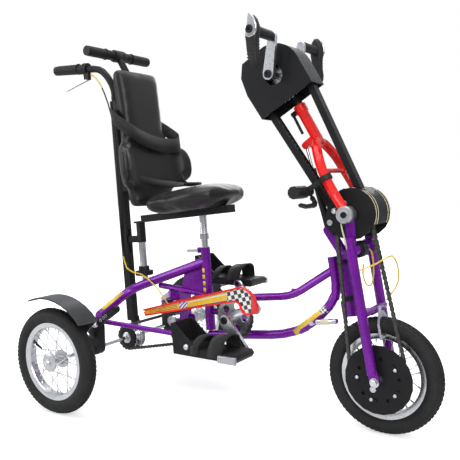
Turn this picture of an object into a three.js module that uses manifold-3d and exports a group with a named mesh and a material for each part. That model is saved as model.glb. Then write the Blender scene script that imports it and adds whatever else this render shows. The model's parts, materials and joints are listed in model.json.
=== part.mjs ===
// A hand and foot powered tricycle for a rider who needs a supported seat.
// Millimetres, +X forward, +Y to the rider's left, +Z up.
// While it is built the origin lies on the ground under the middle of the rear axle.
import * as THREE from 'three';
import { mergeVertices } from 'three/addons/utils/BufferGeometryUtils.js';
import Module from 'manifold-3d';

const wasm = await Module();
wasm.setup();

// Driving dimensions: the layout of the machine.
const GAP = 0.3;
const OVERRUN = 2;
const WHEELBASE = 824;
const TRACK = 656;
const BEAD_DIAMETER = 203;
const TYRE_SECTION = 45.5;
const WHEEL_RADIUS = BEAD_DIAMETER / 2 + TYRE_SECTION;
const SEAT_LEAN_DEG = 3.6;
const HEAD_LEAN_DEG = 10;
const MAST_LEAN_DEG = 30.5;
const WHEEL_SEGMENTS = 24;
const TUBE_SIDES = 10;
const SMALL_SIDES = 8;
const BOLT_SIDES = 6;
const BEND_STEPS = 3;

// Wheels.
const RIM_WIDTH = 29;
const RIM_WALL = 2.4;
const RIM_FLANGE_RADIUS = 108;
const RIM_FLOOR_RADIUS = 99;
const RIM_INNER_RADIUS = 93;
const SPOKE_COUNT = 12;
const SPOKE_RADIUS = 1.4;
const HUB_HALF_LENGTH = 27;
const HUB_BODY_RADIUS = 13;
const HUB_FLANGE_RADIUS = 26;
const HUB_FLANGE_WALL = 3.5;
const AXLE_RADIUS = 6;
const AXLE_END_BEYOND_HUB = 10;

// Frame tubes.
const MAIN_TUBE_RADIUS = 14.3;
const DOWN_TUBE_RADIUS = 12.5;
const UPPER_TUBE_RADIUS = 11;
const STAY_RADIUS = 7.5;
const BRACE_RADIUS = 9.5;
const PLATE_WALL = 4;
const SEAT_FOOT = { x: 297, z: 200 };
const SEAT_TUBE_LENGTH = 242;
const SEAT_TUBE_WALL = 2.8;
const REAR_TUBE_BEHIND_FOOT = 12;
const REAR_TUBE_BELOW_TOP = 41;
const REAR_TUBE_START = {
  x: SEAT_FOOT.x - REAR_TUBE_BEHIND_FOOT,
  z: SEAT_FOOT.z + SEAT_TUBE_LENGTH - REAR_TUBE_BELOW_TOP,
};
const REAR_TUBE_KINK = { x: 12, y: -27.5, z: 300 };
const REAR_TUBE_END = { x: -3, y: -150, z: 240 };
const LEFT_STAY_START = { x: 150, y: 0, z: 294 };
const LOWER_STAY_START = { x: 4, y: 150, z: 222 };
const LOWER_STAY_END = { x: 274, y: 10, z: 172 };
const BRACE_START = { x: 108, z: 316 };
const BRACE_END = { x: 284, z: 302 };
const UPPER_TUBE_START = { x: 297, z: 291 };
const UPPER_TUBE_KINK = { x: 567, z: 323 };
const UPPER_TUBE_END = { x: 686, z: 402 };
const CABLE_STOP = { x: 577, z: 326 };
const DOWN_TUBE_ROUTE = [
  { x: 292, z: 184 },
  { x: 450, z: 203.5 },
  { x: 559, z: 216 },
  { x: 640, z: 262 },
  { x: 690, z: 325 },
  { x: 697, z: 358 },
];
const DOWN_TUBE_BENDS = [0, 30, 60, 60, 30];
const DOWN_TUBE_TOP_LENGTH = 79;
const DAMPER_STUD = { x: 635, z: 262 };
const DAMPER_END = { x: 706, z: 274 };
const DAMPER_RADIUS = 6.5;
const HEAD_TUBE_RADIUS = 18.5;
const HEAD_TUBE_LENGTH = 80;
const HEAD_TOP = { x: 716, z: 419 };
const KINGPIN_RADIUS = 12;
const HEAD_BEARING_HEIGHT = 12;

// Rear axle, its carriers, the fenders and the parking lever.
const CARRIER_INSET = 156;
const CARRIER_WIDTH = 25;
const CARRIER_TOP = 222;
const CARRIER_HALF_WIDTH = 21;
const FENDER_INNER_RADIUS = 177;
const FENDER_WALL = 4;
const FENDER_HALF_WIDTH = 33;
const FENDER_FRONT_DEG = 42;
const FENDER_REAR_DEG = 112;
const FENDER_BRACKET = { x: 0, z: 186 };
const PARKING_PIVOT = { x: -1, z: 208 };
const PARKING_GRIP_END = { x: 96, z: 274 };
const PARKING_LEVER_WALL = 4;
const PARKING_BOLT_RADIUS = 8;

// Rear uprights and the push handle, measured along the lean of the seat tube.
const REAR_POST_BEHIND = 306;
const REAR_POST_SIZE = 25.4;
const REAR_POST_LOW = 14;
const REAR_POST_HIGH = 708;
const REAR_SEAT_POST_BEHIND = 242;
const SEAT_POST_RADIUS = 11;
const REAR_SEAT_POST_LOW = 145;
const REAR_SEAT_POST_HIGH = 292;
const SEAT_DROP = 23;
const KNOB_RADIUS = 28;
const KNOB_HEIGHT = 14;
const SLEEVE_RADIUS = 13.5;
const SLEEVE_LOW = 262;
const SLEEVE_HEIGHT = 34;
const POST_SLOT_LOW = 228;
const POST_SLOT_HEIGHT = 76;
const POST_SLOT_WIDTH = 8;
const FRONT_SEAT_POST_LOW = 90;
const FRONT_SEAT_POST_HIGH = 332;
const COLLAR_HEIGHT = 16;
const PUSH_TUBE_RADIUS = 11;
const PUSH_CORNER = { x: -108, z: 994 };
const PUSH_END = { x: -316, z: 1007 };
const PUSH_GRIP_LENGTH = 112;
const PUSH_GRIP_RADIUS = 15;
const T_BAR = { x: -35, z: 1022 };
const T_BAR_RADIUS = 11;
const T_BAR_HALF_WIDTH = 132;
const T_BAR_GRIP_INNER = 25;
const BRAKE_PIVOT = { x: -173, z: 970 };
const BRAKE_BLADE_END = { x: -272, z: 940 };

// Seat and backrest.
const CUSHION_REAR = 122;
const CUSHION_FRONT = 396;
const CUSHION_HALF_WIDTH = 118;
const CUSHION_THICKNESS = 46;
const CHANNEL_REAR = { x: 56, z: 509 };
const CHANNEL_FRONT = { x: 377, z: 545 };
const CHANNEL_HALF_WIDTH = 20;
const CHANNEL_HEIGHT = 22;
const CHANNEL_WALL = 3;
const BACKREST_BOTTOM = { x: 108, z: 556 };
const BACKREST_HEIGHT = 430;
const BACKREST_THICKNESS = 46;
const BACKREST_HALF_WIDTH = 95;
const BACKREST_LEAN_DEG = 7.7;
const WING_LENGTH = 100;
const WING_HEIGHT = 80;
const WING_THICKNESS = 26;
const WING_ABOVE = 84;
const BELT_WIDTH = 34;
const BELT_THICKNESS = 4;
const BELT_ABOVE = 210;

// Foot drive.
const CRANK_AXIS = { x: 402, z: 255 };
const CRANK_ARM_LENGTH = 95;
const CRANK_ARM_DEG = -49;
const CRANK_ARM_INSET = 76;
const CRANK_ARM_WALL = 11;
const SPINDLE_RADIUS = 8;
const SHELL_RADIUS = 19;
const SHELL_HALF_LENGTH = 28;
const PEDAL_RADIUS = 7;
const PEDAL_FOOT_LENGTH = 205;
const PEDAL_HALF_WIDTH = 42;
const PEDAL_INSET = 140;
const HEEL_HEIGHT = 62;
const CHAIN_PITCH = 12.7;
const HAND_PIN_SPACING = 9;
const FOOT_TEETH = 28;
const REAR_TEETH = 18;
const REAR_CHAIN_Y = -34;
const SPROCKET_WALL = 2.2;
const CLUSTER_LENGTH = 36;

// Chain plates and rollers.
const CHAIN_INNER_WIDTH = 3.2;
const CHAIN_PLATE_WALL = 1.2;
const CHAIN_PLATE_HALF_HEIGHT = 4.4;
const CHAIN_WAIST_HALF_HEIGHT = 3.2;
const ROLLER_RADIUS = 2.6;

// Chain guard.
const GUARD_Y = -73;
const GUARD_WALL = 3;
const GUARD_RIM_DEPTH = 9;
const GUARD_RIM_WALL = 5;
const GUARD_EDGE = [
  { x: 98, z: 253 },
  { x: 107, z: 233 },
  { x: 415, z: 303 },
  { bend: { x: 432, z: 309 }, x: 441, z: 300 },
  { bend: { x: 448, z: 276 }, x: 463, z: 273 },
  { x: 490, z: 279 },
  { bend: { x: 506, z: 283 }, x: 499, z: 303 },
  { bend: { x: 490, z: 345 }, x: 449, z: 351 },
];
const GUARD_BEND_STEPS = 3;
const GUARD_REAR_STAY = { x: 212, z: 283 };
const GUARD_FRONT_STAY = { x: 290, z: 305 };

// Front wheel, fork and jackshaft, measured from the top of the head tube along its lean.
const FORK_AHEAD = 54.5;
const FORK_LEG_RADIUS = 12.5;
const FORK_HALF_WIDTH = 66;
const FORK_LEG_TOP = 66;
const JACKSHAFT = { ahead: 62.1, above: 122.1 };
const JACKSHAFT_HALF_LENGTH = 92;
const TONGUE_INSET = 53.4;
const TONGUE_WALL = 5;
const TONGUE_RADIUS = 13;
const CROSS_TUBE = { ahead: 60.8, above: 34 };
const CROSS_TUBE_RADIUS = 13.5;
const CROSS_COLLAR_RADIUS = 20;
const BRIDGE = { ahead: 62, above: -121 };
const BRIDGE_RADIUS = 9;
const YOKE_BACK = -20;
const YOKE_LOW = -133;
const DROPOUT_WALL = 6;
const FRONT_CHAIN_Y = -40;
const FRONT_TEETH = 36;
const JACK_TEETH = 22;
const HAND_CHAIN_Y = -25;
const HAND_TEETH = 34;
const HAND_JACK_TEETH = 18;
const DISC_RADIUS = 86;
const DISC_WALL = 3;
const DISC_Y = -46.6;
const DISC_HOLE_COUNT = 5;
const BRAKE_TRACK_ABOVE = 99;
const BRAKE_PAD_GAP = 3.9;
const CALIPER_BOLT_RADIUS = 4;
const CALIPER_DEPTH = 6;

// Mast, crank housing, channels, drum and strut, measured from the jackshaft up the mast.
const DRUM_RADIUS = 64;
const DRUM_HALF_LENGTH = 52.6;
const DRUM_WALL = 3;
const DRUM_LIP_DEG = -23;
const DRUM_REAR_LIP_DEG = 205;
const MAST_LEG_RADIUS = 13;
const MAST_HALF_WIDTH = 73;
const MAST_FOOT_RADIUS = 14.5;
const MAST_FOOT_LENGTH = 31;
const MAST_CROWN = 214;
const STEERER_RADIUS = 14.3;
const STEERER_TOP = 319;
const STEERER_COLLAR_RADIUS = 17;
const STEERER_COLLAR_HEIGHT = 20;
const INNER_MAST_RADIUS = 11.5;
const HAND_CRANK_UP = 408;
const HOUSING_RADIUS = 80;
const HOUSING_NEAR = -55;
const HOUSING_FAR = 16;
const HOUSING_WALL = 3;
const HOUSING_LOW = 331;
const HOUSING_REAR = 92;
const HOUSING_TOP = 80;
const CHANNEL_NEAR = -38;
const CHANNEL_FAR = -12;
const CHANNEL_CHEEK = 2;
const HAND_ARM_LENGTH = 92;
const HAND_ARM_INSET = 72;
const HAND_ARM_WALL = 11;
const HAND_SPINDLE_RADIUS = 8;
const HAND_GRIP_OUT = 175;
const HAND_GRIP_RADIUS = 14;
const HAND_GRIP_HIGH = 22;
const HAND_GRIP_LOW = -92;
const STRUT_LOW = { ahead: -25.4, above: 91.8 };
const STRUT_TOP = { ahead: -35.9, above: 220.8 };
const STRUT_RADIUS = 9;
const STRUT_ROD_RADIUS = 4;
const STRUT_EYE_RADIUS = 10;
const STRUT_PIN_RADIUS = 3.5;
const BRAKE_GRIP_RADIUS = 16;

// Hub, straps, levers and cables, measured in the frame or in their own drawing.
const SIDES = { right: -1, left: 1 };
const HUB = { x: 180, z: 219 };
const HUB_AXLE_RADIUS = 5;
const HUB_BODY = 27;
const HUB_DISC = 16;
const HUB_LEFT = 20;
const STRAP_X = 207;
const STRAP_WALL = 5;
const STRAP_LOW = 190;
const BOARD_WALL = 6;
const ARM_HALF_WIDTH = 14;
const ARM_HEIGHT = 30;
const GRIP_AT = { x: -68, z: 103 };
const GRIP_OUTER = 135;
const GRIP_INNER = 44;
const LEVER_DROP = 34;
const CABLE_RADIUS = 2.2;
const CABLE_SIDES = 6;

// Places the cables pass: ahead and above in the fork's drawing, or in the frame.
const FRONT_CABLE_LOOP = [
  { ahead: 104, side: -57, above: -6 },
  { ahead: 127, side: -40, above: 4 },
  { ahead: 133, side: -10, above: 6 },
  { ahead: 130, side: 24, above: -24 },
  { ahead: 114, side: 44, above: -70 },
];
const LEVER_CABLE = { x: -150, y: -6, z: 1002 };
const CABLE_BEND = { x: -100, y: -18, z: 945 };
const REAR_CABLE_HEIGHTS = [640, 400, 210];
const REAR_CABLE_LOW = [
  { x: 16, y: -38, z: 360 },
  { x: 70, y: -40, z: 352 },
  { x: 120, y: -36, z: 318 },
  { x: 160, y: -24, z: 262 },
];
const REAR_CABLE_STEPS = 26;

// Shares that size one detail from another one.
const SEAT_WAIST_SHARE = 0.1;
const SEAT_WAIST_PLACE_SHARE = 0.3;
const SEAT_WAIST_LENGTH_SHARE = 0.16;
const SEAT_TAPER_SHARE = 0.16;
const SEAT_EDGE_SHARE = 0.3;
const SEAT_END_SHARE = 0.25;
const SEAT_RINGS = 12;
const SEAT_AROUND = 14;
const TONGUE_REACH_SHARE = 2.7;
const POST_ARM_SHARE = 0.6;
const POST_RING_LOW_SHARE = 1.5;
const POST_RING_HIGH_SHARE = 2.5;
const TOOTH_TIP_SHARE = 0.4;
const LUG_COLLAR_SHARE = 0.7;
const STAY_SOCKET_SHARE = 1.3;
const DAMPER_STUD_SHARE = 0.9;
const CABLE_STOP_SHARE = 1.6;
const STRAP_FOOT_SHARE = 1.6;
const SKIRT_DEPTH_SHARE = 1.3;
const SKIRT_START_SHARE = 1.7;
const SKIRT_STEP_SHARE = 0.86;
const SKIRT_TIP_SHARE = 1.35;
const LEVER_END_SHARE = 0.8;
const LEVER_BOSS_SHARE = 1.5;
const LEVER_OVERLAP_SHARE = 0.1;
const LEVER_NECK_SHARE = 0.7;
const BLOCK_CORNER_SHARE = 0.8;
const BLOCK_STEP_SHARE = 0.2;
const STEM_DROP_SHARE = 2.4;
const ARM_BOSS_SHARE = 1.9;
const ARM_TIP_SHARE = 1.4;
const SPIDER_HOLE_PLACE_SHARE = 0.58;
const TOE_AND_HOLE_SHARE = 0.2;
const SPIDER_BOSS_SHARE = 1.6;
const HEEL_SHARE = 0.8;
const SOLE_WALL_SHARE = 1.5;
const HEEL_FLANK_SHARE = 0.5;
const LEG_END_SHARE = 1.5;
const DROPOUT_NECK_SHARE = 0.9;
const TONGUE_NECK_SHARE = 0.8;
const TOP_PLATE_SHARE = 0.7;
const SMALL_COLLAR_SHARE = 0.86;
const DISC_BOLT_PLACE_SHARE = 0.62;
const DISC_BOLT_SHARE = 0.06;
const CALIPER_SIDE_SHARE = 1.5;
const CROWN_NECK_SHARE = 0.3;
const LEG_BEND_OUT_SHARE = 0.93;
const LEG_BEND_UP_SHARE = 0.56;
const LEG_SHOULDER_OUT_SHARE = 0.68;
const LEG_SHOULDER_UP_SHARE = 0.8;
const LEG_TOP_SHARE = 0.96;
const TAB_END_SHARE = 0.8;
const CROSS_BAR_SHARE = 0.9;
const CROSS_BAR_RADIUS_SHARE = 1.5;
const BARREL_BORE_SHARE = 0.75;
const CLAMP_REACH_SHARE = 1.8;
const LEVER_ROOT_SHARE = 1.6;
const LEVER_TIP_SHARE = 1.4;
const HOUSING_CORNER_SHARE = 0.78;
const HOUSING_SHOULDER_SHARE = 0.92;
const HOUSING_SHOULDER_DROP_SHARE = 0.38;
const HOUSING_FOOT_SHARE = 0.94;
const CHANNEL_END_SHARE = 0.66;
const CHEEK_DEPTH_SHARE = 2.6;
const DRUM_TAIL_SHARE = 1.13;
const DRUM_CUT_SHARE = 1.2;
const HAND_ARM_LEAN_DEG = 7.5;
const GRIP_SLEEVE_SHARE = 1.55;
const GRIP_CORE_SHARE = 0.86;
const RIB_START_SHARE = 0.2;
const RIB_LENGTH_SHARE = 0.6;
const STRUT_BODY_SHARE = 0.72;
const STRUT_BORE_SHARE = 0.25;
const STRUT_BOSS_SHARE = 0.7;
const STRUT_ROD_START_SHARE = 0.44;
const STRUT_ROD_END_SHARE = 0.9;
const STRUT_EYE_SHARE = 0.78;
const GRIP_CORE_RADIUS_SHARE = 0.7;
const LEVER_PIN_DROP_SHARE = 1.25;
const LEVER_WALL_SHARE = 1.5;
const LEVER_BEND_SHARE = 0.8;
const LEVER_TOP_SHARE = 1.05;
const LEVER_RISE_SHARE = 0.9;
const LEVER_FALL_SHARE = 1.1;
const LEVER_UNDER_SHARE = 1.3;
const LEVER_ROOT_WALL_SHARE = 3.5;

const degrees = THREE.MathUtils.degToRad;
const up = new THREE.Vector3(0, 0, 1);
const side = new THREE.Vector3(0, 1, 0);
const point = (x, y, z) => new THREE.Vector3(x, y, z);
const flat = (place, y = 0) => point(place.x, y, place.z);

// Finishes.
const finish = (color, roughness, metalness = 0) =>
  new THREE.MeshStandardMaterial({ color, roughness, metalness });
const PURPLE = finish(0x5a1296, 0.3, 0.35);
const RED = finish(0xe01818, 0.25, 0.1);
const BLACK = finish(0x1b1b1c, 0.5);
const VINYL = finish(0x17181a, 0.4);
const RUBBER = finish(0x202022, 0.8);
const FENDER_GREY = finish(0x35373a, 0.6);
const CHROME = finish(0xd8dadd, 0.12, 1);
const SILVER = finish(0xc2c4c7, 0.3, 0.9);
const STEEL = finish(0x6d6a62, 0.4, 0.9);
const YELLOW = finish(0xf2d21a, 0.45);

// A closed mesh becomes a solid that can be joined and cut.
function toSolid(geometry) {
  geometry.deleteAttribute('normal');
  geometry.deleteAttribute('uv');
  const merged = mergeVertices(geometry);
  const index = merged.index.array;
  const triangles = [];
  for (let i = 0; i < index.length; i += 3) {
    const [a, b, c] = [index[i], index[i + 1], index[i + 2]];
    if (a !== b && b !== c && c !== a) triangles.push(a, b, c);
  }
  return new wasm.Manifold(new wasm.Mesh({
    numProp: 3,
    vertProperties: new Float32Array(merged.attributes.position.array),
    triVerts: new Uint32Array(triangles),
  }));
}

const join = (...solids) => solids.reduce((whole, one) => whole.add(one));
const cut = (solid, ...tools) => tools.reduce((whole, tool) => whole.subtract(tool), solid);

// A tube trimmed where it meets its neighbours loses the offcuts beyond them.
function trim(solid, ...tools) {
  const parts = cut(solid, ...tools).decompose();
  return parts.reduce((best, part) => (part.volume() > best.volume() ? part : best));
}

function piece(group, name, solid, look, place = null) {
  const mesh = solid.getMesh();
  const geometry = new THREE.BufferGeometry();
  geometry.setAttribute('position', new THREE.BufferAttribute(mesh.vertProperties, mesh.numProp));
  geometry.setIndex(new THREE.BufferAttribute(mesh.triVerts, 1));
  const object = new THREE.Mesh(geometry, look.clone());
  object.name = name;
  if (place) object.position.copy(place);
  group.add(object);
  return object;
}

// A round bar, or a cone where the end radius differs.
function rod(from, to, radius, sides = TUBE_SIDES, endRadius = radius) {
  const along = to.clone().sub(from);
  const geometry = new THREE.CylinderGeometry(endRadius, radius, along.length(), sides);
  const turn = new THREE.Quaternion().setFromUnitVectors(side, along.clone().normalize());
  geometry.applyQuaternion(turn);
  const middle = from.clone().add(to).multiplyScalar(1 / 2);
  geometry.translate(middle.x, middle.y, middle.z);
  return toSolid(geometry);
}

// A round bar across the machine.
const crossBar = (place, from, to, radius, sides = TUBE_SIDES) =>
  rod(flat(place, from), flat(place, to), radius, sides);

function box(lowX, highX, lowY, highY, lowZ, highZ) {
  const geometry = new THREE.BoxGeometry(highX - lowX, highY - lowY, highZ - lowZ);
  geometry.translate((lowX + highX) / 2, (lowY + highY) / 2, (lowZ + highZ) / 2);
  return toSolid(geometry);
}

// A curve that visits its own points, so that a swept tube has rings only where it bends.
class Route extends THREE.Curve {
  constructor(points) {
    super();
    this.points = points;
  }

  getPointAt(share) {
    const place = share * (this.points.length - 1);
    const before = Math.min(Math.floor(place + 1e-6), this.points.length - 2);
    return this.points[before].clone().lerp(this.points[before + 1], place - before);
  }

  getTangentAt(share) {
    const last = this.points.length - 1;
    const here = Math.round(share * last);
    const after = this.points[Math.min(here + 1, last)];
    const before = this.points[Math.max(here - 1, 0)];
    return after.clone().sub(before).normalize();
  }
}

const polygon = (radius, sides) => Array.from({ length: sides }, (_, i) => {
  const angle = (2 * Math.PI * i) / sides;
  return new THREE.Vector2(radius * Math.cos(angle), radius * Math.sin(angle));
});

function sweep(points, radius, sides = TUBE_SIDES) {
  const geometry = new THREE.ExtrudeGeometry(new THREE.Shape(polygon(radius, sides)), {
    steps: points.length - 1,
    bevelEnabled: false,
    extrudePath: new Route(points),
  });
  return toSolid(geometry);
}

// Corners joined by straight runs, each corner rounded by its own bend length.
function rounded(corners, bends, steps = BEND_STEPS) {
  const route = [corners[0]];
  for (let i = 1; i < corners.length - 1; i += 1) {
    const reach = Array.isArray(bends) ? bends[i] : bends;
    const towards = (target) => corners[i].clone().add(
      target.clone().sub(corners[i]).setLength(reach),
    );
    const bend = new THREE.QuadraticBezierCurve3(
      towards(corners[i - 1]),
      corners[i],
      towards(corners[i + 1]),
    );
    route.push(...bend.getPoints(steps));
  }
  route.push(corners[corners.length - 1]);
  return route;
}

const smooth = (points, steps) =>
  new THREE.CatmullRomCurve3(points, false, 'centripetal').getSpacedPoints(steps);

// A profile of [radius, distance along the axis] turned about the line across the machine.
function turned(profile, sides, centre = point(0, 0, 0)) {
  const area = profile.reduce((sum, [radius, along], i) => {
    const [nextRadius, nextAlong] = profile[(i + 1) % profile.length];
    return sum + radius * nextAlong - nextRadius * along;
  }, 0);
  const ordered = area > 0 ? profile : [...profile].reverse();
  const closed = ordered[0][0] > 0 || ordered[ordered.length - 1][0] > 0;
  const points = (closed ? [...ordered, ordered[0]] : ordered).map(
    ([radius, along]) => new THREE.Vector2(radius, along),
  );
  const geometry = new THREE.LatheGeometry(points, sides);
  geometry.translate(centre.x, centre.y, centre.z);
  return toSolid(geometry);
}

// A flat plate whose outline is drawn in the side view.
function plate(outline, from, to, holes = []) {
  const shape = new THREE.Shape(outline.map(([x, z]) => new THREE.Vector2(x, z)));
  holes.forEach(({ x, z, radius, sides = SMALL_SIDES }) => {
    const edge = polygon(radius, sides).map((spot) => spot.add(new THREE.Vector2(x, z)));
    shape.holes.push(new THREE.Path(edge));
  });
  const geometry = new THREE.ExtrudeGeometry(shape, { depth: to - from, bevelEnabled: false });
  geometry.rotateX(Math.PI / 2);
  geometry.translate(0, to, 0);
  return toSolid(geometry);
}

const arc = (x, z, radius, fromDeg, toDeg, steps) => Array.from({ length: steps + 1 }, (_, i) => {
  const angle = degrees(fromDeg + ((toDeg - fromDeg) * i) / steps);
  return [x + radius * Math.cos(angle), z + radius * Math.sin(angle)];
});

const spoke = (centre, radius, angleDeg) => [
  centre.x + radius * Math.cos(degrees(angleDeg)),
  centre.z + radius * Math.sin(degrees(angleDeg)),
];

// A bar with round ends of two radii, seen from the side.
function barOutline(start, startRadius, end, endRadius, steps = 5) {
  const heading = THREE.MathUtils.radToDeg(Math.atan2(end.z - start.z, end.x - start.x));
  return [
    ...arc(end.x, end.z, endRadius, heading - 90, heading + 90, steps),
    ...arc(start.x, start.z, startRadius, heading + 90, heading + 270, steps),
  ];
}

// The two sides of the machine: -1 is the rider's right, +1 the left.
const span = (sign, inner, outer) => (sign < 0 ? [-outer, -inner] : [inner, outer]);

const tricycle = new THREE.Group();
const frame = new THREE.Group();
tricycle.add(frame);

const seatGroup = new THREE.Group();
seatGroup.position.set(SEAT_FOOT.x, 0, SEAT_FOOT.z);
seatGroup.rotation.y = -degrees(SEAT_LEAN_DEG);
frame.add(seatGroup);

const steering = new THREE.Group();
steering.position.set(HEAD_TOP.x, 0, HEAD_TOP.z);
steering.rotation.y = -degrees(HEAD_LEAN_DEG);
frame.add(steering);

const mast = new THREE.Group();
mast.position.set(JACKSHAFT.ahead, 0, JACKSHAFT.above);
mast.rotation.y = -degrees(MAST_LEAN_DEG - HEAD_LEAN_DEG);
steering.add(mast);

const seatUp = up.clone().applyAxisAngle(side, -degrees(SEAT_LEAN_DEG));
const headUp = up.clone().applyAxisAngle(side, -degrees(HEAD_LEAN_DEG));
const headForward = point(1, 0, 0).applyAxisAngle(side, -degrees(HEAD_LEAN_DEG));
const mastUp = up.clone().applyAxisAngle(side, -degrees(MAST_LEAN_DEG));
const mastForward = point(1, 0, 0).applyAxisAngle(side, -degrees(MAST_LEAN_DEG));
const fromHead = (ahead, above, y = 0) => flat(HEAD_TOP, y)
  .addScaledVector(headForward, ahead)
  .addScaledVector(headUp, above);
const rearAxle = { x: 0, z: WHEEL_RADIUS };
const frontAxleWorld = point(WHEELBASE, 0, WHEEL_RADIUS);
const frontAxleOffset = frontAxleWorld.clone().sub(flat(HEAD_TOP));
const frontAxle = {
  x: frontAxleOffset.dot(headForward),
  z: frontAxleOffset.dot(headUp),
};

// Wheels: a box rim, a hub with two flanges, and crossed spokes between them.
function wheelSolid(bore) {
  const half = RIM_WIDTH / 2;
  const rim = turned([
    [RIM_INNER_RADIUS, -half],
    [RIM_FLANGE_RADIUS, -half],
    [RIM_FLANGE_RADIUS, RIM_WALL - half],
    [RIM_FLOOR_RADIUS, RIM_WALL - half],
    [RIM_FLOOR_RADIUS, half - RIM_WALL],
    [RIM_FLANGE_RADIUS, half - RIM_WALL],
    [RIM_FLANGE_RADIUS, half],
    [RIM_INNER_RADIUS, half],
  ], WHEEL_SEGMENTS);
  const flange = HUB_HALF_LENGTH - HUB_FLANGE_WALL;
  const hub = turned([
    [bore, -HUB_HALF_LENGTH],
    [HUB_BODY_RADIUS, -HUB_HALF_LENGTH],
    [HUB_FLANGE_RADIUS, -flange],
    [HUB_FLANGE_RADIUS, HUB_FLANGE_WALL - flange],
    [HUB_BODY_RADIUS, HUB_FLANGE_WALL * 2 - flange],
    [HUB_BODY_RADIUS, flange - HUB_FLANGE_WALL * 2],
    [HUB_FLANGE_RADIUS, flange - HUB_FLANGE_WALL],
    [HUB_FLANGE_RADIUS, flange],
    [HUB_BODY_RADIUS, HUB_HALF_LENGTH],
    [bore, HUB_HALF_LENGTH],
  ], TUBE_SIDES);
  const rimSeat = (RIM_INNER_RADIUS + RIM_FLOOR_RADIUS) / 2;
  const hubSeat = HUB_FLANGE_RADIUS - SPOKE_RADIUS * 2;
  const flangeMiddle = flange - HUB_FLANGE_WALL / 2;
  const spokes = Array.from({ length: SPOKE_COUNT }, (_, i) => {
    const sign = i % 2 ? 1 : -1;
    const lead = Math.floor(i / 2) % 2 ? 1 : -1;
    const rimAngle = (2 * Math.PI * i) / SPOKE_COUNT;
    const hubAngle = rimAngle + lead * degrees(62);
    const inner = point(hubSeat * Math.cos(hubAngle), sign * flangeMiddle, hubSeat * Math.sin(hubAngle));
    const outer = point(rimSeat * Math.cos(rimAngle), 0, rimSeat * Math.sin(rimAngle));
    return rod(inner, outer, SPOKE_RADIUS, 3);
  });
  return join(rim, hub, ...spokes);
}

function tyreSolid() {
  const foot = RIM_WIDTH / 2 - RIM_WALL - GAP;
  const half = TYRE_SECTION / 2;
  const middle = WHEEL_RADIUS - half;
  const shoulderShare = 0.78;
  const crownShare = 0.24;
  return turned([
    [RIM_FLOOR_RADIUS + GAP, -foot],
    [RIM_FLANGE_RADIUS + GAP, -foot],
    [middle, -half],
    [middle + half * shoulderShare, -half * shoulderShare],
    [WHEEL_RADIUS, -half * crownShare],
    [WHEEL_RADIUS, half * crownShare],
    [middle + half * shoulderShare, half * shoulderShare],
    [middle, half],
    [RIM_FLANGE_RADIUS + GAP, foot],
    [RIM_FLOOR_RADIUS + GAP, foot],
  ], WHEEL_SEGMENTS);
}

function rearWheels() {
  Object.entries(SIDES).forEach(([name, sign]) => {
    const place = point(rearAxle.x, (sign * TRACK) / 2, rearAxle.z);
    piece(frame, `${name}_rear_wheel`, wheelSolid(AXLE_RADIUS + 2 * GAP), SILVER, place);
    piece(frame, `${name}_rear_tyre`, tyreSolid(), RUBBER, place);
  });
}

// A toothed disc; the teeth are short so that they sit between the chain plates.
const pitchRadius = (teeth) => CHAIN_PITCH / (2 * Math.sin(Math.PI / teeth));

function sprocket(centre, y, teeth, wall, holes = []) {
  const tip = pitchRadius(teeth) + ROLLER_RADIUS * TOOTH_TIP_SHARE;
  const root = pitchRadius(teeth) - ROLLER_RADIUS;
  const outline = Array.from({ length: teeth }, (_, i) => [
    spoke(centre, root, ((i + 1 / 2) * 360) / teeth),
    spoke(centre, tip, ((i + 1) * 360) / teeth),
  ]).flat();
  return plate(outline, y - wall / 2, y + wall / 2, holes);
}

// Straight tangents and wraps between two sprockets, as [x, z, straight] samples of a loop.
function chainLoop(lower, lowerRadius, upper, upperRadius, pitch, wrapSteps) {
  const dx = upper.x - lower.x;
  const dz = upper.z - lower.z;
  const distance = Math.hypot(dx, dz);
  const heading = Math.atan2(dz, dx);
  const lean = Math.asin((lowerRadius - upperRadius) / distance);
  const rightAngle = heading - Math.PI / 2 + lean;
  const leftAngle = heading + Math.PI / 2 - lean;
  const onCircle = (centre, radius, angle) => ({
    x: centre.x + radius * Math.cos(angle),
    z: centre.z + radius * Math.sin(angle),
    nx: Math.cos(angle),
    nz: Math.sin(angle),
  });
  const run = Math.sqrt(distance ** 2 - (lowerRadius - upperRadius) ** 2);
  const links = Math.max(2, Math.round(run / pitch));
  const samples = [];
  const straight = (from, to) => {
    for (let i = 0; i <= links; i += 1) {
      const share = i / links;
      samples.push({
        x: from.x + (to.x - from.x) * share,
        z: from.z + (to.z - from.z) * share,
        nx: from.nx,
        nz: from.nz,
        pin: i > 0 && i < links,
        waist: i < links,
        stepX: (to.x - from.x) / links,
        stepZ: (to.z - from.z) / links,
      });
    }
  };
  const wrap = (centre, radius, from, to) => {
    for (let i = 1; i < wrapSteps; i += 1) {
      samples.push(onCircle(centre, radius, from + ((to - from) * i) / wrapSteps));
    }
  };
  straight(onCircle(lower, lowerRadius, rightAngle), onCircle(upper, upperRadius, rightAngle));
  wrap(upper, upperRadius, rightAngle, leftAngle);
  straight(onCircle(upper, upperRadius, leftAngle), onCircle(lower, lowerRadius, leftAngle));
  wrap(lower, lowerRadius, leftAngle, rightAngle + 2 * Math.PI);
  return samples;
}

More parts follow.
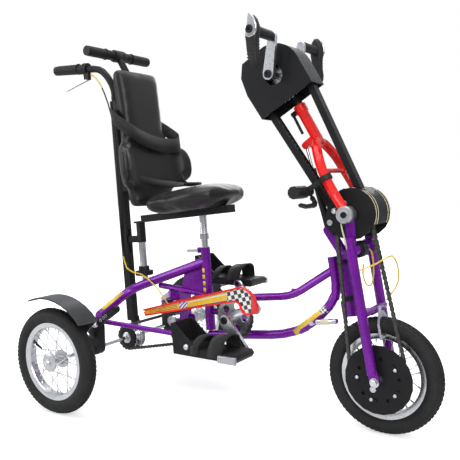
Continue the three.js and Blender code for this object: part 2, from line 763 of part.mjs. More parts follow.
// Two rows of waisted plates joined by rollers along the straight runs.
function chainSolid(loop, y, waisted) {
  const edge = (sign) => loop.flatMap((spot) => {
    const bulge = CHAIN_PLATE_HALF_HEIGHT;
    const points = [[spot.x + sign * spot.nx * bulge, spot.z + sign * spot.nz * bulge]];
    if (waisted && spot.waist) {
      const x = spot.x + spot.stepX / 2;
      const z = spot.z + spot.stepZ / 2;
      const waist = CHAIN_WAIST_HALF_HEIGHT;
      points.push([x + sign * spot.nx * waist, z + sign * spot.nz * waist]);
    }
    return points;
  });
  const outer = edge(1);
  const inner = edge(-1);
  const rail = (from, to) => {
    const shape = new THREE.Shape(outer.map(([x, z]) => new THREE.Vector2(x, z)));
    shape.holes.push(new THREE.Path(inner.map(([x, z]) => new THREE.Vector2(x, z))));
    const geometry = new THREE.ExtrudeGeometry(shape, { depth: to - from, bevelEnabled: false });
    geometry.rotateX(Math.PI / 2);
    geometry.translate(0, to, 0);
    return toSolid(geometry);
  };
  const half = CHAIN_INNER_WIDTH / 2;
  const rails = [
    rail(y - half - CHAIN_PLATE_WALL, y - half),
    rail(y + half, y + half + CHAIN_PLATE_WALL),
  ];
  const reach = half + CHAIN_PLATE_WALL / 2;
  const rollers = loop.filter((spot) => spot.pin).map((spot) => rod(
    point(spot.x, y - reach, spot.z),
    point(spot.x, y + reach, spot.z),
    ROLLER_RADIUS,
    4,
  ));
  return join(...rails, ...rollers);
}

// Frame: tubes meet the seat tube and the head tube with a small gap at each weld line.
const seatForward = point(1, 0, 0).applyAxisAngle(side, -degrees(SEAT_LEAN_DEG));
const asPair = ({ x, z }) => [x, z];
const fromSeat = (ahead, above, y = 0) => flat(SEAT_FOOT, y)
  .addScaledVector(seatForward, ahead)
  .addScaledVector(seatUp, above);
const seatTubeTop = fromSeat(0, SEAT_TUBE_LENGTH);
const seatTubeSpace = rod(fromSeat(0, -OVERRUN), seatTubeTop, MAIN_TUBE_RADIUS + GAP);

function seatTube() {
  const tube = rod(flat(SEAT_FOOT), seatTubeTop, MAIN_TUBE_RADIUS);
  const lugLow = SEAT_TUBE_LENGTH - COLLAR_HEIGHT;
  const lugReach = MAIN_TUBE_RADIUS + COLLAR_HEIGHT * LUG_COLLAR_SHARE;
  const lug = plate([
    [fromSeat(0, lugLow).x, fromSeat(0, lugLow).z],
    [fromSeat(0, SEAT_TUBE_LENGTH).x, seatTubeTop.z],
    [fromSeat(-lugReach, SEAT_TUBE_LENGTH).x, fromSeat(-lugReach, SEAT_TUBE_LENGTH).z],
    [fromSeat(-lugReach, lugLow).x, fromSeat(-lugReach, lugLow).z],
  ], -SEAT_POST_RADIUS / 2, SEAT_POST_RADIUS / 2);
  const bore = rod(
    fromSeat(0, -OVERRUN),
    fromSeat(0, SEAT_TUBE_LENGTH + OVERRUN),
    MAIN_TUBE_RADIUS - SEAT_TUBE_WALL,
  );
  return piece(frame, 'seat_tube', cut(join(tube, lug), bore), PURPLE);
}

const rearPostSpace = () => {
  const half = REAR_POST_SIZE / 2 + GAP;
  const corners = [
    [-REAR_POST_BEHIND - half, REAR_POST_LOW - OVERRUN],
    [-REAR_POST_BEHIND + half, REAR_POST_LOW - OVERRUN],
    [-REAR_POST_BEHIND + half, REAR_POST_HIGH + OVERRUN],
    [-REAR_POST_BEHIND - half, REAR_POST_HIGH + OVERRUN],
  ].map(([ahead, above]) => fromSeat(ahead, above)).map(({ x, z }) => [x, z]);
  return plate(corners, -half, half);
};

// A black bearing carrier at each end of the rear frame.
function axleCarrier(sign) {
  const [from, to] = span(sign, CARRIER_INSET, CARRIER_INSET + CARRIER_WIDTH);
  const outline = [
    ...arc(rearAxle.x, rearAxle.z, CARRIER_HALF_WIDTH, 180, 360, 6),
    [CARRIER_HALF_WIDTH, CARRIER_TOP - CARRIER_HALF_WIDTH / 2],
    [CARRIER_HALF_WIDTH / 2, CARRIER_TOP + CARRIER_HALF_WIDTH / 2],
    [-CARRIER_HALF_WIDTH / 2, CARRIER_TOP + CARRIER_HALF_WIDTH / 2],
    [-CARRIER_HALF_WIDTH, CARRIER_TOP],
  ];
  const bore = { x: rearAxle.x, z: rearAxle.z, radius: AXLE_RADIUS + 2 * GAP, sides: TUBE_SIDES };
  return plate(outline, from, to, [bore]);
}

const carrierSpace = (sign) => {
  const [from, to] = span(sign, CARRIER_INSET - GAP, CARRIER_INSET + CARRIER_WIDTH);
  const half = CARRIER_HALF_WIDTH * 2;
  return box(-half, half, from, to, WHEEL_RADIUS - half, CARRIER_TOP + half);
};

// A tube's centre line is drawn past its end, into the carrier, and trimmed there.
const onwards = (from, to) => to.clone().add(to.clone().sub(from).setLength(CARRIER_WIDTH));

const rearTubeRoute = () => {
  const kink = point(REAR_TUBE_KINK.x, REAR_TUBE_KINK.y, REAR_TUBE_KINK.z);
  const end = onwards(kink, point(REAR_TUBE_END.x, REAR_TUBE_END.y, REAR_TUBE_END.z));
  return rounded([flat(REAR_TUBE_START), kink, end], MAIN_TUBE_RADIUS * 3);
};

function frameTubes() {
  seatTube();
  Object.entries(SIDES).forEach(([name, sign]) => {
    piece(frame, `${name}_axle_carrier`, axleCarrier(sign), BLACK);
  });
  const rearTube = trim(
    sweep(rearTubeRoute(), MAIN_TUBE_RADIUS),
    seatTubeSpace,
    carrierSpace(-1),
    rearPostSpace(),
  );
  piece(frame, 'rear_tube', rearTube, PURPLE);

}

function leftStayRod(extra) {
  const end = point(REAR_TUBE_END.x, -REAR_TUBE_END.y, REAR_TUBE_END.z);
  return rod(
    flat(LEFT_STAY_START),
    onwards(flat(LEFT_STAY_START), end),
    STAY_RADIUS * STAY_SOCKET_SHARE + extra,
  );
}

// The brace carries gussets, the left upper stay and the strap that holds the idler hub.
function seatBrace() {
  const rearTubeSpace = sweep(rearTubeRoute(), MAIN_TUBE_RADIUS + GAP);
  const brace = rod(flat(BRACE_START), flat(BRACE_END), BRACE_RADIUS);
  const gusset = plate([
    [205, 361], [284, 390], [284, 304], [191, 312],
  ], -PLATE_WALL / 2, PLATE_WALL / 2);
  const lowerGusset = plate([
    [148, 271], [150, 312], [200, 308], [195, 278],
  ], -PLATE_WALL / 2, PLATE_WALL / 2);
  const leftStay = trim(leftStayRod(0), carrierSpace(1), rearPostSpace());
  const whole = join(brace, gusset, lowerGusset, leftStay, hubStrap());
  piece(frame, 'seat_brace', trim(whole, seatTubeSpace, rearTubeSpace, hubAxleSpace()), PURPLE);
}

// Two thin stays run forward from the axle carriers and meet under the seat tube.
function lowerStays() {
  const start = DOWN_TUBE_ROUTE[0];
  const downTubeSpace = rod(
    flat(start).add(point(-GAP, 0, 0)),
    flat(DOWN_TUBE_ROUTE[1]),
    DOWN_TUBE_RADIUS + GAP,
  );
  const stays = Object.values(SIDES).map((sign) => {
    const rear = point(LOWER_STAY_START.x, sign * LOWER_STAY_START.y, LOWER_STAY_START.z);
    const front = point(LOWER_STAY_END.x, sign * LOWER_STAY_END.y, LOWER_STAY_END.z);
    return trim(rod(front, onwards(front, rear), STAY_RADIUS), carrierSpace(sign));
  });
  const toe = (extra) => join(
    crossBar(LOWER_STAY_END, -LOWER_STAY_END.y, LOWER_STAY_END.y, STAY_RADIUS + extra),
    rod(flat(LOWER_STAY_END), flat(start), STAY_RADIUS + extra),
  );
  const rearTubeSpace = sweep(rearTubeRoute(), MAIN_TUBE_RADIUS + GAP);
  const right = trim(join(stays[0], toe(0)), downTubeSpace, seatTubeSpace, rearTubeSpace);
  const left = trim(stays[1], downTubeSpace, seatTubeSpace, leftStayRod(GAP), toe(GAP));
  piece(frame, 'right_lower_stay', right, PURPLE);
  piece(frame, 'left_lower_stay', trim(left, right), PURPLE);
}

// A damper for the steering lies beside the down tube on a stud.
function steeringDamper() {
  const stud = flat(DAMPER_STUD, -DOWN_TUBE_RADIUS - DAMPER_RADIUS - GAP);
  const end = flat(DAMPER_END, -DOWN_TUBE_RADIUS - DAMPER_RADIUS - GAP);
  const body = stud.clone().lerp(end, 1 / 4);
  return join(
    rod(body, end, DAMPER_RADIUS),
    rod(stud, body, DAMPER_RADIUS / 2),
    crossBar(DAMPER_STUD, stud.y - DAMPER_RADIUS / 2, 0, DAMPER_RADIUS * DAMPER_STUD_SHARE),
  );
}

function frontTubes() {
  const lower = DOWN_TUBE_ROUTE.map((place) => flat(place));
  const last = lower[lower.length - 1];
  lower.push(last.clone().addScaledVector(headUp, DOWN_TUBE_TOP_LENGTH));
  const downRoute = rounded(lower, DOWN_TUBE_BENDS.concat(DOWN_TUBE_BENDS[1]));
  const upperCorners = [UPPER_TUBE_START, UPPER_TUBE_KINK, UPPER_TUBE_END].map((place) => flat(place));
  const upperRoute = rounded(upperCorners, UPPER_TUBE_RADIUS * 3);
  const stop = box(
    CABLE_STOP.x - UPPER_TUBE_RADIUS,
    CABLE_STOP.x + UPPER_TUBE_RADIUS,
    -PLATE_WALL,
    PLATE_WALL,
    CABLE_STOP.z,
    CABLE_STOP.z + UPPER_TUBE_RADIUS * CABLE_STOP_SHARE,
  );
  const downSpace = sweep(downRoute, DOWN_TUBE_RADIUS + GAP);
  const upperTube = trim(join(sweep(upperRoute, UPPER_TUBE_RADIUS), stop), seatTubeSpace, downSpace);
  piece(frame, 'front_upper_tube', upperTube, PURPLE);

  const head = rod(fromHead(0, -HEAD_TUBE_LENGTH), fromHead(0, 0), HEAD_TUBE_RADIUS);
  const headBore = rod(
    fromHead(0, -HEAD_TUBE_LENGTH - OVERRUN),
    fromHead(0, OVERRUN),
    KINGPIN_RADIUS + 2 * GAP,
  );

  const shellFrom = -SHELL_HALF_LENGTH;
  const downTube = trim(
    join(
      sweep(downRoute, DOWN_TUBE_RADIUS),
      steeringDamper(),
      head,
      crossBar(CRANK_AXIS, shellFrom, SHELL_HALF_LENGTH, SHELL_RADIUS),
      rod(
        flat(SEAT_FOOT).addScaledVector(seatUp, CRANK_AXIS.z - SEAT_FOOT.z),
        flat(CRANK_AXIS),
        BRACE_RADIUS,
      ),
      plate([
        [CRANK_AXIS.x - SHELL_RADIUS / 2, CRANK_AXIS.z],
        [CRANK_AXIS.x - SHELL_RADIUS * 2, DOWN_TUBE_ROUTE[0].z + DOWN_TUBE_RADIUS],
        [CRANK_AXIS.x + SHELL_RADIUS * 2, DOWN_TUBE_ROUTE[0].z + DOWN_TUBE_RADIUS],
        [CRANK_AXIS.x + SHELL_RADIUS / 2, CRANK_AXIS.z],
      ], -PLATE_WALL, PLATE_WALL),
    ),
    crossBar(CRANK_AXIS, shellFrom - OVERRUN, SHELL_HALF_LENGTH + OVERRUN, SPINDLE_RADIUS + 2 * GAP),
    seatTubeSpace,
    headBore,
  );
  piece(frame, 'down_tube', downTube, PURPLE);
}

// The strap hangs from the brace and carries the idler hub beside the chain.

function hubStrap() {
  const bend = HUB_BODY / 2;
  const outline = [
    [STRAP_X, BRACE_START.z - BRACE_RADIUS],
    [STRAP_X - STRAP_WALL, BRACE_START.z - BRACE_RADIUS],
    [STRAP_X - STRAP_WALL, STRAP_LOW + bend],
    ...arc(STRAP_X - STRAP_WALL + bend, STRAP_LOW + bend, bend, 180, 270, 3),
    [STRAP_X + HUB_BODY * STRAP_FOOT_SHARE, STRAP_LOW],
    [STRAP_X + HUB_BODY * STRAP_FOOT_SHARE, STRAP_LOW + STRAP_WALL],
    ...arc(STRAP_X + bend, STRAP_LOW + STRAP_WALL + bend, bend, 270, 180, 3),
  ];
  const ear = plate(
    barOutline(HUB, HUB_DISC, { x: STRAP_X, z: HUB.z }, HUB_DISC),
    HUB_LEFT + GAP,
    HUB_LEFT + STRAP_WALL,
  );
  return join(plate(outline, -HUB_BODY, HUB_LEFT + STRAP_WALL), ear);
}

const hubAxleSpace = () =>
  crossBar(HUB, HUB_LEFT - OVERRUN, HUB_LEFT + STRAP_WALL * 2, HUB_AXLE_RADIUS + 2 * GAP);

function idlerHub() {
  const hub = turned([
    [0, REAR_CHAIN_Y - HUB_AXLE_RADIUS * 2],
    [HUB_AXLE_RADIUS, REAR_CHAIN_Y - HUB_AXLE_RADIUS * 2],
    [HUB_AXLE_RADIUS, REAR_CHAIN_Y - HUB_AXLE_RADIUS],
    [HUB_DISC, REAR_CHAIN_Y - HUB_AXLE_RADIUS],
    [HUB_DISC, REAR_CHAIN_Y + HUB_AXLE_RADIUS],
    [HUB_BODY / 2, REAR_CHAIN_Y + HUB_AXLE_RADIUS],
    [HUB_BODY / 2, HUB_LEFT - HUB_AXLE_RADIUS],
    [HUB_AXLE_RADIUS, HUB_LEFT],
    [HUB_AXLE_RADIUS, HUB_LEFT + STRAP_WALL * 2],
    [0, HUB_LEFT + STRAP_WALL * 2],
  ], TUBE_SIDES, flat(HUB));
  piece(frame, 'idler_hub', hub, SILVER);
}

// Rear axle with its sprocket cluster; it turns with the right wheel.
function rearAxlePiece() {
  const end = TRACK / 2 + HUB_HALF_LENGTH + AXLE_END_BEYOND_HUB;
  const shaft = crossBar(rearAxle, -end, end, AXLE_RADIUS);
  const outer = REAR_CHAIN_Y - SPROCKET_WALL / 2;
  const carrierRadius = pitchRadius(REAR_TEETH) - ROLLER_RADIUS - CHAIN_PLATE_HALF_HEIGHT;
  const carrier = turned([
    [0, outer - CHAIN_INNER_WIDTH],
    [carrierRadius / 2, outer - CHAIN_INNER_WIDTH],
    [carrierRadius, outer],
    [carrierRadius, outer + CLUSTER_LENGTH],
    [0, outer + CLUSTER_LENGTH],
  ], TUBE_SIDES, flat(rearAxle));
  const teeth = sprocket(rearAxle, REAR_CHAIN_Y, REAR_TEETH, SPROCKET_WALL);
  const guideRadius = pitchRadius(REAR_TEETH) + CHAIN_PLATE_HALF_HEIGHT;
  const guide = (y) => crossBar(rearAxle, y, y + SPROCKET_WALL, guideRadius, 2 * TUBE_SIDES);
  const first = outer + CLUSTER_LENGTH / 2;
  const second = outer + CLUSTER_LENGTH - SPROCKET_WALL;
  piece(frame, 'rear_axle', join(shaft, carrier, teeth, guide(first), guide(second)), SILVER);
}

function fenders() {
  Object.entries(SIDES).forEach(([name, sign]) => {
    const middle = TRACK / 2;
    const [from, to] = span(sign, middle - FENDER_HALF_WIDTH, middle + FENDER_HALF_WIDTH);
    const outer = FENDER_INNER_RADIUS + FENDER_WALL;
    const steps = 8;
    const { x, z } = rearAxle;
    const shell = plate([
      ...arc(x, z, outer, FENDER_FRONT_DEG, FENDER_REAR_DEG, steps),
      ...arc(x, z, FENDER_INNER_RADIUS, FENDER_REAR_DEG, FENDER_FRONT_DEG, steps),
    ], from, to);
    const [skirtFrom, skirtTo] = span(
      sign,
      middle - FENDER_HALF_WIDTH,
      middle - FENDER_HALF_WIDTH + FENDER_WALL,
    );
    const skirtDepth = FENDER_INNER_RADIUS - FENDER_HALF_WIDTH * SKIRT_DEPTH_SHARE;
    const skirt = plate([
      ...arc(x, z, outer - FENDER_WALL / 2, FENDER_FRONT_DEG, FENDER_REAR_DEG - FENDER_FRONT_DEG / 2, 5),
      spoke(rearAxle, skirtDepth, FENDER_FRONT_DEG * SKIRT_START_SHARE),
      spoke(rearAxle, skirtDepth * SKIRT_STEP_SHARE, FENDER_FRONT_DEG),
    ], skirtFrom, skirtTo);
    const root = point(
      FENDER_BRACKET.x,
      sign * (CARRIER_INSET + CARRIER_WIDTH + GAP),
      FENDER_BRACKET.z,
    );
    const [tipX, tipZ] = spoke(rearAxle, skirtDepth, FENDER_FRONT_DEG * SKIRT_TIP_SHARE);
    const tip = point(tipX, sign * (middle - FENDER_HALF_WIDTH + FENDER_WALL / 2), tipZ);
    const foot = point(root.x, sign * (CARRIER_INSET + CARRIER_WIDTH + PARKING_BOLT_RADIUS), root.z);
    const arm = join(rod(root, foot, PARKING_BOLT_RADIUS), rod(foot, tip, PARKING_BOLT_RADIUS / 2));
    piece(frame, `${name}_fender`, join(shell, skirt, arm), FENDER_GREY);
  });
}

function parkingLever() {
  const near = -CARRIER_INSET - CARRIER_WIDTH - GAP;
  const heading = Math.atan2(PARKING_GRIP_END.z - PARKING_PIVOT.z, PARKING_GRIP_END.x - PARKING_PIVOT.x);
  const along = (share) => ({
    x: PARKING_PIVOT.x + (PARKING_GRIP_END.x - PARKING_PIVOT.x) * share,
    z: PARKING_PIVOT.z + (PARKING_GRIP_END.z - PARKING_PIVOT.z) * share,
  });
  const holeShares = [0.24, 0.36, 0.48];
  const gripStartShare = 0.6;
  const holes = holeShares.map((share) => ({
    ...along(share),
    radius: PARKING_LEVER_WALL * LEVER_END_SHARE,
    sides: BOLT_SIDES,
  }));
  const pin = { ...PARKING_PIVOT, radius: PARKING_LEVER_WALL, sides: BOLT_SIDES };
  const radius = PARKING_BOLT_RADIUS * LEVER_BOSS_SHARE;
  const blade = plate(
    barOutline(PARKING_PIVOT, radius, along(gripStartShare + LEVER_OVERLAP_SHARE), radius * LEVER_NECK_SHARE),
    near - PARKING_LEVER_WALL,
    near,
    holes,
  );
  const grip = plate(
    barOutline(along(gripStartShare), radius * LEVER_END_SHARE, along(1), radius * LEVER_END_SHARE),
    near - PARKING_LEVER_WALL * 3,
    near + PARKING_LEVER_WALL,
  );
  const boss = crossBar(PARKING_PIVOT, near - PARKING_LEVER_WALL * 2, near, pin.radius * 2, SMALL_SIDES);
  piece(frame, 'parking_lever', join(blade, grip, boss), BLACK);
  return heading;
}

// Rear uprights, posts and the seat pan lean back together.
function uprights() {
  const half = REAR_POST_SIZE / 2;
  const upright = (reach, low, high, y) => plate([
    [-REAR_POST_BEHIND - reach, low],
    [-REAR_POST_BEHIND + reach, low],
    [-REAR_POST_BEHIND + reach, high],
    [-REAR_POST_BEHIND - reach, high],
  ].map(([ahead, above]) => asPair(fromSeat(ahead, above))), -y, y);
  const square = upright(half, REAR_POST_LOW, REAR_POST_HIGH, half);
  const slot = upright(REAR_POST_SIZE, POST_SLOT_LOW, POST_SLOT_LOW + POST_SLOT_HEIGHT, POST_SLOT_WIDTH / 2);
  piece(frame, 'rear_post', cut(join(square, axleBlock()), slot), BLACK);

  const post = (behind, low, high, radius = SEAT_POST_RADIUS) =>
    rod(point(-behind, 0, low), point(-behind, 0, high), radius);
  const rearPost = cut(
    post(REAR_SEAT_POST_BEHIND, REAR_SEAT_POST_LOW, REAR_SEAT_POST_HIGH),
  );
  piece(seatGroup, 'rear_seat_post', rearPost, CHROME);
}

// The foot of the rear post is a block that the axle turns in, beside the sprockets.
function axleBlock() {
  const inner = REAR_CHAIN_Y - SPROCKET_WALL / 2 + CLUSTER_LENGTH + GAP * 2;
  const top = fromSeat(-REAR_POST_BEHIND, REAR_POST_LOW).z + REAR_POST_SIZE / 2;
  const bore = { ...rearAxle, radius: AXLE_RADIUS + 2 * GAP, sides: TUBE_SIDES };
  const outline = [
    ...arc(rearAxle.x, rearAxle.z, CARRIER_HALF_WIDTH * BLOCK_CORNER_SHARE, 180, 360, 6),
    [CARRIER_HALF_WIDTH * BLOCK_STEP_SHARE, top],
    [-CARRIER_HALF_WIDTH, top],
  ];
  return plate(outline, inner, inner + REAR_POST_SIZE / 2, [bore]);
}

// A skin over rings of points that all have the same count, closed at both ends.
function loft(rings) {
  const count = rings[0].length;
  const centre = (ring) => ring.reduce((sum, spot) => sum.add(spot), point(0, 0, 0)).divideScalar(count);
  const spots = [...rings.flat(), centre(rings[0]), centre(rings[rings.length - 1])];
  const index = [];
  for (let ring = 0; ring < rings.length - 1; ring += 1) {
    for (let i = 0; i < count; i += 1) {
      const a = ring * count + i;
      const b = ring * count + ((i + 1) % count);
      index.push(a, b, b + count, a, b + count, a + count);
    }
  }
  const first = rings.length * count;
  const lastRing = (rings.length - 1) * count;
  for (let i = 0; i < count; i += 1) {
    const next = (i + 1) % count;
    index.push(first, next, i, first + 1, lastRing + i, lastRing + next);
  }
  const volume = index.reduce((sum, _, i) => {
    if (i % 3) return sum;
    const [a, b, c] = [spots[index[i]], spots[index[i + 1]], spots[index[i + 2]]];
    return sum + a.dot(b.clone().cross(c));
  }, 0);
  if (volume < 0) index.reverse();
  const geometry = new THREE.BufferGeometry().setFromPoints(spots);
  geometry.setIndex(index);
  return toSolid(geometry);
}

// A padded form: rings run along x, each a flattened round with a crown above and below.
function pad(length, halfWidth, low, high, shape, rings, around) {
  const sections = Array.from({ length: rings + 1 }, (_, i) => {
    const share = i / rings;
    const { width, lowShare, highShare } = shape(share);
    return Array.from({ length: around }, (__, j) => {
      const angle = (2 * Math.PI * (j + 1 / 2)) / around;
      const across = Math.sign(Math.cos(angle)) * Math.abs(Math.cos(angle)) ** (1 / 2);
      const rise = Math.sign(Math.sin(angle)) * Math.abs(Math.sin(angle)) ** (3 / 4);
      const reach = rise > 0 ? high * highShare : low * lowShare;
      return point(share * length, across * halfWidth * width, rise * reach);
    });
  });
  return sections;
}

const panRise = Math.atan2(CHANNEL_FRONT.z - CHANNEL_REAR.z, CHANNEL_FRONT.x - CHANNEL_REAR.x);
const seatPan = new THREE.Group();
const panOffset = flat(CHANNEL_REAR).sub(flat(SEAT_FOOT));
seatPan.position.set(panOffset.dot(seatForward), 0, panOffset.dot(seatUp));
seatPan.rotation.y = degrees(SEAT_LEAN_DEG) - panRise;
seatGroup.add(seatPan);
const panLength = Math.hypot(CHANNEL_FRONT.x - CHANNEL_REAR.x, CHANNEL_FRONT.z - CHANNEL_REAR.z);

function seat() {
  const half = CHANNEL_HALF_WIDTH;

  const length = CUSHION_FRONT - CUSHION_REAR;
  const start = CUSHION_REAR - CHANNEL_REAR.x;
  const rings = pad(length, CUSHION_HALF_WIDTH, CUSHION_THICKNESS / 2, CUSHION_THICKNESS / 2, (share) => {
    const round = Math.sqrt(Math.max(0, 1 - (2 * share - 1) ** 6));
    const fromWaist = (share - SEAT_WAIST_PLACE_SHARE) / SEAT_WAIST_LENGTH_SHARE;
    const waist = 1 - SEAT_WAIST_SHARE * Math.exp(-(fromWaist ** 2));
    const taper = 1 - SEAT_TAPER_SHARE * share ** 3;
    const height = SEAT_EDGE_SHARE + (1 - SEAT_EDGE_SHARE) * round;
    return {
      width: (SEAT_END_SHARE + (1 - SEAT_END_SHARE) * round) * waist * taper,
      lowShare: height,
      highShare: height,
    };
  }, SEAT_RINGS, SEAT_AROUND);
  const lift = CHANNEL_HEIGHT + GAP + CUSHION_THICKNESS / 2;
  const cushion = loft(rings.map((ring) => ring.map((spot) => spot.add(point(start, 0, lift)))));
  piece(seatPan, 'seat_cushion', cushion, VINYL);

  // The channel in the frame of the posts, for trimming the post and the sleeve to it.
  const corner = (along, above) => {
    const angle = panRise - degrees(SEAT_LEAN_DEG);
    const turnedX = along * Math.cos(angle) - above * Math.sin(angle);
    const turnedZ = along * Math.sin(angle) + above * Math.cos(angle);
    return [seatPan.position.x + turnedX, seatPan.position.z + turnedZ];
  };
  const panBox = (from, to, low, high, y) =>
    plate([corner(from, low), corner(to, low), corner(to, high), corner(from, high)], -y, y);
  const channel = cut(
    panBox(0, panLength, 0, CHANNEL_HEIGHT, half),
    panBox(-OVERRUN, panLength - CHANNEL_WALL, CHANNEL_WALL, CHANNEL_HEIGHT + OVERRUN, half - CHANNEL_WALL),
  );
  const tongue = panBox(-SLEEVE_RADIUS * TONGUE_REACH_SHARE, OVERRUN, 0, CHANNEL_WALL * 2, SLEEVE_RADIUS);
  const under = plate([
    corner(-panLength, -GAP),
    corner(panLength * 2, -GAP),
    corner(panLength * 2, panLength),
    corner(-panLength, panLength),
  ], -panLength, panLength);
  const frontPost = join(
    rod(point(0, 0, FRONT_SEAT_POST_LOW), point(0, 0, FRONT_SEAT_POST_HIGH + half), SEAT_POST_RADIUS),
    rod(
      point(0, 0, SEAT_TUBE_LENGTH + COLLAR_HEIGHT * POST_RING_LOW_SHARE),
      point(0, 0, SEAT_TUBE_LENGTH + COLLAR_HEIGHT * POST_RING_HIGH_SHARE),
      SLEEVE_RADIUS,
    ),
  );
  piece(seatGroup, 'front_seat_post', trim(frontPost, under), CHROME);

  const sleeveTop = SLEEVE_LOW + SLEEVE_HEIGHT;
  const armReach = REAR_POST_BEHIND - REAR_POST_SIZE / 2 - GAP;
  const sleeve = join(
    rod(
      point(-REAR_SEAT_POST_BEHIND, 0, SLEEVE_LOW),
      point(-REAR_SEAT_POST_BEHIND, 0, sleeveTop + half * 1.5),
      SLEEVE_RADIUS + GAP * 2,
    ),
    box(
      -armReach,
      -REAR_SEAT_POST_BEHIND,
      -POST_SLOT_WIDTH,
      POST_SLOT_WIDTH,
      SLEEVE_LOW,
      SLEEVE_LOW + SLEEVE_HEIGHT * POST_ARM_SHARE,
    ),
  );
  const bore = rod(
    point(-REAR_SEAT_POST_BEHIND, 0, SLEEVE_LOW - OVERRUN),
    point(-REAR_SEAT_POST_BEHIND, 0, REAR_SEAT_POST_HIGH + SEAT_DROP),
    SEAT_POST_RADIUS + 2 * GAP,
  );
  const inTheChannel = panBox(-OVERRUN, panLength, CHANNEL_WALL, panLength, half * 4);
  piece(seatGroup, 'seat_channel', join(channel, tongue, trim(sleeve, bore, inTheChannel)), BLACK);
}

function clampsAndKnob() {
  const tubeSpace = rod(
    point(-REAR_SEAT_POST_BEHIND, 0, REAR_SEAT_POST_LOW - OVERRUN),
    point(-REAR_SEAT_POST_BEHIND, 0, REAR_SEAT_POST_HIGH),
    SEAT_POST_RADIUS + 2 * GAP,
  );
  const knobLow = REAR_SEAT_POST_LOW + KNOB_HEIGHT;
  const wheel = rod(
    point(-REAR_SEAT_POST_BEHIND, 0, knobLow),
    point(-REAR_SEAT_POST_BEHIND, 0, knobLow + KNOB_HEIGHT),
    KNOB_RADIUS,
    2 * SMALL_SIDES,
  );
  const neck = rod(
    point(-REAR_SEAT_POST_BEHIND, 0, knobLow),
    point(-REAR_SEAT_POST_BEHIND, 0, knobLow + KNOB_HEIGHT * 2),
    SLEEVE_RADIUS + PLATE_WALL,
  );
  piece(seatGroup, 'knob_wheel', cut(join(wheel, neck), tubeSpace), BLACK);

  const lugReach = MAIN_TUBE_RADIUS + COLLAR_HEIGHT * LUG_COLLAR_SHARE;
  const height = SEAT_TUBE_LENGTH - COLLAR_HEIGHT / 2;
  const near = -SEAT_POST_RADIUS / 2 - GAP;
  const lever = join(
    box(
      -lugReach - PLATE_WALL,
      -MAIN_TUBE_RADIUS - PLATE_WALL,
      near - PLATE_WALL * 2,
      near,
      height - PLATE_WALL,
      height + PLATE_WALL,
    ),
    box(
      -lugReach - COLLAR_HEIGHT * 2,
      -lugReach,
      near - PLATE_WALL * 2,
      near - PLATE_WALL,
      height - PLATE_WALL,
      height + PLATE_WALL,
    ),
  );
  piece(seatGroup, 'seat_clamp_lever', lever, SILVER);
}

// The pad for the back stands on a board that two arms hold off the rear post.
const backUp = up.clone().applyAxisAngle(side, -degrees(BACKREST_LEAN_DEG));
const backForward = point(1, 0, 0).applyAxisAngle(side, -degrees(BACKREST_LEAN_DEG));
const fromBack = (ahead, above, y = 0) => flat(BACKREST_BOTTOM, y)
  .addScaledVector(backForward, ahead)
  .addScaledVector(backUp, above);
const backGroup = new THREE.Group();
backGroup.position.copy(fromBack(-BACKREST_THICKNESS, 0));
backGroup.rotation.y = -degrees(BACKREST_LEAN_DEG);
frame.add(backGroup);

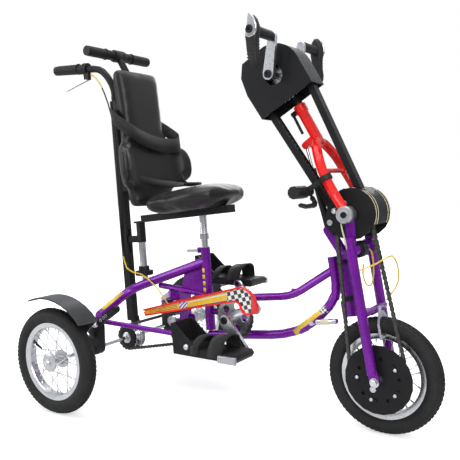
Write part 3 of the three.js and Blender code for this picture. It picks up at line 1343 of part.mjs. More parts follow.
function backrest() {
  const rear = -BACKREST_THICKNESS - GAP;
  const board = plate([
    [rear - BOARD_WALL, ARM_HEIGHT],
    [rear, ARM_HEIGHT],
    [rear, BACKREST_HEIGHT - ARM_HEIGHT],
    [rear - BOARD_WALL, BACKREST_HEIGHT - ARM_HEIGHT],
  ].map(([
    ahead,
    above,
  ]) => asPair(fromBack(ahead, above))), -BACKREST_HALF_WIDTH * 0.7, BACKREST_HALF_WIDTH * 0.7);
  const armShares = [0.14, 0.72];
  const arms = armShares.map((share) => {
    const above = BACKREST_HEIGHT * share;
    const low = fromBack(rear - BOARD_WALL / 2, above);
    const high = fromBack(rear - BOARD_WALL / 2, above + ARM_HEIGHT);
    const postFront = -REAR_POST_BEHIND + REAR_POST_SIZE / 2 + GAP;
    const height = (spot) => spot.clone().sub(flat(SEAT_FOOT)).dot(seatUp);
    return plate([
      asPair(fromSeat(postFront, height(low))),
      asPair(low),
      asPair(high),
      asPair(fromSeat(postFront, height(high))),
    ], -ARM_HALF_WIDTH, ARM_HALF_WIDTH);
  });
  piece(frame, 'backrest_board', join(board, ...arms, tBar()), BLACK);

  const half = BACKREST_THICKNESS / 2;
  const rings = pad(BACKREST_HEIGHT, BACKREST_HALF_WIDTH, half, half, (share) => {
    const round = Math.sqrt(Math.max(0, 1 - (2 * share - 1) ** 8));
    const waist = 1 - 0.05 * Math.exp(-(((share - 0.45) / 0.12) ** 2));
    return {
      width: (0.45 + 0.55 * round) * waist,
      lowShare: 0.4 + 0.6 * round,
      highShare: 0.4 + 0.6 * round,
    };
  }, 12, 14);
  const upright = loft(rings.map((ring) => ring.map(({ x, y, z }) => point(z + half, y, x))));

  const wings = Object.values(SIDES).map((sign) => {
    const wingRings = pad(WING_LENGTH, WING_HEIGHT / 2, WING_THICKNESS / 2, WING_THICKNESS / 2, (share) => {
      const round = Math.sqrt(Math.max(0, 1 - share ** 4));
      return { width: 0.4 + 0.6 * round, lowShare: 0.4 + 0.6 * round, highShare: 0.4 + 0.6 * round };
    }, 6, 10);
    const out = BACKREST_HALF_WIDTH + WING_THICKNESS / 4;
    return loft(wingRings.map((ring) => ring.map(({ x, y, z }) => point(
      x + half / 2,
      sign * (out + z),
      WING_ABOVE + WING_HEIGHT / 2 + y,
    ))));
  });
  piece(backGroup, 'backrest', join(upright, ...wings), VINYL);

  const beltHalf = BACKREST_HALF_WIDTH + GAP;
  const outerDepth = BACKREST_THICKNESS + BELT_THICKNESS + GAP;
  const belt = cut(
    box(
      0,
      outerDepth,
      -beltHalf - BELT_THICKNESS,
      beltHalf + BELT_THICKNESS,
      BELT_ABOVE,
      BELT_ABOVE + BELT_WIDTH,
    ),
    box(
      -OVERRUN,
      BACKREST_THICKNESS + GAP,
      -beltHalf,
      beltHalf,
      BELT_ABOVE - OVERRUN,
      BELT_ABOVE + BELT_WIDTH + OVERRUN,
    ),
  );
  piece(backGroup, 'chest_belt', belt, BLACK);
}

function handles() {
  const base = fromSeat(-REAR_POST_BEHIND, REAR_POST_HIGH + GAP);
  const riser = base.clone().addScaledVector(seatUp, PUSH_TUBE_RADIUS * 4);
  const route = rounded([base, riser, flat(PUSH_CORNER), flat(PUSH_END)], PUSH_TUBE_RADIUS * 3);
  const direction = flat(PUSH_END).sub(flat(PUSH_CORNER)).normalize();
  const gripStart = flat(PUSH_END).addScaledVector(direction, -PUSH_GRIP_LENGTH);
  const collar = rod(base, base.clone().addScaledVector(seatUp, COLLAR_HEIGHT), REAR_POST_SIZE / 2);
  const grip = rod(gripStart, flat(PUSH_END), PUSH_GRIP_RADIUS);
  const bracketAt = (share) => flat(PUSH_CORNER).lerp(gripStart, share);
  const bracketShare = 0.8;
  const clampBand = rod(
    bracketAt(bracketShare),
    gripStart.clone().addScaledVector(direction, -GAP),
    PUSH_GRIP_RADIUS + GAP,
  );
  const ear = plate(
    barOutline(bracketAt(bracketShare), PUSH_GRIP_RADIUS / 2, BRAKE_PIVOT, PUSH_GRIP_RADIUS / 2),
    -PLATE_WALL / 2,
    PLATE_WALL / 2,
    [{ ...BRAKE_PIVOT, radius: PLATE_WALL, sides: SMALL_SIDES }],
  );
  piece(frame, 'push_handle', join(sweep(route, PUSH_TUBE_RADIUS), collar, grip, clampBand, ear), BLACK);

  const inner = PLATE_WALL / 2 + GAP;
  const cheek = (sign) => plate(
    barOutline(BRAKE_PIVOT, PUSH_GRIP_RADIUS / 2, BRAKE_BLADE_END, PLATE_WALL),
    ...span(sign, inner, inner + PLATE_WALL),
  );
  const bridgeAt = { x: (BRAKE_PIVOT.x + BRAKE_BLADE_END.x) / 2, z: (BRAKE_PIVOT.z + BRAKE_BLADE_END.z) / 2 };
  const web = plate(
    barOutline(bridgeAt, PLATE_WALL, BRAKE_BLADE_END, PLATE_WALL),
    -inner - PLATE_WALL / 2,
    inner + PLATE_WALL / 2,
  );
  const pin = crossBar(
    BRAKE_PIVOT,
    -inner - PLATE_WALL,
    inner + PLATE_WALL,
    PLATE_WALL - 2 * GAP,
    SMALL_SIDES,
  );
  piece(frame, 'push_brake_lever', join(cheek(-1), cheek(1), web, pin), SILVER);
}

// The push bar stands on a bent stem behind the board.
function tBar() {
  const bar = crossBar(T_BAR, -T_BAR_HALF_WIDTH, T_BAR_HALF_WIDTH, T_BAR_RADIUS);
  const grips = [-1, 1].map((sign) => crossBar(
    T_BAR,
    ...span(sign, T_BAR_GRIP_INNER, T_BAR_HALF_WIDTH + OVERRUN),
    PUSH_GRIP_RADIUS,
  ));
  const boardRear = -BACKREST_THICKNESS - GAP - BOARD_WALL / 2;
  const stemEnd = fromBack(boardRear, BACKREST_HEIGHT - ARM_HEIGHT * STEM_DROP_SHARE);
  const stemBend = fromBack(boardRear, BACKREST_HEIGHT - ARM_HEIGHT / 2);
  const stem = sweep(rounded([flat(T_BAR), stemBend, stemEnd], T_BAR_RADIUS), T_BAR_RADIUS - GAP);
  const padSpace = plate([
    [-BACKREST_THICKNESS - GAP, -ARM_HEIGHT],
    [BACKREST_THICKNESS, -ARM_HEIGHT],
    [BACKREST_THICKNESS, BACKREST_HEIGHT + GAP],
    [-BACKREST_THICKNESS - GAP, BACKREST_HEIGHT + GAP],
  ].map(([ahead, above]) => asPair(fromBack(ahead, above))), -T_BAR_HALF_WIDTH, T_BAR_HALF_WIDTH);
  return join(bar, ...grips, trim(stem, padSpace));
}

// Foot drive: cranks, chainring and foot plates with heel cups.
function footDrive() {
  const inner = CRANK_ARM_INSET;
  const outer = inner + CRANK_ARM_WALL;
  const armEnd = (sign) => {
    const [x, z] = spoke(CRANK_AXIS, CRANK_ARM_LENGTH, sign < 0 ? CRANK_ARM_DEG : CRANK_ARM_DEG + 180);
    return { x, z };
  };
  const arms = Object.values(SIDES).map((sign) => plate(
    barOutline(CRANK_AXIS, SPINDLE_RADIUS * ARM_BOSS_SHARE, armEnd(sign), SPINDLE_RADIUS * ARM_TIP_SHARE),
    ...span(sign, inner, outer),
    [{ ...armEnd(sign), radius: PEDAL_RADIUS, sides: TUBE_SIDES }],
  ));
  const spindle = crossBar(CRANK_AXIS, -outer, outer, SPINDLE_RADIUS);
  const ringRadius = pitchRadius(FOOT_TEETH);
  const holes = Array.from({ length: DISC_HOLE_COUNT }, (_, i) => {
    const [x, z] = spoke(CRANK_AXIS, ringRadius * SPIDER_HOLE_PLACE_SHARE, (360 * i) / DISC_HOLE_COUNT);
    return { x, z, radius: ringRadius * TOE_AND_HOLE_SHARE };
  });
  const ring = sprocket(CRANK_AXIS, REAR_CHAIN_Y, FOOT_TEETH, SPROCKET_WALL, holes);
  const boss = crossBar(
    CRANK_AXIS,
    -inner,
    REAR_CHAIN_Y + SPROCKET_WALL * 2,
    SPINDLE_RADIUS * SPIDER_BOSS_SHARE,
  );
  piece(frame, 'foot_crank', join(...arms, spindle, ring, boss), SILVER);

  Object.entries(SIDES).forEach(([name, sign]) => {
    const end = armEnd(sign);
    const middle = PEDAL_INSET;
    const heel = end.x - PEDAL_FOOT_LENGTH * HEEL_SHARE;
    const toe = end.x + PEDAL_FOOT_LENGTH * TOE_AND_HOLE_SHARE;
    const soleLow = end.z - PEDAL_RADIUS * SOLE_WALL_SHARE;
    const soleHigh = end.z + PEDAL_RADIUS * SOLE_WALL_SHARE;
    const from = middle - PEDAL_HALF_WIDTH;
    const to = middle + PEDAL_HALF_WIDTH;
    const sole = plate([
      [heel, soleLow],
      [toe - PEDAL_RADIUS, soleLow],
      [toe, end.z],
      [toe - PEDAL_RADIUS, soleHigh],
      [heel, soleHigh],
    ], ...span(sign, from, to));
    const cupSide = (inset) => plate([
      [heel, soleLow],
      [heel + PEDAL_HALF_WIDTH * 2, soleHigh],
      [heel + PEDAL_HALF_WIDTH, soleHigh + HEEL_HEIGHT * HEEL_FLANK_SHARE],
      [heel + PEDAL_RADIUS, soleHigh + HEEL_HEIGHT],
      [heel - PEDAL_RADIUS, soleHigh + HEEL_HEIGHT],
    ], ...span(sign, inset, inset + PLATE_WALL));
    const back = plate([
      [heel, soleLow],
      [heel + PLATE_WALL, soleLow],
      [heel + PLATE_WALL - PEDAL_RADIUS, soleHigh + HEEL_HEIGHT],
      [heel - PEDAL_RADIUS, soleHigh + HEEL_HEIGHT],
    ], ...span(sign, from, to));
    const axle = crossBar(end, ...span(sign, inner, from + PEDAL_RADIUS), PEDAL_RADIUS - 2 * GAP);
    const solid = join(sole, cupSide(from), cupSide(to - PLATE_WALL), back, axle);
    piece(frame, `${name}_foot_plate`, solid, BLACK);
  });

  const loop = chainLoop(
    CRANK_AXIS,
    pitchRadius(FOOT_TEETH),
    rearAxle,
    pitchRadius(REAR_TEETH),
    HAND_PIN_SPACING * CHAIN_PITCH,
    9,
  );
  piece(frame, 'rear_chain', chainSolid(loop, REAR_CHAIN_Y, false), STEEL);
}

// The guard is a long tapering panel with a raised rim, widest over the chainring.
function chainGuard() {
  const edge = new THREE.Shape();
  GUARD_EDGE.forEach(({ bend, x, z }, i) => {
    if (i === 0) edge.moveTo(x, z);
    else if (bend) edge.quadraticCurveTo(bend.x, bend.z, x, z);
    else edge.lineTo(x, z);
  });
  edge.closePath();
  const outline = edge.getPoints(GUARD_BEND_STEPS).slice(0, -1).map((spot) => [spot.x, spot.y]);
  const inset = outline.map(([x, z], i) => {
    const [px, pz] = outline[(i + outline.length - 1) % outline.length];
    const [nx, nz] = outline[(i + 1) % outline.length];
    const tangent = new THREE.Vector2(nx - px, nz - pz).normalize();
    return [x - tangent.y * GUARD_RIM_WALL, z + tangent.x * GUARD_RIM_WALL];
  });
  const body = plate(outline, GUARD_Y, GUARD_Y + GUARD_RIM_DEPTH);
  const tray = plate(inset, GUARD_Y - OVERRUN, GUARD_Y + GUARD_RIM_DEPTH - GUARD_WALL);
  const stay = (x, z, toY) => rod(
    point(x, GUARD_Y + GUARD_RIM_DEPTH - GUARD_WALL, z),
    point(x, toY, z),
    PLATE_WALL,
    BOLT_SIDES,
  );
  const stays = [
    stay(GUARD_REAR_STAY.x, GUARD_REAR_STAY.z, -HUB_BODY),
    stay(GUARD_FRONT_STAY.x, GUARD_FRONT_STAY.z, 0),
  ];
  return join(cut(body, tray), ...stays);
}

function guardPiece() {
  const braceSpace = rod(flat(BRACE_START), flat(BRACE_END), BRACE_RADIUS + GAP);
  piece(frame, 'chain_guard', trim(chainGuard(), seatTubeSpace, braceSpace), RED);
}

// Fork: two straight legs, the upper cross tube, the bridge over the tyre and the yoke.
function fork() {
  const { ahead: jackX, above: jackZ } = JACKSHAFT;
  const jack = { x: jackX, z: jackZ };
  const legs = Object.values(SIDES).flatMap((sign) => {
    const y = sign * FORK_HALF_WIDTH;
    const leg = rod(
      point(FORK_AHEAD, y, frontAxle.z + FORK_LEG_RADIUS * LEG_END_SHARE),
      point(FORK_AHEAD, y, FORK_LEG_TOP),
      FORK_LEG_RADIUS,
    );
    const dropout = plate(
      barOutline(
        { x: FORK_AHEAD, z: frontAxle.z + FORK_LEG_RADIUS * 3 },
        FORK_LEG_RADIUS * DROPOUT_NECK_SHARE,
        frontAxle,
        FORK_LEG_RADIUS,
      ),
      y - DROPOUT_WALL / 2,
      y + DROPOUT_WALL / 2,
      [{ ...frontAxle, radius: AXLE_RADIUS + 2 * GAP, sides: TUBE_SIDES }],
    );
    const tongue = plate(
      barOutline(
        jack,
        TONGUE_RADIUS,
        { x: FORK_AHEAD, z: FORK_LEG_TOP - FORK_LEG_RADIUS * 2 },
        TONGUE_RADIUS * TONGUE_NECK_SHARE,
      ),
      ...span(sign, TONGUE_INSET, TONGUE_INSET + TONGUE_WALL),
      [{ ...jack, radius: AXLE_RADIUS + 2 * GAP, sides: TUBE_SIDES }],
    );
    return [leg, dropout, tongue];
  });
  const cross = crossBar(
    { x: CROSS_TUBE.ahead, z: CROSS_TUBE.above },
    -FORK_HALF_WIDTH,
    FORK_HALF_WIDTH,
    CROSS_TUBE_RADIUS,
  );
  const bridge = crossBar(
    { x: BRIDGE.ahead, z: BRIDGE.above },
    -FORK_HALF_WIDTH,
    FORK_HALF_WIDTH,
    BRIDGE_RADIUS,
  );
  const yokeTop = -HEAD_TUBE_LENGTH - HEAD_BEARING_HEIGHT - GAP;
  const half = HEAD_TUBE_RADIUS * TONGUE_NECK_SHARE;
  const yoke = join(
    box(YOKE_BACK, half, -half, half, YOKE_LOW, yokeTop),
    box(0, BRIDGE.ahead, -half, half, YOKE_LOW, YOKE_LOW + half),
  );
  const topPlateLow = GAP + HEAD_BEARING_HEIGHT / 2;
  const topPlate = box(
    0,
    CROSS_TUBE.ahead,
    -half,
    half,
    CROSS_TUBE.above - CROSS_TUBE_RADIUS * TOP_PLATE_SHARE,
    CROSS_TUBE.above,
  );
  const kingpin = join(
    rod(point(0, 0, YOKE_LOW + half), point(0, 0, CROSS_TUBE.above), KINGPIN_RADIUS),
    rod(point(0, 0, topPlateLow), point(0, 0, CROSS_TUBE.above), half),
  );
  const strutPin = { x: STRUT_LOW.ahead, z: STRUT_LOW.above };
  const cheekOutline = barOutline(
    strutPin,
    STRUT_EYE_RADIUS,
    { x: 0, z: CROSS_TUBE.above },
    STRUT_EYE_RADIUS * DROPOUT_NECK_SHARE,
  );
  const cheekInset = STRUT_RADIUS + GAP;
  const cheeks = Object.values(SIDES).map((sign) =>
    plate(cheekOutline, ...span(sign, cheekInset, cheekInset + PLATE_WALL)));
  const strutBolt = crossBar(
    strutPin,
    -cheekInset - PLATE_WALL,
    cheekInset + PLATE_WALL,
    STRUT_PIN_RADIUS,
    SMALL_SIDES,
  );
  const bearing = rod(
    point(0, 0, -HEAD_TUBE_LENGTH - HEAD_BEARING_HEIGHT - OVERRUN),
    point(0, 0, -HEAD_TUBE_LENGTH - GAP),
    HEAD_TUBE_RADIUS,
  );
  const caliperBolt = rod(
    point(BRIDGE.ahead, 0, BRIDGE.above),
    point(BRIDGE.ahead + BRIDGE_RADIUS + CALIPER_DEPTH * 2 + CALIPER_BOLT_RADIUS, 0, BRIDGE.above),
    CALIPER_BOLT_RADIUS,
    SMALL_SIDES,
  );
  const collarCentre = { x: CROSS_TUBE.ahead, z: CROSS_TUBE.above };
  const collars = [
    crossBar(collarCentre, half + GAP, FORK_HALF_WIDTH / 2 + OVERRUN, CROSS_COLLAR_RADIUS),
    crossBar(collarCentre, half, FORK_HALF_WIDTH * TOP_PLATE_SHARE, CROSS_COLLAR_RADIUS * SMALL_COLLAR_SHARE),
  ];
  piece(
    steering,
    'fork',
    join(
      ...legs,
      cross,
      bridge,
      yoke,
      topPlate,
      kingpin,
      ...cheeks,
      strutBolt,
      caliperBolt,
      bearing,
      ...collars,
    ),
    PURPLE,
  );
}

function frontWheel() {
  const place = point(frontAxle.x, 0, frontAxle.z);
  const bare = wheelSolid(AXLE_RADIUS - OVERRUN);
  const end = FORK_HALF_WIDTH + DROPOUT_WALL * 2;
  const axle = rod(point(0, -end, 0), point(0, end, 0), AXLE_RADIUS);
  const boss = rod(point(0, DISC_Y + DISC_WALL + GAP, 0), point(0, 0, 0), HUB_BODY_RADIUS);
  piece(steering, 'front_wheel', join(bare, axle, boss), SILVER, place);
  piece(steering, 'front_tyre', tyreSolid(), RUBBER, place);

  const centre = { x: 0, z: 0 };
  const discHoles = Array.from({ length: DISC_HOLE_COUNT }, (_, i) => {
    const [x, z] = spoke(centre, DISC_RADIUS * DISC_BOLT_PLACE_SHARE, (360 * i) / DISC_HOLE_COUNT);
    return { x, z, radius: DISC_RADIUS * DISC_BOLT_SHARE, sides: BOLT_SIDES };
  });
  const axleHole = { x: 0, z: 0, radius: AXLE_RADIUS + 2 * GAP, sides: TUBE_SIDES };
  const disc = plate(polygon(
    DISC_RADIUS,
    2 * TUBE_SIDES,
  ).map(({ x, y }) => [x, y]), DISC_Y, DISC_Y + DISC_WALL, [
    axleHole,
    ...discHoles,
  ]);
  const bolts = Array.from({ length: DISC_HOLE_COUNT }, (_, i) => {
    const [x, z] = spoke(centre, DISC_RADIUS * DISC_BOLT_PLACE_SHARE, (360 * (i + 1 / 2)) / DISC_HOLE_COUNT);
    return rod(
      point(x, DISC_Y - DISC_WALL, z),
      point(x, FRONT_CHAIN_Y, z),
      DISC_RADIUS * DISC_BOLT_SHARE,
      BOLT_SIDES,
    );
  });
  const bore = rod(point(0, DISC_Y - OVERRUN * 2, 0), point(0, 0, 0), HUB_BODY_RADIUS + GAP * 2);
  const teeth = cut(sprocket(centre, FRONT_CHAIN_Y, FRONT_TEETH, SPROCKET_WALL), bore);
  piece(steering, 'drive_disc', join(cut(disc, bore), teeth, ...bolts), BLACK, place);
}

function jackshaft() {
  const { ahead: x, above: z } = JACKSHAFT;
  const centre = { x, z };
  const shaft = crossBar(centre, -JACKSHAFT_HALF_LENGTH, JACKSHAFT_HALF_LENGTH, AXLE_RADIUS);
  const jackTeeth = sprocket(centre, FRONT_CHAIN_Y, JACK_TEETH, SPROCKET_WALL);
  const handTeeth = sprocket(centre, HAND_CHAIN_Y, HAND_JACK_TEETH, SPROCKET_WALL);
  const sleeve = crossBar(centre, FRONT_CHAIN_Y, DRUM_HALF_LENGTH / 2, HUB_BODY_RADIUS);
  piece(steering, 'jackshaft', join(shaft, jackTeeth, handTeeth, sleeve), STEEL);

  const loop = chainLoop(
    frontAxle,
    pitchRadius(FRONT_TEETH),
    centre,
    pitchRadius(JACK_TEETH),
    2 * CHAIN_PITCH,
    9,
  );
  piece(steering, 'front_chain', chainSolid(loop, FRONT_CHAIN_Y, true), STEEL);
}

function caliperBrake() {
  const pivot = point(BRIDGE.ahead + BRIDGE_RADIUS + GAP, 0, BRIDGE.above);
  const depth = CALIPER_DEPTH;
  const rimTop = frontAxle.z + BRAKE_TRACK_ABOVE;
  Object.entries(SIDES).forEach(([name, sign]) => {
    const near = pivot.x + (sign > 0 ? 0 : depth + GAP);
    const shape = (points) => {
      const outline = new THREE.Shape(points.map(([y, z]) => new THREE.Vector2(sign * y, z)));
      const bore = polygon(CALIPER_BOLT_RADIUS + 2 * GAP, SMALL_SIDES).map((spot) =>
        spot.add(new THREE.Vector2(0, BRIDGE.above)));
      outline.holes.push(new THREE.Path(bore));
      const geometry = new THREE.ExtrudeGeometry(outline, { depth, bevelEnabled: false });
      geometry.rotateX(Math.PI / 2);
      geometry.rotateZ(Math.PI / 2);
      geometry.translate(near, 0, 0);
      return geometry;
    };
    const out = TYRE_SECTION / 2 + PLATE_WALL * 2;
    const padOut = RIM_WIDTH / 2 + BRAKE_PAD_GAP;
    const geometry = shape([
      [-PLATE_WALL * 2, BRIDGE.above - PLATE_WALL * CALIPER_SIDE_SHARE],
      [PLATE_WALL, BRIDGE.above - PLATE_WALL * 2],
      [out, BRIDGE.above - out],
      [out, rimTop + PLATE_WALL],
      [padOut, rimTop + PLATE_WALL],
      [padOut, rimTop - PLATE_WALL],
      [out + PLATE_WALL * 2, rimTop - PLATE_WALL],
      [out + PLATE_WALL * 2, BRIDGE.above - out],
      [PLATE_WALL * 2, BRIDGE.above + PLATE_WALL * 2],
      [-PLATE_WALL * 2, BRIDGE.above + PLATE_WALL * 2],
    ]);
    piece(steering, `${name}_brake_arm`, toSolid(geometry), SILVER);
  });
}

// Mast: two bowed legs stand on their pivot barrels and meet in a crown under the steerer.
const origin = { x: 0, z: 0 };
const mastLegRoute = (sign) => smooth([
  point(0, sign * MAST_HALF_WIDTH, MAST_FOOT_RADIUS / 2),
  point(-MAST_LEG_RADIUS / 4, sign * MAST_HALF_WIDTH, MAST_CROWN * CROWN_NECK_SHARE),
  point(-MAST_LEG_RADIUS / 4, sign * MAST_HALF_WIDTH * LEG_BEND_OUT_SHARE, MAST_CROWN * LEG_BEND_UP_SHARE),
  point(0, sign * MAST_HALF_WIDTH * LEG_SHOULDER_OUT_SHARE, MAST_CROWN * LEG_SHOULDER_UP_SHARE),
  point(0, sign * MAST_HALF_WIDTH * CROWN_NECK_SHARE, MAST_CROWN * LEG_TOP_SHARE),
  point(0, 0, MAST_CROWN),
], 10);
const barrelSpan = (sign) => span(
  sign,
  TONGUE_INSET + TONGUE_WALL + 2 * GAP,
  TONGUE_INSET + TONGUE_WALL + 2 * GAP + MAST_FOOT_LENGTH,
);

function mastPieces() {
  const legs = Object.values(SIDES).map((sign) => sweep(mastLegRoute(sign), MAST_LEG_RADIUS, SMALL_SIDES));
  const steerer = join(
    rod(point(0, 0, MAST_CROWN - MAST_LEG_RADIUS), point(0, 0, STEERER_TOP), STEERER_RADIUS),
    rod(point(0, 0, STEERER_TOP - STEERER_COLLAR_HEIGHT), point(0, 0, STEERER_TOP), STEERER_COLLAR_RADIUS),
  );
  const bore = rod(
    point(0, 0, MAST_CROWN + STEERER_RADIUS),
    point(0, 0, STEERER_TOP + OVERRUN),
    INNER_MAST_RADIUS + 2 * GAP,
  );
  const strutPin = { x: STRUT_TOP.ahead, z: STRUT_TOP.above };
  const tabs = Object.values(SIDES).map((sign) => plate(
    barOutline(
      strutPin,
      STRUT_EYE_RADIUS * TAB_END_SHARE,
      { x: 0, z: STRUT_TOP.above },
      STEERER_RADIUS * TAB_END_SHARE,
    ),
    ...span(sign, STRUT_RADIUS - OVERRUN, STRUT_RADIUS + OVERRUN),
  ));
  const pin = crossBar(strutPin, -STRUT_RADIUS, STRUT_RADIUS, STRUT_PIN_RADIUS, SMALL_SIDES);
  const crossHeight = mastLegRoute(1)[5].z;
  const bar = rod(
    point(-MAST_LEG_RADIUS / 4, -MAST_HALF_WIDTH * CROSS_BAR_SHARE, crossHeight),
    point(-MAST_LEG_RADIUS / 4, MAST_HALF_WIDTH * CROSS_BAR_SHARE, crossHeight),
    PLATE_WALL * CROSS_BAR_RADIUS_SHARE,
    SMALL_SIDES,
  );
  const barrels = Object.values(SIDES).map((sign) => {
    const [from, to] = barrelSpan(sign);
    const [inner, outer] = sign < 0 ? [to, from] : [from, to];
    return turned([
      [0, inner],
      [MAST_FOOT_RADIUS, inner],
      [MAST_FOOT_RADIUS, outer],
      [MAST_FOOT_RADIUS * BARREL_BORE_SHARE, outer],
      [MAST_FOOT_RADIUS * BARREL_BORE_SHARE, outer - sign * PLATE_WALL],
      [0, outer - sign * PLATE_WALL],
    ], TUBE_SIDES);
  });
  const body = cut(
    join(...legs, steerer, ...tabs, pin, bar, ...barrels),
    bore,
    crossBar(origin, -JACKSHAFT_HALF_LENGTH, JACKSHAFT_HALF_LENGTH, AXLE_RADIUS + 2 * GAP),
  );
  piece(mast, 'mast', body, RED);

  const shellSpan = [HAND_CHAIN_Y + SPROCKET_WALL * 4, HOUSING_FAR - HOUSING_WALL - GAP];
  const crank = { x: 0, z: HAND_CRANK_UP };
  const inner = cut(
    join(
      rod(point(0, 0, MAST_CROWN + STEERER_RADIUS + OVERRUN), point(0, 0, HAND_CRANK_UP), INNER_MAST_RADIUS),
      crossBar(crank, ...shellSpan, SHELL_RADIUS * CROSS_BAR_SHARE),
      crossBar(crank, shellSpan[1] - HOUSING_WALL, shellSpan[1], HUB_FLANGE_RADIUS + HOUSING_WALL * 2),
    ),
    crossBar(crank, -SHELL_RADIUS * 2, SHELL_RADIUS * 2, HAND_SPINDLE_RADIUS + 2 * GAP),
  );
  piece(mast, 'inner_mast', inner, BLACK);

  const clampHeight = STEERER_TOP - STEERER_COLLAR_HEIGHT / 2;
  const lever = join(
    rod(
      point(-STEERER_COLLAR_RADIUS * Math.cos(Math.PI / TUBE_SIDES) - GAP, 0, clampHeight),
      point(-STEERER_COLLAR_RADIUS * CLAMP_REACH_SHARE, 0, clampHeight),
      PLATE_WALL * CLAMP_REACH_SHARE,
    ),
    rod(
      point(-STEERER_COLLAR_RADIUS * LEVER_ROOT_SHARE, 0, clampHeight),
      point(
        -STEERER_COLLAR_RADIUS * LEVER_TIP_SHARE,
        -HUB_BODY_RADIUS,
        clampHeight - STEERER_COLLAR_HEIGHT * 3,
      ),
      PLATE_WALL,
      SMALL_SIDES,
    ),
  );
  piece(mast, 'mast_clamp_lever', lever, BLACK);
}

const housingOutline = (offset) => {
  const low = HOUSING_LOW;
  const rear = HOUSING_REAR - offset;
  const top = HAND_CRANK_UP + HOUSING_TOP - offset;
  return [
    ...arc(0, HAND_CRANK_UP, HOUSING_RADIUS - offset, 0, 92, 8),
    [-HOUSING_TOP * HOUSING_CORNER_SHARE, top],
    [-rear * HOUSING_SHOULDER_SHARE, top - HOUSING_TOP * HOUSING_SHOULDER_DROP_SHARE],
    [-rear, HAND_CRANK_UP],
    [-rear * HOUSING_FOOT_SHARE, low - (offset ? OVERRUN : 0)],
    [HOUSING_RADIUS - offset, low - (offset ? OVERRUN : 0)],
  ];
};

function crankHousing() {
  const crank = { x: 0, z: HAND_CRANK_UP, radius: HUB_FLANGE_RADIUS, sides: TUBE_SIDES };
  const outer = plate(housingOutline(0), HOUSING_NEAR, HOUSING_FAR, [crank]);
  const inner = plate(housingOutline(HOUSING_WALL), HOUSING_NEAR + HOUSING_WALL, HOUSING_FAR - HOUSING_WALL);
  piece(mast, 'crank_housing', cut(outer, inner), BLACK);
}

const HOUSING_TAB = {
  rear: HOUSING_REAR * HOUSING_FOOT_SHARE - HOUSING_WALL - 2 * GAP,
  front: HOUSING_RADIUS - HOUSING_WALL - GAP,
};

function chainChannels() {
  const top = HOUSING_LOW + CHANNEL_CHEEK * 3;
  const bottom = DRUM_RADIUS * CHANNEL_END_SHARE;
  const run = (height, sign) => {
    const share = height / HAND_CRANK_UP;
    return sign * (pitchRadius(HAND_JACK_TEETH) * (1 - share) + pitchRadius(HAND_TEETH) * share);
  };
  Object.entries({ rear: -1, front: 1 }).forEach(([name, sign]) => {
    const slack = CHAIN_PLATE_HALF_HEIGHT * 2;
    const cheekDepth = CHAIN_PLATE_HALF_HEIGHT * CHEEK_DEPTH_SHARE;
    const line = (offset) => [
      [run(bottom, sign) + sign * offset, bottom],
      [run(top, sign) + sign * offset, top],
    ];
    const outer = line(slack + CHANNEL_CHEEK);
    const web = line(slack);
    const lip = line(-cheekDepth / 2);
    const body = plate([...outer, ...[...lip].reverse()], CHANNEL_NEAR, CHANNEL_FAR);
    const inside = plate([
      [web[0][0], bottom - OVERRUN],
      [web[1][0], top + OVERRUN],
      [web[1][0] - sign * slack * 5, top + OVERRUN],
      [web[0][0] - sign * slack * 5, bottom - OVERRUN],
    ], CHANNEL_NEAR + CHANNEL_CHEEK, CHANNEL_FAR - CHANNEL_CHEEK);
    const wall = HOUSING_TAB[name];
    const tab = plate([
      [outer[1][0] - sign * CHANNEL_CHEEK, top + CHANNEL_CHEEK],
      [sign * wall, top + CHANNEL_CHEEK],
      [sign * wall, top + CHANNEL_CHEEK * 4],
      [outer[1][0] - sign * CHANNEL_CHEEK, top + CHANNEL_CHEEK * 4],
    ], CHANNEL_NEAR, CHANNEL_FAR);
    const drumSpace = crossBar(
      origin,
      CHANNEL_NEAR * 2,
      -CHANNEL_NEAR,
      DRUM_RADIUS + 3 * GAP,
      2 * TUBE_SIDES,
    );
    piece(mast, `${name}_chain_channel`, trim(join(cut(body, inside), tab), drumSpace), BLACK);
  });
}

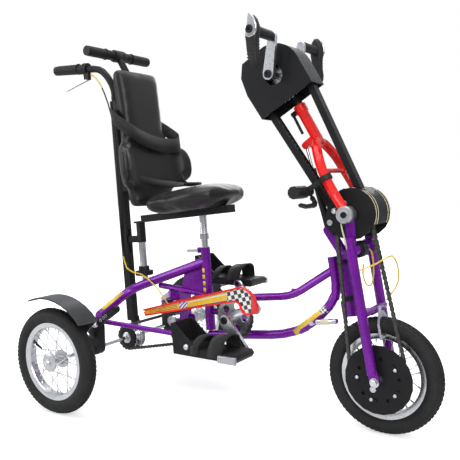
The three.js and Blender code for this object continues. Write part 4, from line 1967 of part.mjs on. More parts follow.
function drum() {
  const tilt = MAST_LEAN_DEG;
  const from = DRUM_LIP_DEG - tilt;
  const to = DRUM_REAR_LIP_DEG - tilt;
  const steps = 10;
  const bore = { ...origin, radius: AXLE_RADIUS + 2 * GAP, sides: TUBE_SIDES };
  const tail = [210, 232].map((angle) => spoke(origin, DRUM_RADIUS * DRUM_TAIL_SHARE, angle - tilt));
  const nearOutline = [...arc(0, 0, DRUM_RADIUS, -140 - tilt, 180 - tilt, 13), ...tail];
  const near = plate(nearOutline, -DRUM_HALF_LENGTH, DRUM_WALL - DRUM_HALF_LENGTH, [bore]);
  const far = plate(
    polygon(DRUM_RADIUS, 16).map(({ x, y }) => [x, y]),
    DRUM_HALF_LENGTH - DRUM_WALL,
    DRUM_HALF_LENGTH,
    [bore],
  );
  const rim = plate([
    ...arc(0, 0, DRUM_RADIUS, from, to, steps),
    ...arc(0, 0, DRUM_RADIUS - DRUM_WALL, to, from, steps),
  ], DRUM_WALL / 2 - DRUM_HALF_LENGTH, DRUM_HALF_LENGTH - DRUM_WALL / 2);
  const wedge = (low, high, fromY, toY) => plate([
    [0, 0],
    ...arc(0, 0, DRUM_RADIUS * DRUM_CUT_SHARE, low - tilt, high - tilt, 6),
  ], fromY, toY);
  const slotHalf = CHAIN_INNER_WIDTH / 2 + CHAIN_PLATE_WALL * 2 + OVERRUN;
  const slots = [
    wedge(DRUM_LIP_DEG - 20, 62, FRONT_CHAIN_Y - slotHalf, FRONT_CHAIN_Y + slotHalf),
    wedge(DRUM_LIP_DEG + 8, 62, -FRONT_CHAIN_Y - slotHalf, -FRONT_CHAIN_Y + slotHalf),
    wedge(46, 210, HAND_CHAIN_Y - slotHalf, HAND_CHAIN_Y + slotHalf),
  ];
  piece(
    mast,
    'drum_cover',
    cut(
      join(near, far, cut(rim, ...slots)),
      crossBar(origin, -DRUM_HALF_LENGTH * 2, DRUM_HALF_LENGTH * 2, AXLE_RADIUS + 2 * GAP),
    ),
    BLACK,
  );
}

// Hand cranks stand up together; each grip swivels on its own spindle.
function handCranks() {
  const crank = { x: 0, z: HAND_CRANK_UP };
  const worldUp = { x: Math.sin(degrees(MAST_LEAN_DEG)), z: Math.cos(degrees(MAST_LEAN_DEG)) };
  const armAngle = 90 - MAST_LEAN_DEG - HAND_ARM_LEAN_DEG;
  const [endX, endZ] = spoke(crank, HAND_ARM_LENGTH, armAngle);
  const end = { x: endX, z: endZ };
  const outer = HAND_ARM_INSET + HAND_ARM_WALL;
  const arms = Object.values(SIDES).map((sign) => plate(
    barOutline(crank, HAND_SPINDLE_RADIUS * ARM_BOSS_SHARE, end, HAND_SPINDLE_RADIUS * ARM_TIP_SHARE),
    ...span(sign, HAND_ARM_INSET, outer),
  ));
  const spindle = crossBar(crank, -outer, outer, HAND_SPINDLE_RADIUS);
  const ring = sprocket(crank, HAND_CHAIN_Y, HAND_TEETH, SPROCKET_WALL);
  const bolts = Object.values(SIDES).map((sign) => crossBar(
    end,
    ...span(sign, outer - OVERRUN, outer + CRANK_ARM_WALL),
    PEDAL_RADIUS,
    SMALL_SIDES,
  ));
  piece(mast, 'hand_crank', join(...arms, spindle, ring, ...bolts), SILVER);

  Object.entries(SIDES).forEach(([name, sign]) => {
    const start = outer + GAP;
    const sleeve = crossBar(
      end,
      ...span(sign, start, HAND_GRIP_OUT),
      HAND_SPINDLE_RADIUS * GRIP_SLEEVE_SHARE,
    );
    const spindleSpace = crossBar(
      end,
      ...span(sign, start - OVERRUN, outer + CRANK_ARM_WALL + GAP),
      PEDAL_RADIUS + 2 * GAP,
      SMALL_SIDES,
    );
    const at = (along) => point(end.x + worldUp.x * along, sign * HAND_GRIP_OUT, end.z + worldUp.z * along);
    const ribs = 4;
    const length = HAND_GRIP_HIGH - HAND_GRIP_LOW;
    const core = rod(at(HAND_GRIP_LOW), at(HAND_GRIP_HIGH), HAND_GRIP_RADIUS * GRIP_CORE_SHARE, SMALL_SIDES);
    const bands = Array.from({ length: ribs }, (_, i) => {
      const low = HAND_GRIP_LOW + (length * (i + RIB_START_SHARE)) / ribs;
      return rod(at(low), at(low + (length * RIB_LENGTH_SHARE) / ribs), HAND_GRIP_RADIUS, SMALL_SIDES);
    });
    piece(mast, `${name}_hand_grip`, cut(join(sleeve, core, ...bands), spindleSpace), BLACK);
  });

  const loop = chainLoop(
    origin,
    pitchRadius(HAND_JACK_TEETH),
    crank,
    pitchRadius(HAND_TEETH),
    HAND_PIN_SPACING * CHAIN_PITCH,
    8,
  );
  piece(mast, 'hand_chain', chainSolid(loop, HAND_CHAIN_Y, false), STEEL);
}

// A gas strut between the fork and the mast holds the mast at its tilt.
function strut() {
  const lower = point(STRUT_LOW.ahead, 0, STRUT_LOW.above);
  const mastTurn = -degrees(MAST_LEAN_DEG - HEAD_LEAN_DEG);
  const upper = point(STRUT_TOP.ahead, 0, STRUT_TOP.above).applyAxisAngle(side, mastTurn);
  upper.add(point(JACKSHAFT.ahead, 0, JACKSHAFT.above));
  const along = upper.clone().sub(lower);
  const at = (distance) => lower.clone().addScaledVector(along.clone().normalize(), distance);
  const length = along.length();
  const bodyTop = length * STRUT_BODY_SHARE;
  const eye = (centre, clearance) => cut(
    rod(
      point(centre.x, -STRUT_EYE_RADIUS / 2, centre.z),
      point(centre.x, STRUT_EYE_RADIUS / 2, centre.z),
      STRUT_EYE_RADIUS,
    ),
    rod(
      point(centre.x, -STRUT_RADIUS, centre.z),
      point(centre.x, STRUT_RADIUS, centre.z),
      STRUT_PIN_RADIUS + clearance,
    ),
  );
  const rodSpace = rod(at(bodyTop * STRUT_BORE_SHARE), at(length), STRUT_ROD_RADIUS + 2 * GAP);
  const cylinder = cut(rod(at(STRUT_EYE_RADIUS * STRUT_BOSS_SHARE), at(bodyTop), STRUT_RADIUS), rodSpace);
  const lowEye = cut(
    join(cylinder, eye(lower, 2 * GAP)),
    rod(
      lower.clone().add(point(0, -STRUT_RADIUS, 0)),
      lower.clone().add(point(0, STRUT_RADIUS, 0)),
      STRUT_PIN_RADIUS + 2 * GAP,
    ),
  );
  piece(steering, 'strut_cylinder', lowEye, BLACK);
  const topEye = cut(
    join(
      rod(
        at(bodyTop * STRUT_ROD_START_SHARE),
        at(length - STRUT_EYE_RADIUS * STRUT_ROD_END_SHARE),
        STRUT_ROD_RADIUS,
      ),
      rod(
        point(upper.x, -STRUT_EYE_RADIUS / 2, upper.z),
        point(upper.x, STRUT_EYE_RADIUS / 2, upper.z),
        STRUT_EYE_RADIUS,
      ),
    ),
    rod(
      point(upper.x, -STRUT_RADIUS, upper.z),
      point(upper.x, STRUT_RADIUS, upper.z),
      STRUT_EYE_RADIUS * STRUT_EYE_SHARE,
    ),
  );
  piece(steering, 'strut_rod', topEye, CHROME);
}

// The rider's brake: a crosswise grip on an arm from the right mast leg, with a lever under it.

function riderBrake() {
  const route = mastLegRoute(-1);
  const legSpace = sweep(route, MAST_LEG_RADIUS + 2 * GAP, SMALL_SIDES);
  const legX = -MAST_LEG_RADIUS / 4;
  const band = join(
    rod(
      point(legX, -MAST_HALF_WIDTH, GRIP_AT.z - MAST_LEG_RADIUS / 2),
      point(legX, -MAST_HALF_WIDTH, GRIP_AT.z + MAST_LEG_RADIUS / 2),
      MAST_LEG_RADIUS + PLATE_WALL,
    ),
    box(
      GRIP_AT.x,
      legX,
      -MAST_HALF_WIDTH - PLATE_WALL,
      -MAST_HALF_WIDTH + PLATE_WALL,
      GRIP_AT.z - MAST_LEG_RADIUS / 2,
      GRIP_AT.z + MAST_LEG_RADIUS / 2,
    ),
  );
  const grip = join(
    crossBar(GRIP_AT, -GRIP_OUTER, -MAST_HALF_WIDTH - PLATE_WALL, BRAKE_GRIP_RADIUS),
    crossBar(GRIP_AT, -GRIP_OUTER + OVERRUN, -GRIP_INNER, BRAKE_GRIP_RADIUS * GRIP_CORE_RADIUS_SHARE),
  );
  const leverPin = {
    x: GRIP_AT.x,
    y: -GRIP_INNER - BRAKE_GRIP_RADIUS / 2,
    z: GRIP_AT.z - BRAKE_GRIP_RADIUS * LEVER_PIN_DROP_SHARE,
  };
  const along = (from, to, radius) => rod(
    point(GRIP_AT.x + from, leverPin.y, leverPin.z),
    point(GRIP_AT.x + to, leverPin.y, leverPin.z),
    radius,
    SMALL_SIDES,
  );
  const ear = box(
    GRIP_AT.x - PLATE_WALL / 2,
    GRIP_AT.x + PLATE_WALL / 2,
    leverPin.y - PLATE_WALL,
    leverPin.y + PLATE_WALL,
    leverPin.z,
    GRIP_AT.z,
  );
  const half = PLATE_WALL * LEVER_WALL_SHARE;
  const pinRadius = PLATE_WALL / 2;
  const grips = cut(
    join(band, grip, ear, along(-PLATE_WALL / 2, PLATE_WALL / 2, half)),
    along(-PLATE_WALL, PLATE_WALL, pinRadius + 2 * GAP),
  );
  piece(mast, 'brake_grip', trim(grips, legSpace), BLACK);

  const inset = PLATE_WALL / 2 + GAP;
  const leverRoute = [
    [leverPin.y + PLATE_WALL * LEVER_WALL_SHARE, leverPin.z],
    [leverPin.y - PLATE_WALL * 3, GRIP_AT.z - LEVER_DROP],
    [-GRIP_OUTER * LEVER_BEND_SHARE, GRIP_AT.z - LEVER_DROP * LEVER_TOP_SHARE],
    [-GRIP_OUTER, GRIP_AT.z - LEVER_DROP * LEVER_RISE_SHARE],
    [-GRIP_OUTER, GRIP_AT.z - LEVER_DROP * LEVER_FALL_SHARE],
    [-GRIP_OUTER * LEVER_BEND_SHARE, GRIP_AT.z - LEVER_DROP * LEVER_UNDER_SHARE],
    [leverPin.y - PLATE_WALL * 2, GRIP_AT.z - LEVER_DROP * LEVER_UNDER_SHARE],
    [leverPin.y + PLATE_WALL * LEVER_WALL_SHARE, leverPin.z - PLATE_WALL * LEVER_ROOT_WALL_SHARE],
  ];
  const shape = new THREE.Shape(leverRoute.map(([y, z]) => new THREE.Vector2(y, z)));
  const geometry = new THREE.ExtrudeGeometry(shape, { depth: inset * 4, bevelEnabled: false });
  geometry.rotateX(Math.PI / 2);
  geometry.rotateZ(Math.PI / 2);
  geometry.translate(GRIP_AT.x - inset * 2, 0, 0);
  const gripSpace = join(
    along(-inset, inset, half * LEVER_WALL_SHARE),
    box(
      GRIP_AT.x - inset,
      GRIP_AT.x + inset,
      leverPin.y - half,
      leverPin.y + half,
      leverPin.z,
      GRIP_AT.z,
    ),
  );
  const blade = cut(join(toSolid(geometry), along(-inset * 2, inset * 2, half)), gripSpace);
  piece(mast, 'brake_lever', join(blade, along(-inset - OVERRUN, inset + OVERRUN, pinRadius)), BLACK);
}


function cables() {
  const caliper = point(BRIDGE.ahead + BRIDGE_RADIUS * 2 + PLATE_WALL, 30, BRIDGE.above + BRAKE_GRIP_RADIUS);
  const front = smooth([
    point(FORK_AHEAD, -FORK_HALF_WIDTH, CROSS_TUBE.above - CROSS_COLLAR_RADIUS * 2.6),
    ...FRONT_CABLE_LOOP.map(({ ahead, side: across, above }) => point(ahead, across, above)),
    caliper,
  ], 14);
  const legSpace = rod(
    point(FORK_AHEAD, -FORK_HALF_WIDTH, CROSS_TUBE.above - FORK_HALF_WIDTH),
    point(FORK_AHEAD, -FORK_HALF_WIDTH, FORK_LEG_TOP),
    FORK_LEG_RADIUS + GAP,
  );
  const frontCable = trim(sweep(front, CABLE_RADIUS, CABLE_SIDES), legSpace);
  piece(steering, 'front_brake_cable', frontCable, YELLOW);
  const postSide = -REAR_POST_SIZE / 2 - CABLE_RADIUS * 3;
  const rear = smooth([
    point(LEVER_CABLE.x, LEVER_CABLE.y, LEVER_CABLE.z - PUSH_TUBE_RADIUS * 2),
    point(CABLE_BEND.x, CABLE_BEND.y, CABLE_BEND.z),
    ...REAR_CABLE_HEIGHTS.map((height) => fromSeat(-REAR_POST_BEHIND, height, postSide)),
    ...REAR_CABLE_LOW.map(({ x, y, z }) => point(x, y, z)),
  ], REAR_CABLE_STEPS);
  piece(frame, 'rear_brake_cable', sweep(rear, CABLE_RADIUS, CABLE_SIDES), YELLOW);
}

frameTubes();
seatBrace();
lowerStays();
frontTubes();
idlerHub();
rearAxlePiece();
rearWheels();
fenders();
parkingLever();
uprights();
seat();
clampsAndKnob();
backrest();
handles();
footDrive();
guardPiece();
fork();
frontWheel();
jackshaft();
caliperBrake();
mastPieces();
crankHousing();
chainChannels();
drum();
handCranks();
strut();
riderBrake();
cables();

// The finished object stands on the ground over the middle of its own outline.
tricycle.updateMatrixWorld(true);
const outline = new THREE.Box3().setFromObject(tricycle, true);
const middle = outline.getCenter(point(0, 0, 0));
frame.position.set(-middle.x, -middle.y, -outline.min.z);

export default tricycle;
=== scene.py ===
# %% [markdown]
# # A tricycle driven by hand and foot
#
# This notebook dresses a imported model of an adaptive tricycle: a purple tube frame, a padded
# seat with a tall back, a red mast with hand cranks on top, a chain that runs down to the front
# wheel, and foot cranks that drive the rear axle. The imported model gives the bodies and their
# solids. The pieces added here are set on it in the same millimetres. Each piece rides on the
# body that moves it.

# %% Load the imported model as a fixed frame
import json
import math

import bmesh
import bpy
from mathutils import Matrix, Vector

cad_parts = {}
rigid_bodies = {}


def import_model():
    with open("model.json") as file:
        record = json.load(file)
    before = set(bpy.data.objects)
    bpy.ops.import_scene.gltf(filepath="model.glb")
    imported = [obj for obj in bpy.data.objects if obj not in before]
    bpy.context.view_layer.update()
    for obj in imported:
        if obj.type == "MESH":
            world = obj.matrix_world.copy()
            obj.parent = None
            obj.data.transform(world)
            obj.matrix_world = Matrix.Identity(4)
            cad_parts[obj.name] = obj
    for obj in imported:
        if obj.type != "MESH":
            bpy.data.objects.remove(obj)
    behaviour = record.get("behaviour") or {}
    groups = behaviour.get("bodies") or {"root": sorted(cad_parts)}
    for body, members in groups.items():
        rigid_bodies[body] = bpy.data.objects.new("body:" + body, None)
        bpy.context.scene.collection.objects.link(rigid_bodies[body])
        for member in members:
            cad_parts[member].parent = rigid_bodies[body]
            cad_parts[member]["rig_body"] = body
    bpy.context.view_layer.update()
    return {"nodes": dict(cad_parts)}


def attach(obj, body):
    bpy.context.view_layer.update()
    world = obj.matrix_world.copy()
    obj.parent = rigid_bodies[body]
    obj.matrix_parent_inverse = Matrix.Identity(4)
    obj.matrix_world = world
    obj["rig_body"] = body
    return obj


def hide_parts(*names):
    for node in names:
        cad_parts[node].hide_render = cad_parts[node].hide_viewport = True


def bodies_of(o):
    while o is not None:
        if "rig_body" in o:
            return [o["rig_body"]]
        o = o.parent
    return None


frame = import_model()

# %% [markdown]
# ## Places in the maker's numbers
#
# The maker's drawing counts millimetres ahead of the rear axle, to the left of the middle, and
# above the floor. The steering assembly and the back of the seat lean, so each has a drawing of
# its own, and a small matrix turns it into its place. A shaft that several pieces share is
# written once here, as its distance ahead and its height.

# %% Drawings and the places of the shafts
MM = 0.001
MIDDLE = 326.7534


def leaning(x, z, lean):
    """The matrix that takes a leaning drawing, in millimetres, to metres in the row frame."""
    place = Matrix.Translation(((x - MIDDLE) * MM, 0, z * MM))
    return place @ Matrix.Rotation(math.radians(-lean), 4, "Y") @ Matrix.Scale(MM, 4)


UPRIGHT = leaning(0, 0, 0)
STEERING = leaning(716, 419, 10)
BACK = leaning(108, 556, 7.7)
AXLE_HEIGHT = 147
REAR_AXLE = (0, AXLE_HEIGHT)
FRONT_AXLE = (824, AXLE_HEIGHT)
FOOT_CRANK = (402, 255)
JACK = (755.96, 550.03)
HAND_CRANK = (548.9, 901.5)
HAND_PIN = (560.9, 992.8)
REAR_WHEEL_SIDE = 328


def spot(x, y, z, drawing=UPRIGHT):
    """A place of one drawing in the row frame, in metres."""
    return drawing @ Vector((x, y, z))


def on_shaft(shaft, y=0):
    """The place on a shaft at a distance to the left, in the maker's millimetres."""
    return Vector((shaft[0], y, shaft[1]))


print("front axle at", [round(v, 4) for v in spot(*on_shaft(FRONT_AXLE))])

# %% [markdown]
# ## The camera
#
# The photograph looks at the right side from a little ahead and a little above the wheels, with
# a normal lens. The place, the aim and the small roll come from the three round wheels and from
# where the tyres stand on the floor.

# %% Camera at the photograph's angle
scene = bpy.context.scene
CAMERA_PLACE = Vector((1.04917, -1.50773, 0.65162))
CAMERA_HEADING = math.radians(33.71)
CAMERA_DOWN = math.radians(4.95)
CAMERA_ROLL = math.radians(-1.12)
FOCAL_SHARE = 642.73 / 460
SENSOR = 36

ahead = Vector(
    (
        -math.sin(CAMERA_HEADING) * math.cos(CAMERA_DOWN),
        math.cos(CAMERA_HEADING) * math.cos(CAMERA_DOWN),
        -math.sin(CAMERA_DOWN),
    )
)
level = Vector((math.cos(CAMERA_HEADING), math.sin(CAMERA_HEADING), 0))
upward = level.cross(ahead)
side_axis = level * math.cos(CAMERA_ROLL) + upward * math.sin(CAMERA_ROLL)
up_axis = upward * math.cos(CAMERA_ROLL) - level * math.sin(CAMERA_ROLL)
camera_data = bpy.data.cameras.new("camera")
camera_data.sensor_width = SENSOR
camera_data.lens = SENSOR * FOCAL_SHARE
camera_data.clip_end = 50
camera = bpy.data.objects.new("camera", camera_data)
scene.collection.objects.link(camera)
turn = Matrix((side_axis, up_axis, -ahead)).transposed().to_4x4()
camera.matrix_world = Matrix.Translation(CAMERA_PLACE) @ turn
scene.camera = camera
scene.view_settings.view_transform = "Standard"
print("lens", round(camera_data.lens, 1), "mm")

# %% [markdown]
# ## A plain studio
#
# The object stands on a white sheet with soft light from above. The background is white only
# where the camera or a clear material looks at it, so the white doesn't add light to the object.
# Paint and metal mirror a sky that goes from grey low down to nearly white above, because plain
# white all round washed their colours out. The sheet brightens away from the object, so that it
# runs into the background and keeps the soft shadow under the tyres.

# %% World, floor and lamps


def white_backing(tree, shader, strength):
    """Adds plain white to a shader where a camera or transmitted ray meets it."""
    path = tree.nodes.new("ShaderNodeLightPath")
    clear = tree.nodes.new("ShaderNodeMath")
    clear.operation = "MAXIMUM"
    tree.links.new(path.outputs["Is Camera Ray"], clear.inputs[0])
    tree.links.new(path.outputs["Is Transmission Ray"], clear.inputs[1])
    amount = tree.nodes.new("ShaderNodeMath")
    amount.operation = "MULTIPLY"
    tree.links.new(strength, amount.inputs[1])
    tree.links.new(clear.outputs[0], amount.inputs[0])
    tree.links.new(amount.outputs[0], shader.inputs["Emission Strength"])


world = bpy.data.worlds.new("studio")
scene.world = world
world.use_nodes = True
wt = world.node_tree
wt.nodes.clear()
world_out = wt.nodes.new("ShaderNodeOutputWorld")
light_path = wt.nodes.new("ShaderNodeLightPath")
dim = wt.nodes.new("ShaderNodeBackground")
dim.inputs["Color"].default_value = (0.86, 0.88, 0.92, 1)
bright = wt.nodes.new("ShaderNodeBackground")
bright.inputs["Color"].default_value = (1, 1, 1, 1)
bright.inputs["Strength"].default_value = 1
either = wt.nodes.new("ShaderNodeMath")
either.operation = "MAXIMUM"
wt.links.new(light_path.outputs["Is Camera Ray"], either.inputs[0])
wt.links.new(light_path.outputs["Is Transmission Ray"], either.inputs[1])
sky_place = wt.nodes.new("ShaderNodeTexCoord")
sky_axes = wt.nodes.new("ShaderNodeSeparateXYZ")
wt.links.new(sky_place.outputs["Object"], sky_axes.inputs[0])
sky_fade = wt.nodes.new("ShaderNodeMapRange")
sky_fade.inputs["From Min"].default_value = -0.1
sky_fade.inputs["From Max"].default_value = 0.5
sky_fade.inputs["To Min"].default_value = 0.35
sky_fade.inputs["To Max"].default_value = 0.95
wt.links.new(sky_axes.outputs["Z"], sky_fade.inputs["Value"])
fill = wt.nodes.new("ShaderNodeMix")
wt.links.new(light_path.outputs["Is Glossy Ray"], fill.inputs["Factor"])
fill.inputs["A"].default_value = 0.34
wt.links.new(sky_fade.outputs["Result"], fill.inputs["B"])
wt.links.new(fill.outputs["Result"], dim.inputs["Strength"])
mix = wt.nodes.new("ShaderNodeMixShader")
wt.links.new(either.outputs[0], mix.inputs["Fac"])
wt.links.new(dim.outputs[0], mix.inputs[1])
wt.links.new(bright.outputs[0], mix.inputs[2])
wt.links.new(mix.outputs[0], world_out.inputs["Surface"])


def lamp(name, place, aim, width, height, watts):
    """A soft box of light at a place, turned to its aim."""
    data = bpy.data.lights.new(name, "AREA")
    data.shape = "RECTANGLE"
    data.size = width
    data.size_y = height
    data.energy = watts
    lamp_object = bpy.data.objects.new(name, data)
    scene.collection.objects.link(lamp_object)
    look = (Vector(aim) - Vector(place)).to_track_quat("-Z", "Y")
    lamp_object.matrix_world = Matrix.Translation(place) @ look.to_matrix().to_4x4()


lamp("top_softbox", (0.1, -0.2, 2.9), (0, 0, 0.4), 2.6, 2.6, 52)
lamp("camera_softbox", (1.9, -2.3, 1.9), (0, 0, 0.45), 1.6, 1.6, 46)
lamp("side_softbox", (-2.3, -1.9, 1.5), (0, 0, 0.4), 1.2, 1.8, 26)
lamp("rear_softbox", (-0.9, 2.6, 1.8), (0, 0, 0.4), 2.2, 1.4, 26)

floor_mesh = bpy.data.meshes.new("floor")
sheet = bmesh.new()
bmesh.ops.create_grid(sheet, x_segments=2, y_segments=2, size=9)
sheet.to_mesh(floor_mesh)
sheet.free()
floor = bpy.data.objects.new("floor", floor_mesh)
scene.collection.objects.link(floor)
floor_material = bpy.data.materials.new("white_sheet")
floor_material.use_nodes = True
floor_shader = floor_material.node_tree.nodes["Principled BSDF"]
floor_shader.inputs["Base Color"].default_value = (0.9, 0.9, 0.9, 1)
floor_shader.inputs["Roughness"].default_value = 0.9
floor_shader.inputs["Emission Color"].default_value = (1, 1, 1, 1)
floor_shader.inputs["Specular IOR Level"].default_value = 0
floor_tree = floor_material.node_tree
floor_place = floor_tree.nodes.new("ShaderNodeTexCoord")
reach = floor_tree.nodes.new("ShaderNodeVectorMath")
reach.operation = "LENGTH"
floor_tree.links.new(floor_place.outputs["Object"], reach.inputs[0])
fade = floor_tree.nodes.new("ShaderNodeMapRange")
fade.inputs["From Min"].default_value = 0.7
fade.inputs["From Max"].default_value = 2.2
fade.inputs["To Min"].default_value = 0.5
fade.inputs["To Max"].default_value = 1
floor_tree.links.new(reach.outputs["Value"], fade.inputs["Value"])
white_backing(floor_tree, floor_shader, fade.outputs["Result"])
floor_mesh.materials.append(floor_material)
print("studio ready")

# %% [markdown]
# ## Shared surface effects
#
# Real finishes are never one colour. Three effects come back in most of them: slow changes of
# tone, a fine grain that is felt more than seen, and faint wear. Each one is built once as a
# node group, and every material sets its own scale and strength.

# %% Node groups for tone, grain and wear


def new_group(name, inputs, outputs):
    """A shader node group with named number or colour sockets."""
    group = bpy.data.node_groups.new(name, "ShaderNodeTree")
    for label, kind, value in inputs:
        socket = group.interface.new_socket(label, in_out="INPUT", socket_type=kind)
        socket.default_value = value
    for label, kind in outputs:
        group.interface.new_socket(label, in_out="OUTPUT", socket_type=kind)
    start = group.nodes.new("NodeGroupInput")
    end = group.nodes.new("NodeGroupOutput")
    return group, start, end


def node(tree, kind, **values):
    """A new node with its options and plain socket values set by name."""
    made = tree.nodes.new(kind)
    for key, value in values.items():
        if hasattr(made, key):
            setattr(made, key, value)
        else:
            made.inputs[key.replace("_", " ").title()].default_value = value
    return made


NUMBER, COLOUR = "NodeSocketFloat", "NodeSocketColor"

tone, t_in, t_out = new_group(
    "tone_change",
    [("Colour", COLOUR, (1, 1, 1, 1)), ("Darker", COLOUR, (0.5, 0.5, 0.5, 1)), ("Scale", NUMBER, 20.0)],
    [("Colour", COLOUR), ("Mask", NUMBER)],
)
place = node(tone, "ShaderNodeTexCoord")
clouds = node(tone, "ShaderNodeTexNoise", detail=4.0, roughness=0.6)
ramp = node(tone, "ShaderNodeMapRange")
ramp.inputs["From Min"].default_value = 0.35
ramp.inputs["From Max"].default_value = 0.7
blend = node(tone, "ShaderNodeMix", data_type="RGBA")
tone.links.new(place.outputs["Object"], clouds.inputs["Vector"])
tone.links.new(t_in.outputs["Scale"], clouds.inputs["Scale"])
tone.links.new(clouds.outputs["Fac"], ramp.inputs["Value"])
tone.links.new(ramp.outputs["Result"], blend.inputs["Factor"])
tone.links.new(t_in.outputs["Colour"], blend.inputs["A"])
tone.links.new(t_in.outputs["Darker"], blend.inputs["B"])
tone.links.new(blend.outputs["Result"], t_out.inputs["Colour"])
tone.links.new(ramp.outputs["Result"], t_out.inputs["Mask"])

grain, g_in, g_out = new_group(
    "fine_grain",
    [("Scale", NUMBER, 600.0), ("Cells", NUMBER, 0.5)],
    [("Height", NUMBER)],
)
place = node(grain, "ShaderNodeTexCoord")
dots = node(grain, "ShaderNodeTexVoronoi")
fuzz = node(grain, "ShaderNodeTexNoise", detail=3.0)
both = node(grain, "ShaderNodeMix", data_type="FLOAT")
grain.links.new(place.outputs["Object"], dots.inputs["Vector"])
grain.links.new(place.outputs["Object"], fuzz.inputs["Vector"])
grain.links.new(g_in.outputs["Scale"], dots.inputs["Scale"])
grain.links.new(g_in.outputs["Scale"], fuzz.inputs["Scale"])
grain.links.new(g_in.outputs["Cells"], both.inputs["Factor"])
grain.links.new(fuzz.outputs["Fac"], both.inputs["A"])
grain.links.new(dots.outputs["Distance"], both.inputs["B"])
grain.links.new(both.outputs["Result"], g_out.inputs["Height"])

wear, w_in, w_out = new_group(
    "handling_wear",
    [("Scale", NUMBER, 60.0), ("Least", NUMBER, 0.2), ("Most", NUMBER, 0.5)],
    [("Roughness", NUMBER), ("Mask", NUMBER)],
)
place = node(wear, "ShaderNodeTexCoord")
rubs = node(wear, "ShaderNodeTexNoise", detail=6.0, roughness=0.7, distortion=1.2)
levels = node(wear, "ShaderNodeMapRange")
levels.inputs["From Min"].default_value = 0.3
levels.inputs["From Max"].default_value = 0.75
wear.links.new(place.outputs["Object"], rubs.inputs["Vector"])
wear.links.new(w_in.outputs["Scale"], rubs.inputs["Scale"])
wear.links.new(rubs.outputs["Fac"], levels.inputs["Value"])
wear.links.new(w_in.outputs["Least"], levels.inputs["To Min"])
wear.links.new(w_in.outputs["Most"], levels.inputs["To Max"])
wear.links.new(levels.outputs["Result"], w_out.inputs["Roughness"])
wear.links.new(rubs.outputs["Fac"], w_out.inputs["Mask"])
print("effects:", tone.name, grain.name, wear.name)

# %% [markdown]
# ## Finishes
#
# One recipe covers most of the tricycle: a colour that drifts between two close tones, a gloss
# that changes where hands and cloths have rubbed, and a grain in the surface. Paint adds a clear
# coat, metal turns the metal value up, rubber and vinyl stay soft. The recipe takes the real
# size of the grain as grains to the metre.

# %% A recipe for finishes


def finish(name, colour, darker, gloss, metal=0.0, coat=0.0, coat_gloss=0.05, grain_size=700.0,
           cells=0.5, depth=0.1, height=0.0004, drift=18.0, rubs_size=45.0, sheen=0.0, specular=0.5):
    """A material from the shared effects. gloss is the least and the most roughness."""
    material = bpy.data.materials.new(name)
    material.use_nodes = True
    tree = material.node_tree
    shader = tree.nodes["Principled BSDF"]
    shader.inputs["Metallic"].default_value = metal
    shader.inputs["Coat Weight"].default_value = coat
    shader.inputs["Coat Roughness"].default_value = coat_gloss
    shader.inputs["Sheen Weight"].default_value = sheen
    shader.inputs["Specular IOR Level"].default_value = specular
    tones = node(tree, "ShaderNodeGroup", node_tree=tone)
    tones.inputs["Colour"].default_value = (*colour, 1)
    tones.inputs["Darker"].default_value = (*darker, 1)
    tones.inputs["Scale"].default_value = drift
    tree.links.new(tones.outputs["Colour"], shader.inputs["Base Color"])
    rubbed = node(tree, "ShaderNodeGroup", node_tree=wear)
    rubbed.inputs["Scale"].default_value = rubs_size
    rubbed.inputs["Least"].default_value = gloss[0]
    rubbed.inputs["Most"].default_value = gloss[1]
    tree.links.new(rubbed.outputs["Roughness"], shader.inputs["Roughness"])
    grains = node(tree, "ShaderNodeGroup", node_tree=grain)
    grains.inputs["Scale"].default_value = grain_size
    grains.inputs["Cells"].default_value = cells
    bump = node(tree, "ShaderNodeBump", strength=depth, distance=height)
    tree.links.new(grains.outputs["Height"], bump.inputs["Height"])
    tree.links.new(bump.outputs["Normal"], shader.inputs["Normal"])
    return material


PURPLE = finish("purple_paint", (0.19, 0.004, 0.34), (0.14, 0.003, 0.26), (0.22, 0.34),
                metal=0.35, coat=0.3, grain_size=1400, specular=0.3, cells=0.8, depth=0.05, height=0.0002)
RED = finish("red_paint", (0.88, 0.012, 0.008), (0.74, 0.009, 0.006), (0.2, 0.32),
             coat=0.3, grain_size=1200, cells=0.7, depth=0.04, height=0.0002, specular=0.3)
BLACK = finish("black_paint", (0.009, 0.009, 0.01), (0.006, 0.006, 0.007), (0.4, 0.55),
               grain_size=1500, depth=0.12, height=0.0003, specular=0.22)
PLASTIC = finish("black_moulding", (0.01, 0.01, 0.011), (0.007, 0.007, 0.008), (0.42, 0.58),
                 grain_size=1100, cells=0.7, depth=0.3, height=0.0004, specular=0.25)
RUBBER = finish("tyre_rubber", (0.011, 0.011, 0.012), (0.018, 0.018, 0.017), (0.6, 0.78),
                grain_size=900, depth=0.2, height=0.0004, drift=30, specular=0.3)
GRIP = finish("grip_rubber", (0.01, 0.01, 0.011), (0.016, 0.016, 0.016), (0.45, 0.6),
              grain_size=900, cells=0.8, depth=0.3, height=0.0005, specular=0.3)
FENDER = finish("fender_moulding", (0.028, 0.029, 0.032), (0.02, 0.021, 0.023), (0.28, 0.4),
                grain_size=800, depth=0.15, height=0.0004, specular=0.45)
CHROME = finish("chrome_plate", (0.72, 0.72, 0.74), (0.62, 0.62, 0.64), (0.08, 0.2),
                metal=1.0, grain_size=400, cells=0.1, depth=0.03, height=0.0003)
SILVER = finish("polished_alloy", (0.66, 0.67, 0.69), (0.54, 0.55, 0.57), (0.22, 0.38),
                metal=1.0, grain_size=900, cells=0.2, depth=0.06, height=0.0003)
ALLOY = finish("brushed_alloy", (0.6, 0.61, 0.63), (0.48, 0.49, 0.51), (0.32, 0.5),
               metal=1.0, grain_size=1300, cells=0.2, depth=0.1, height=0.0003)
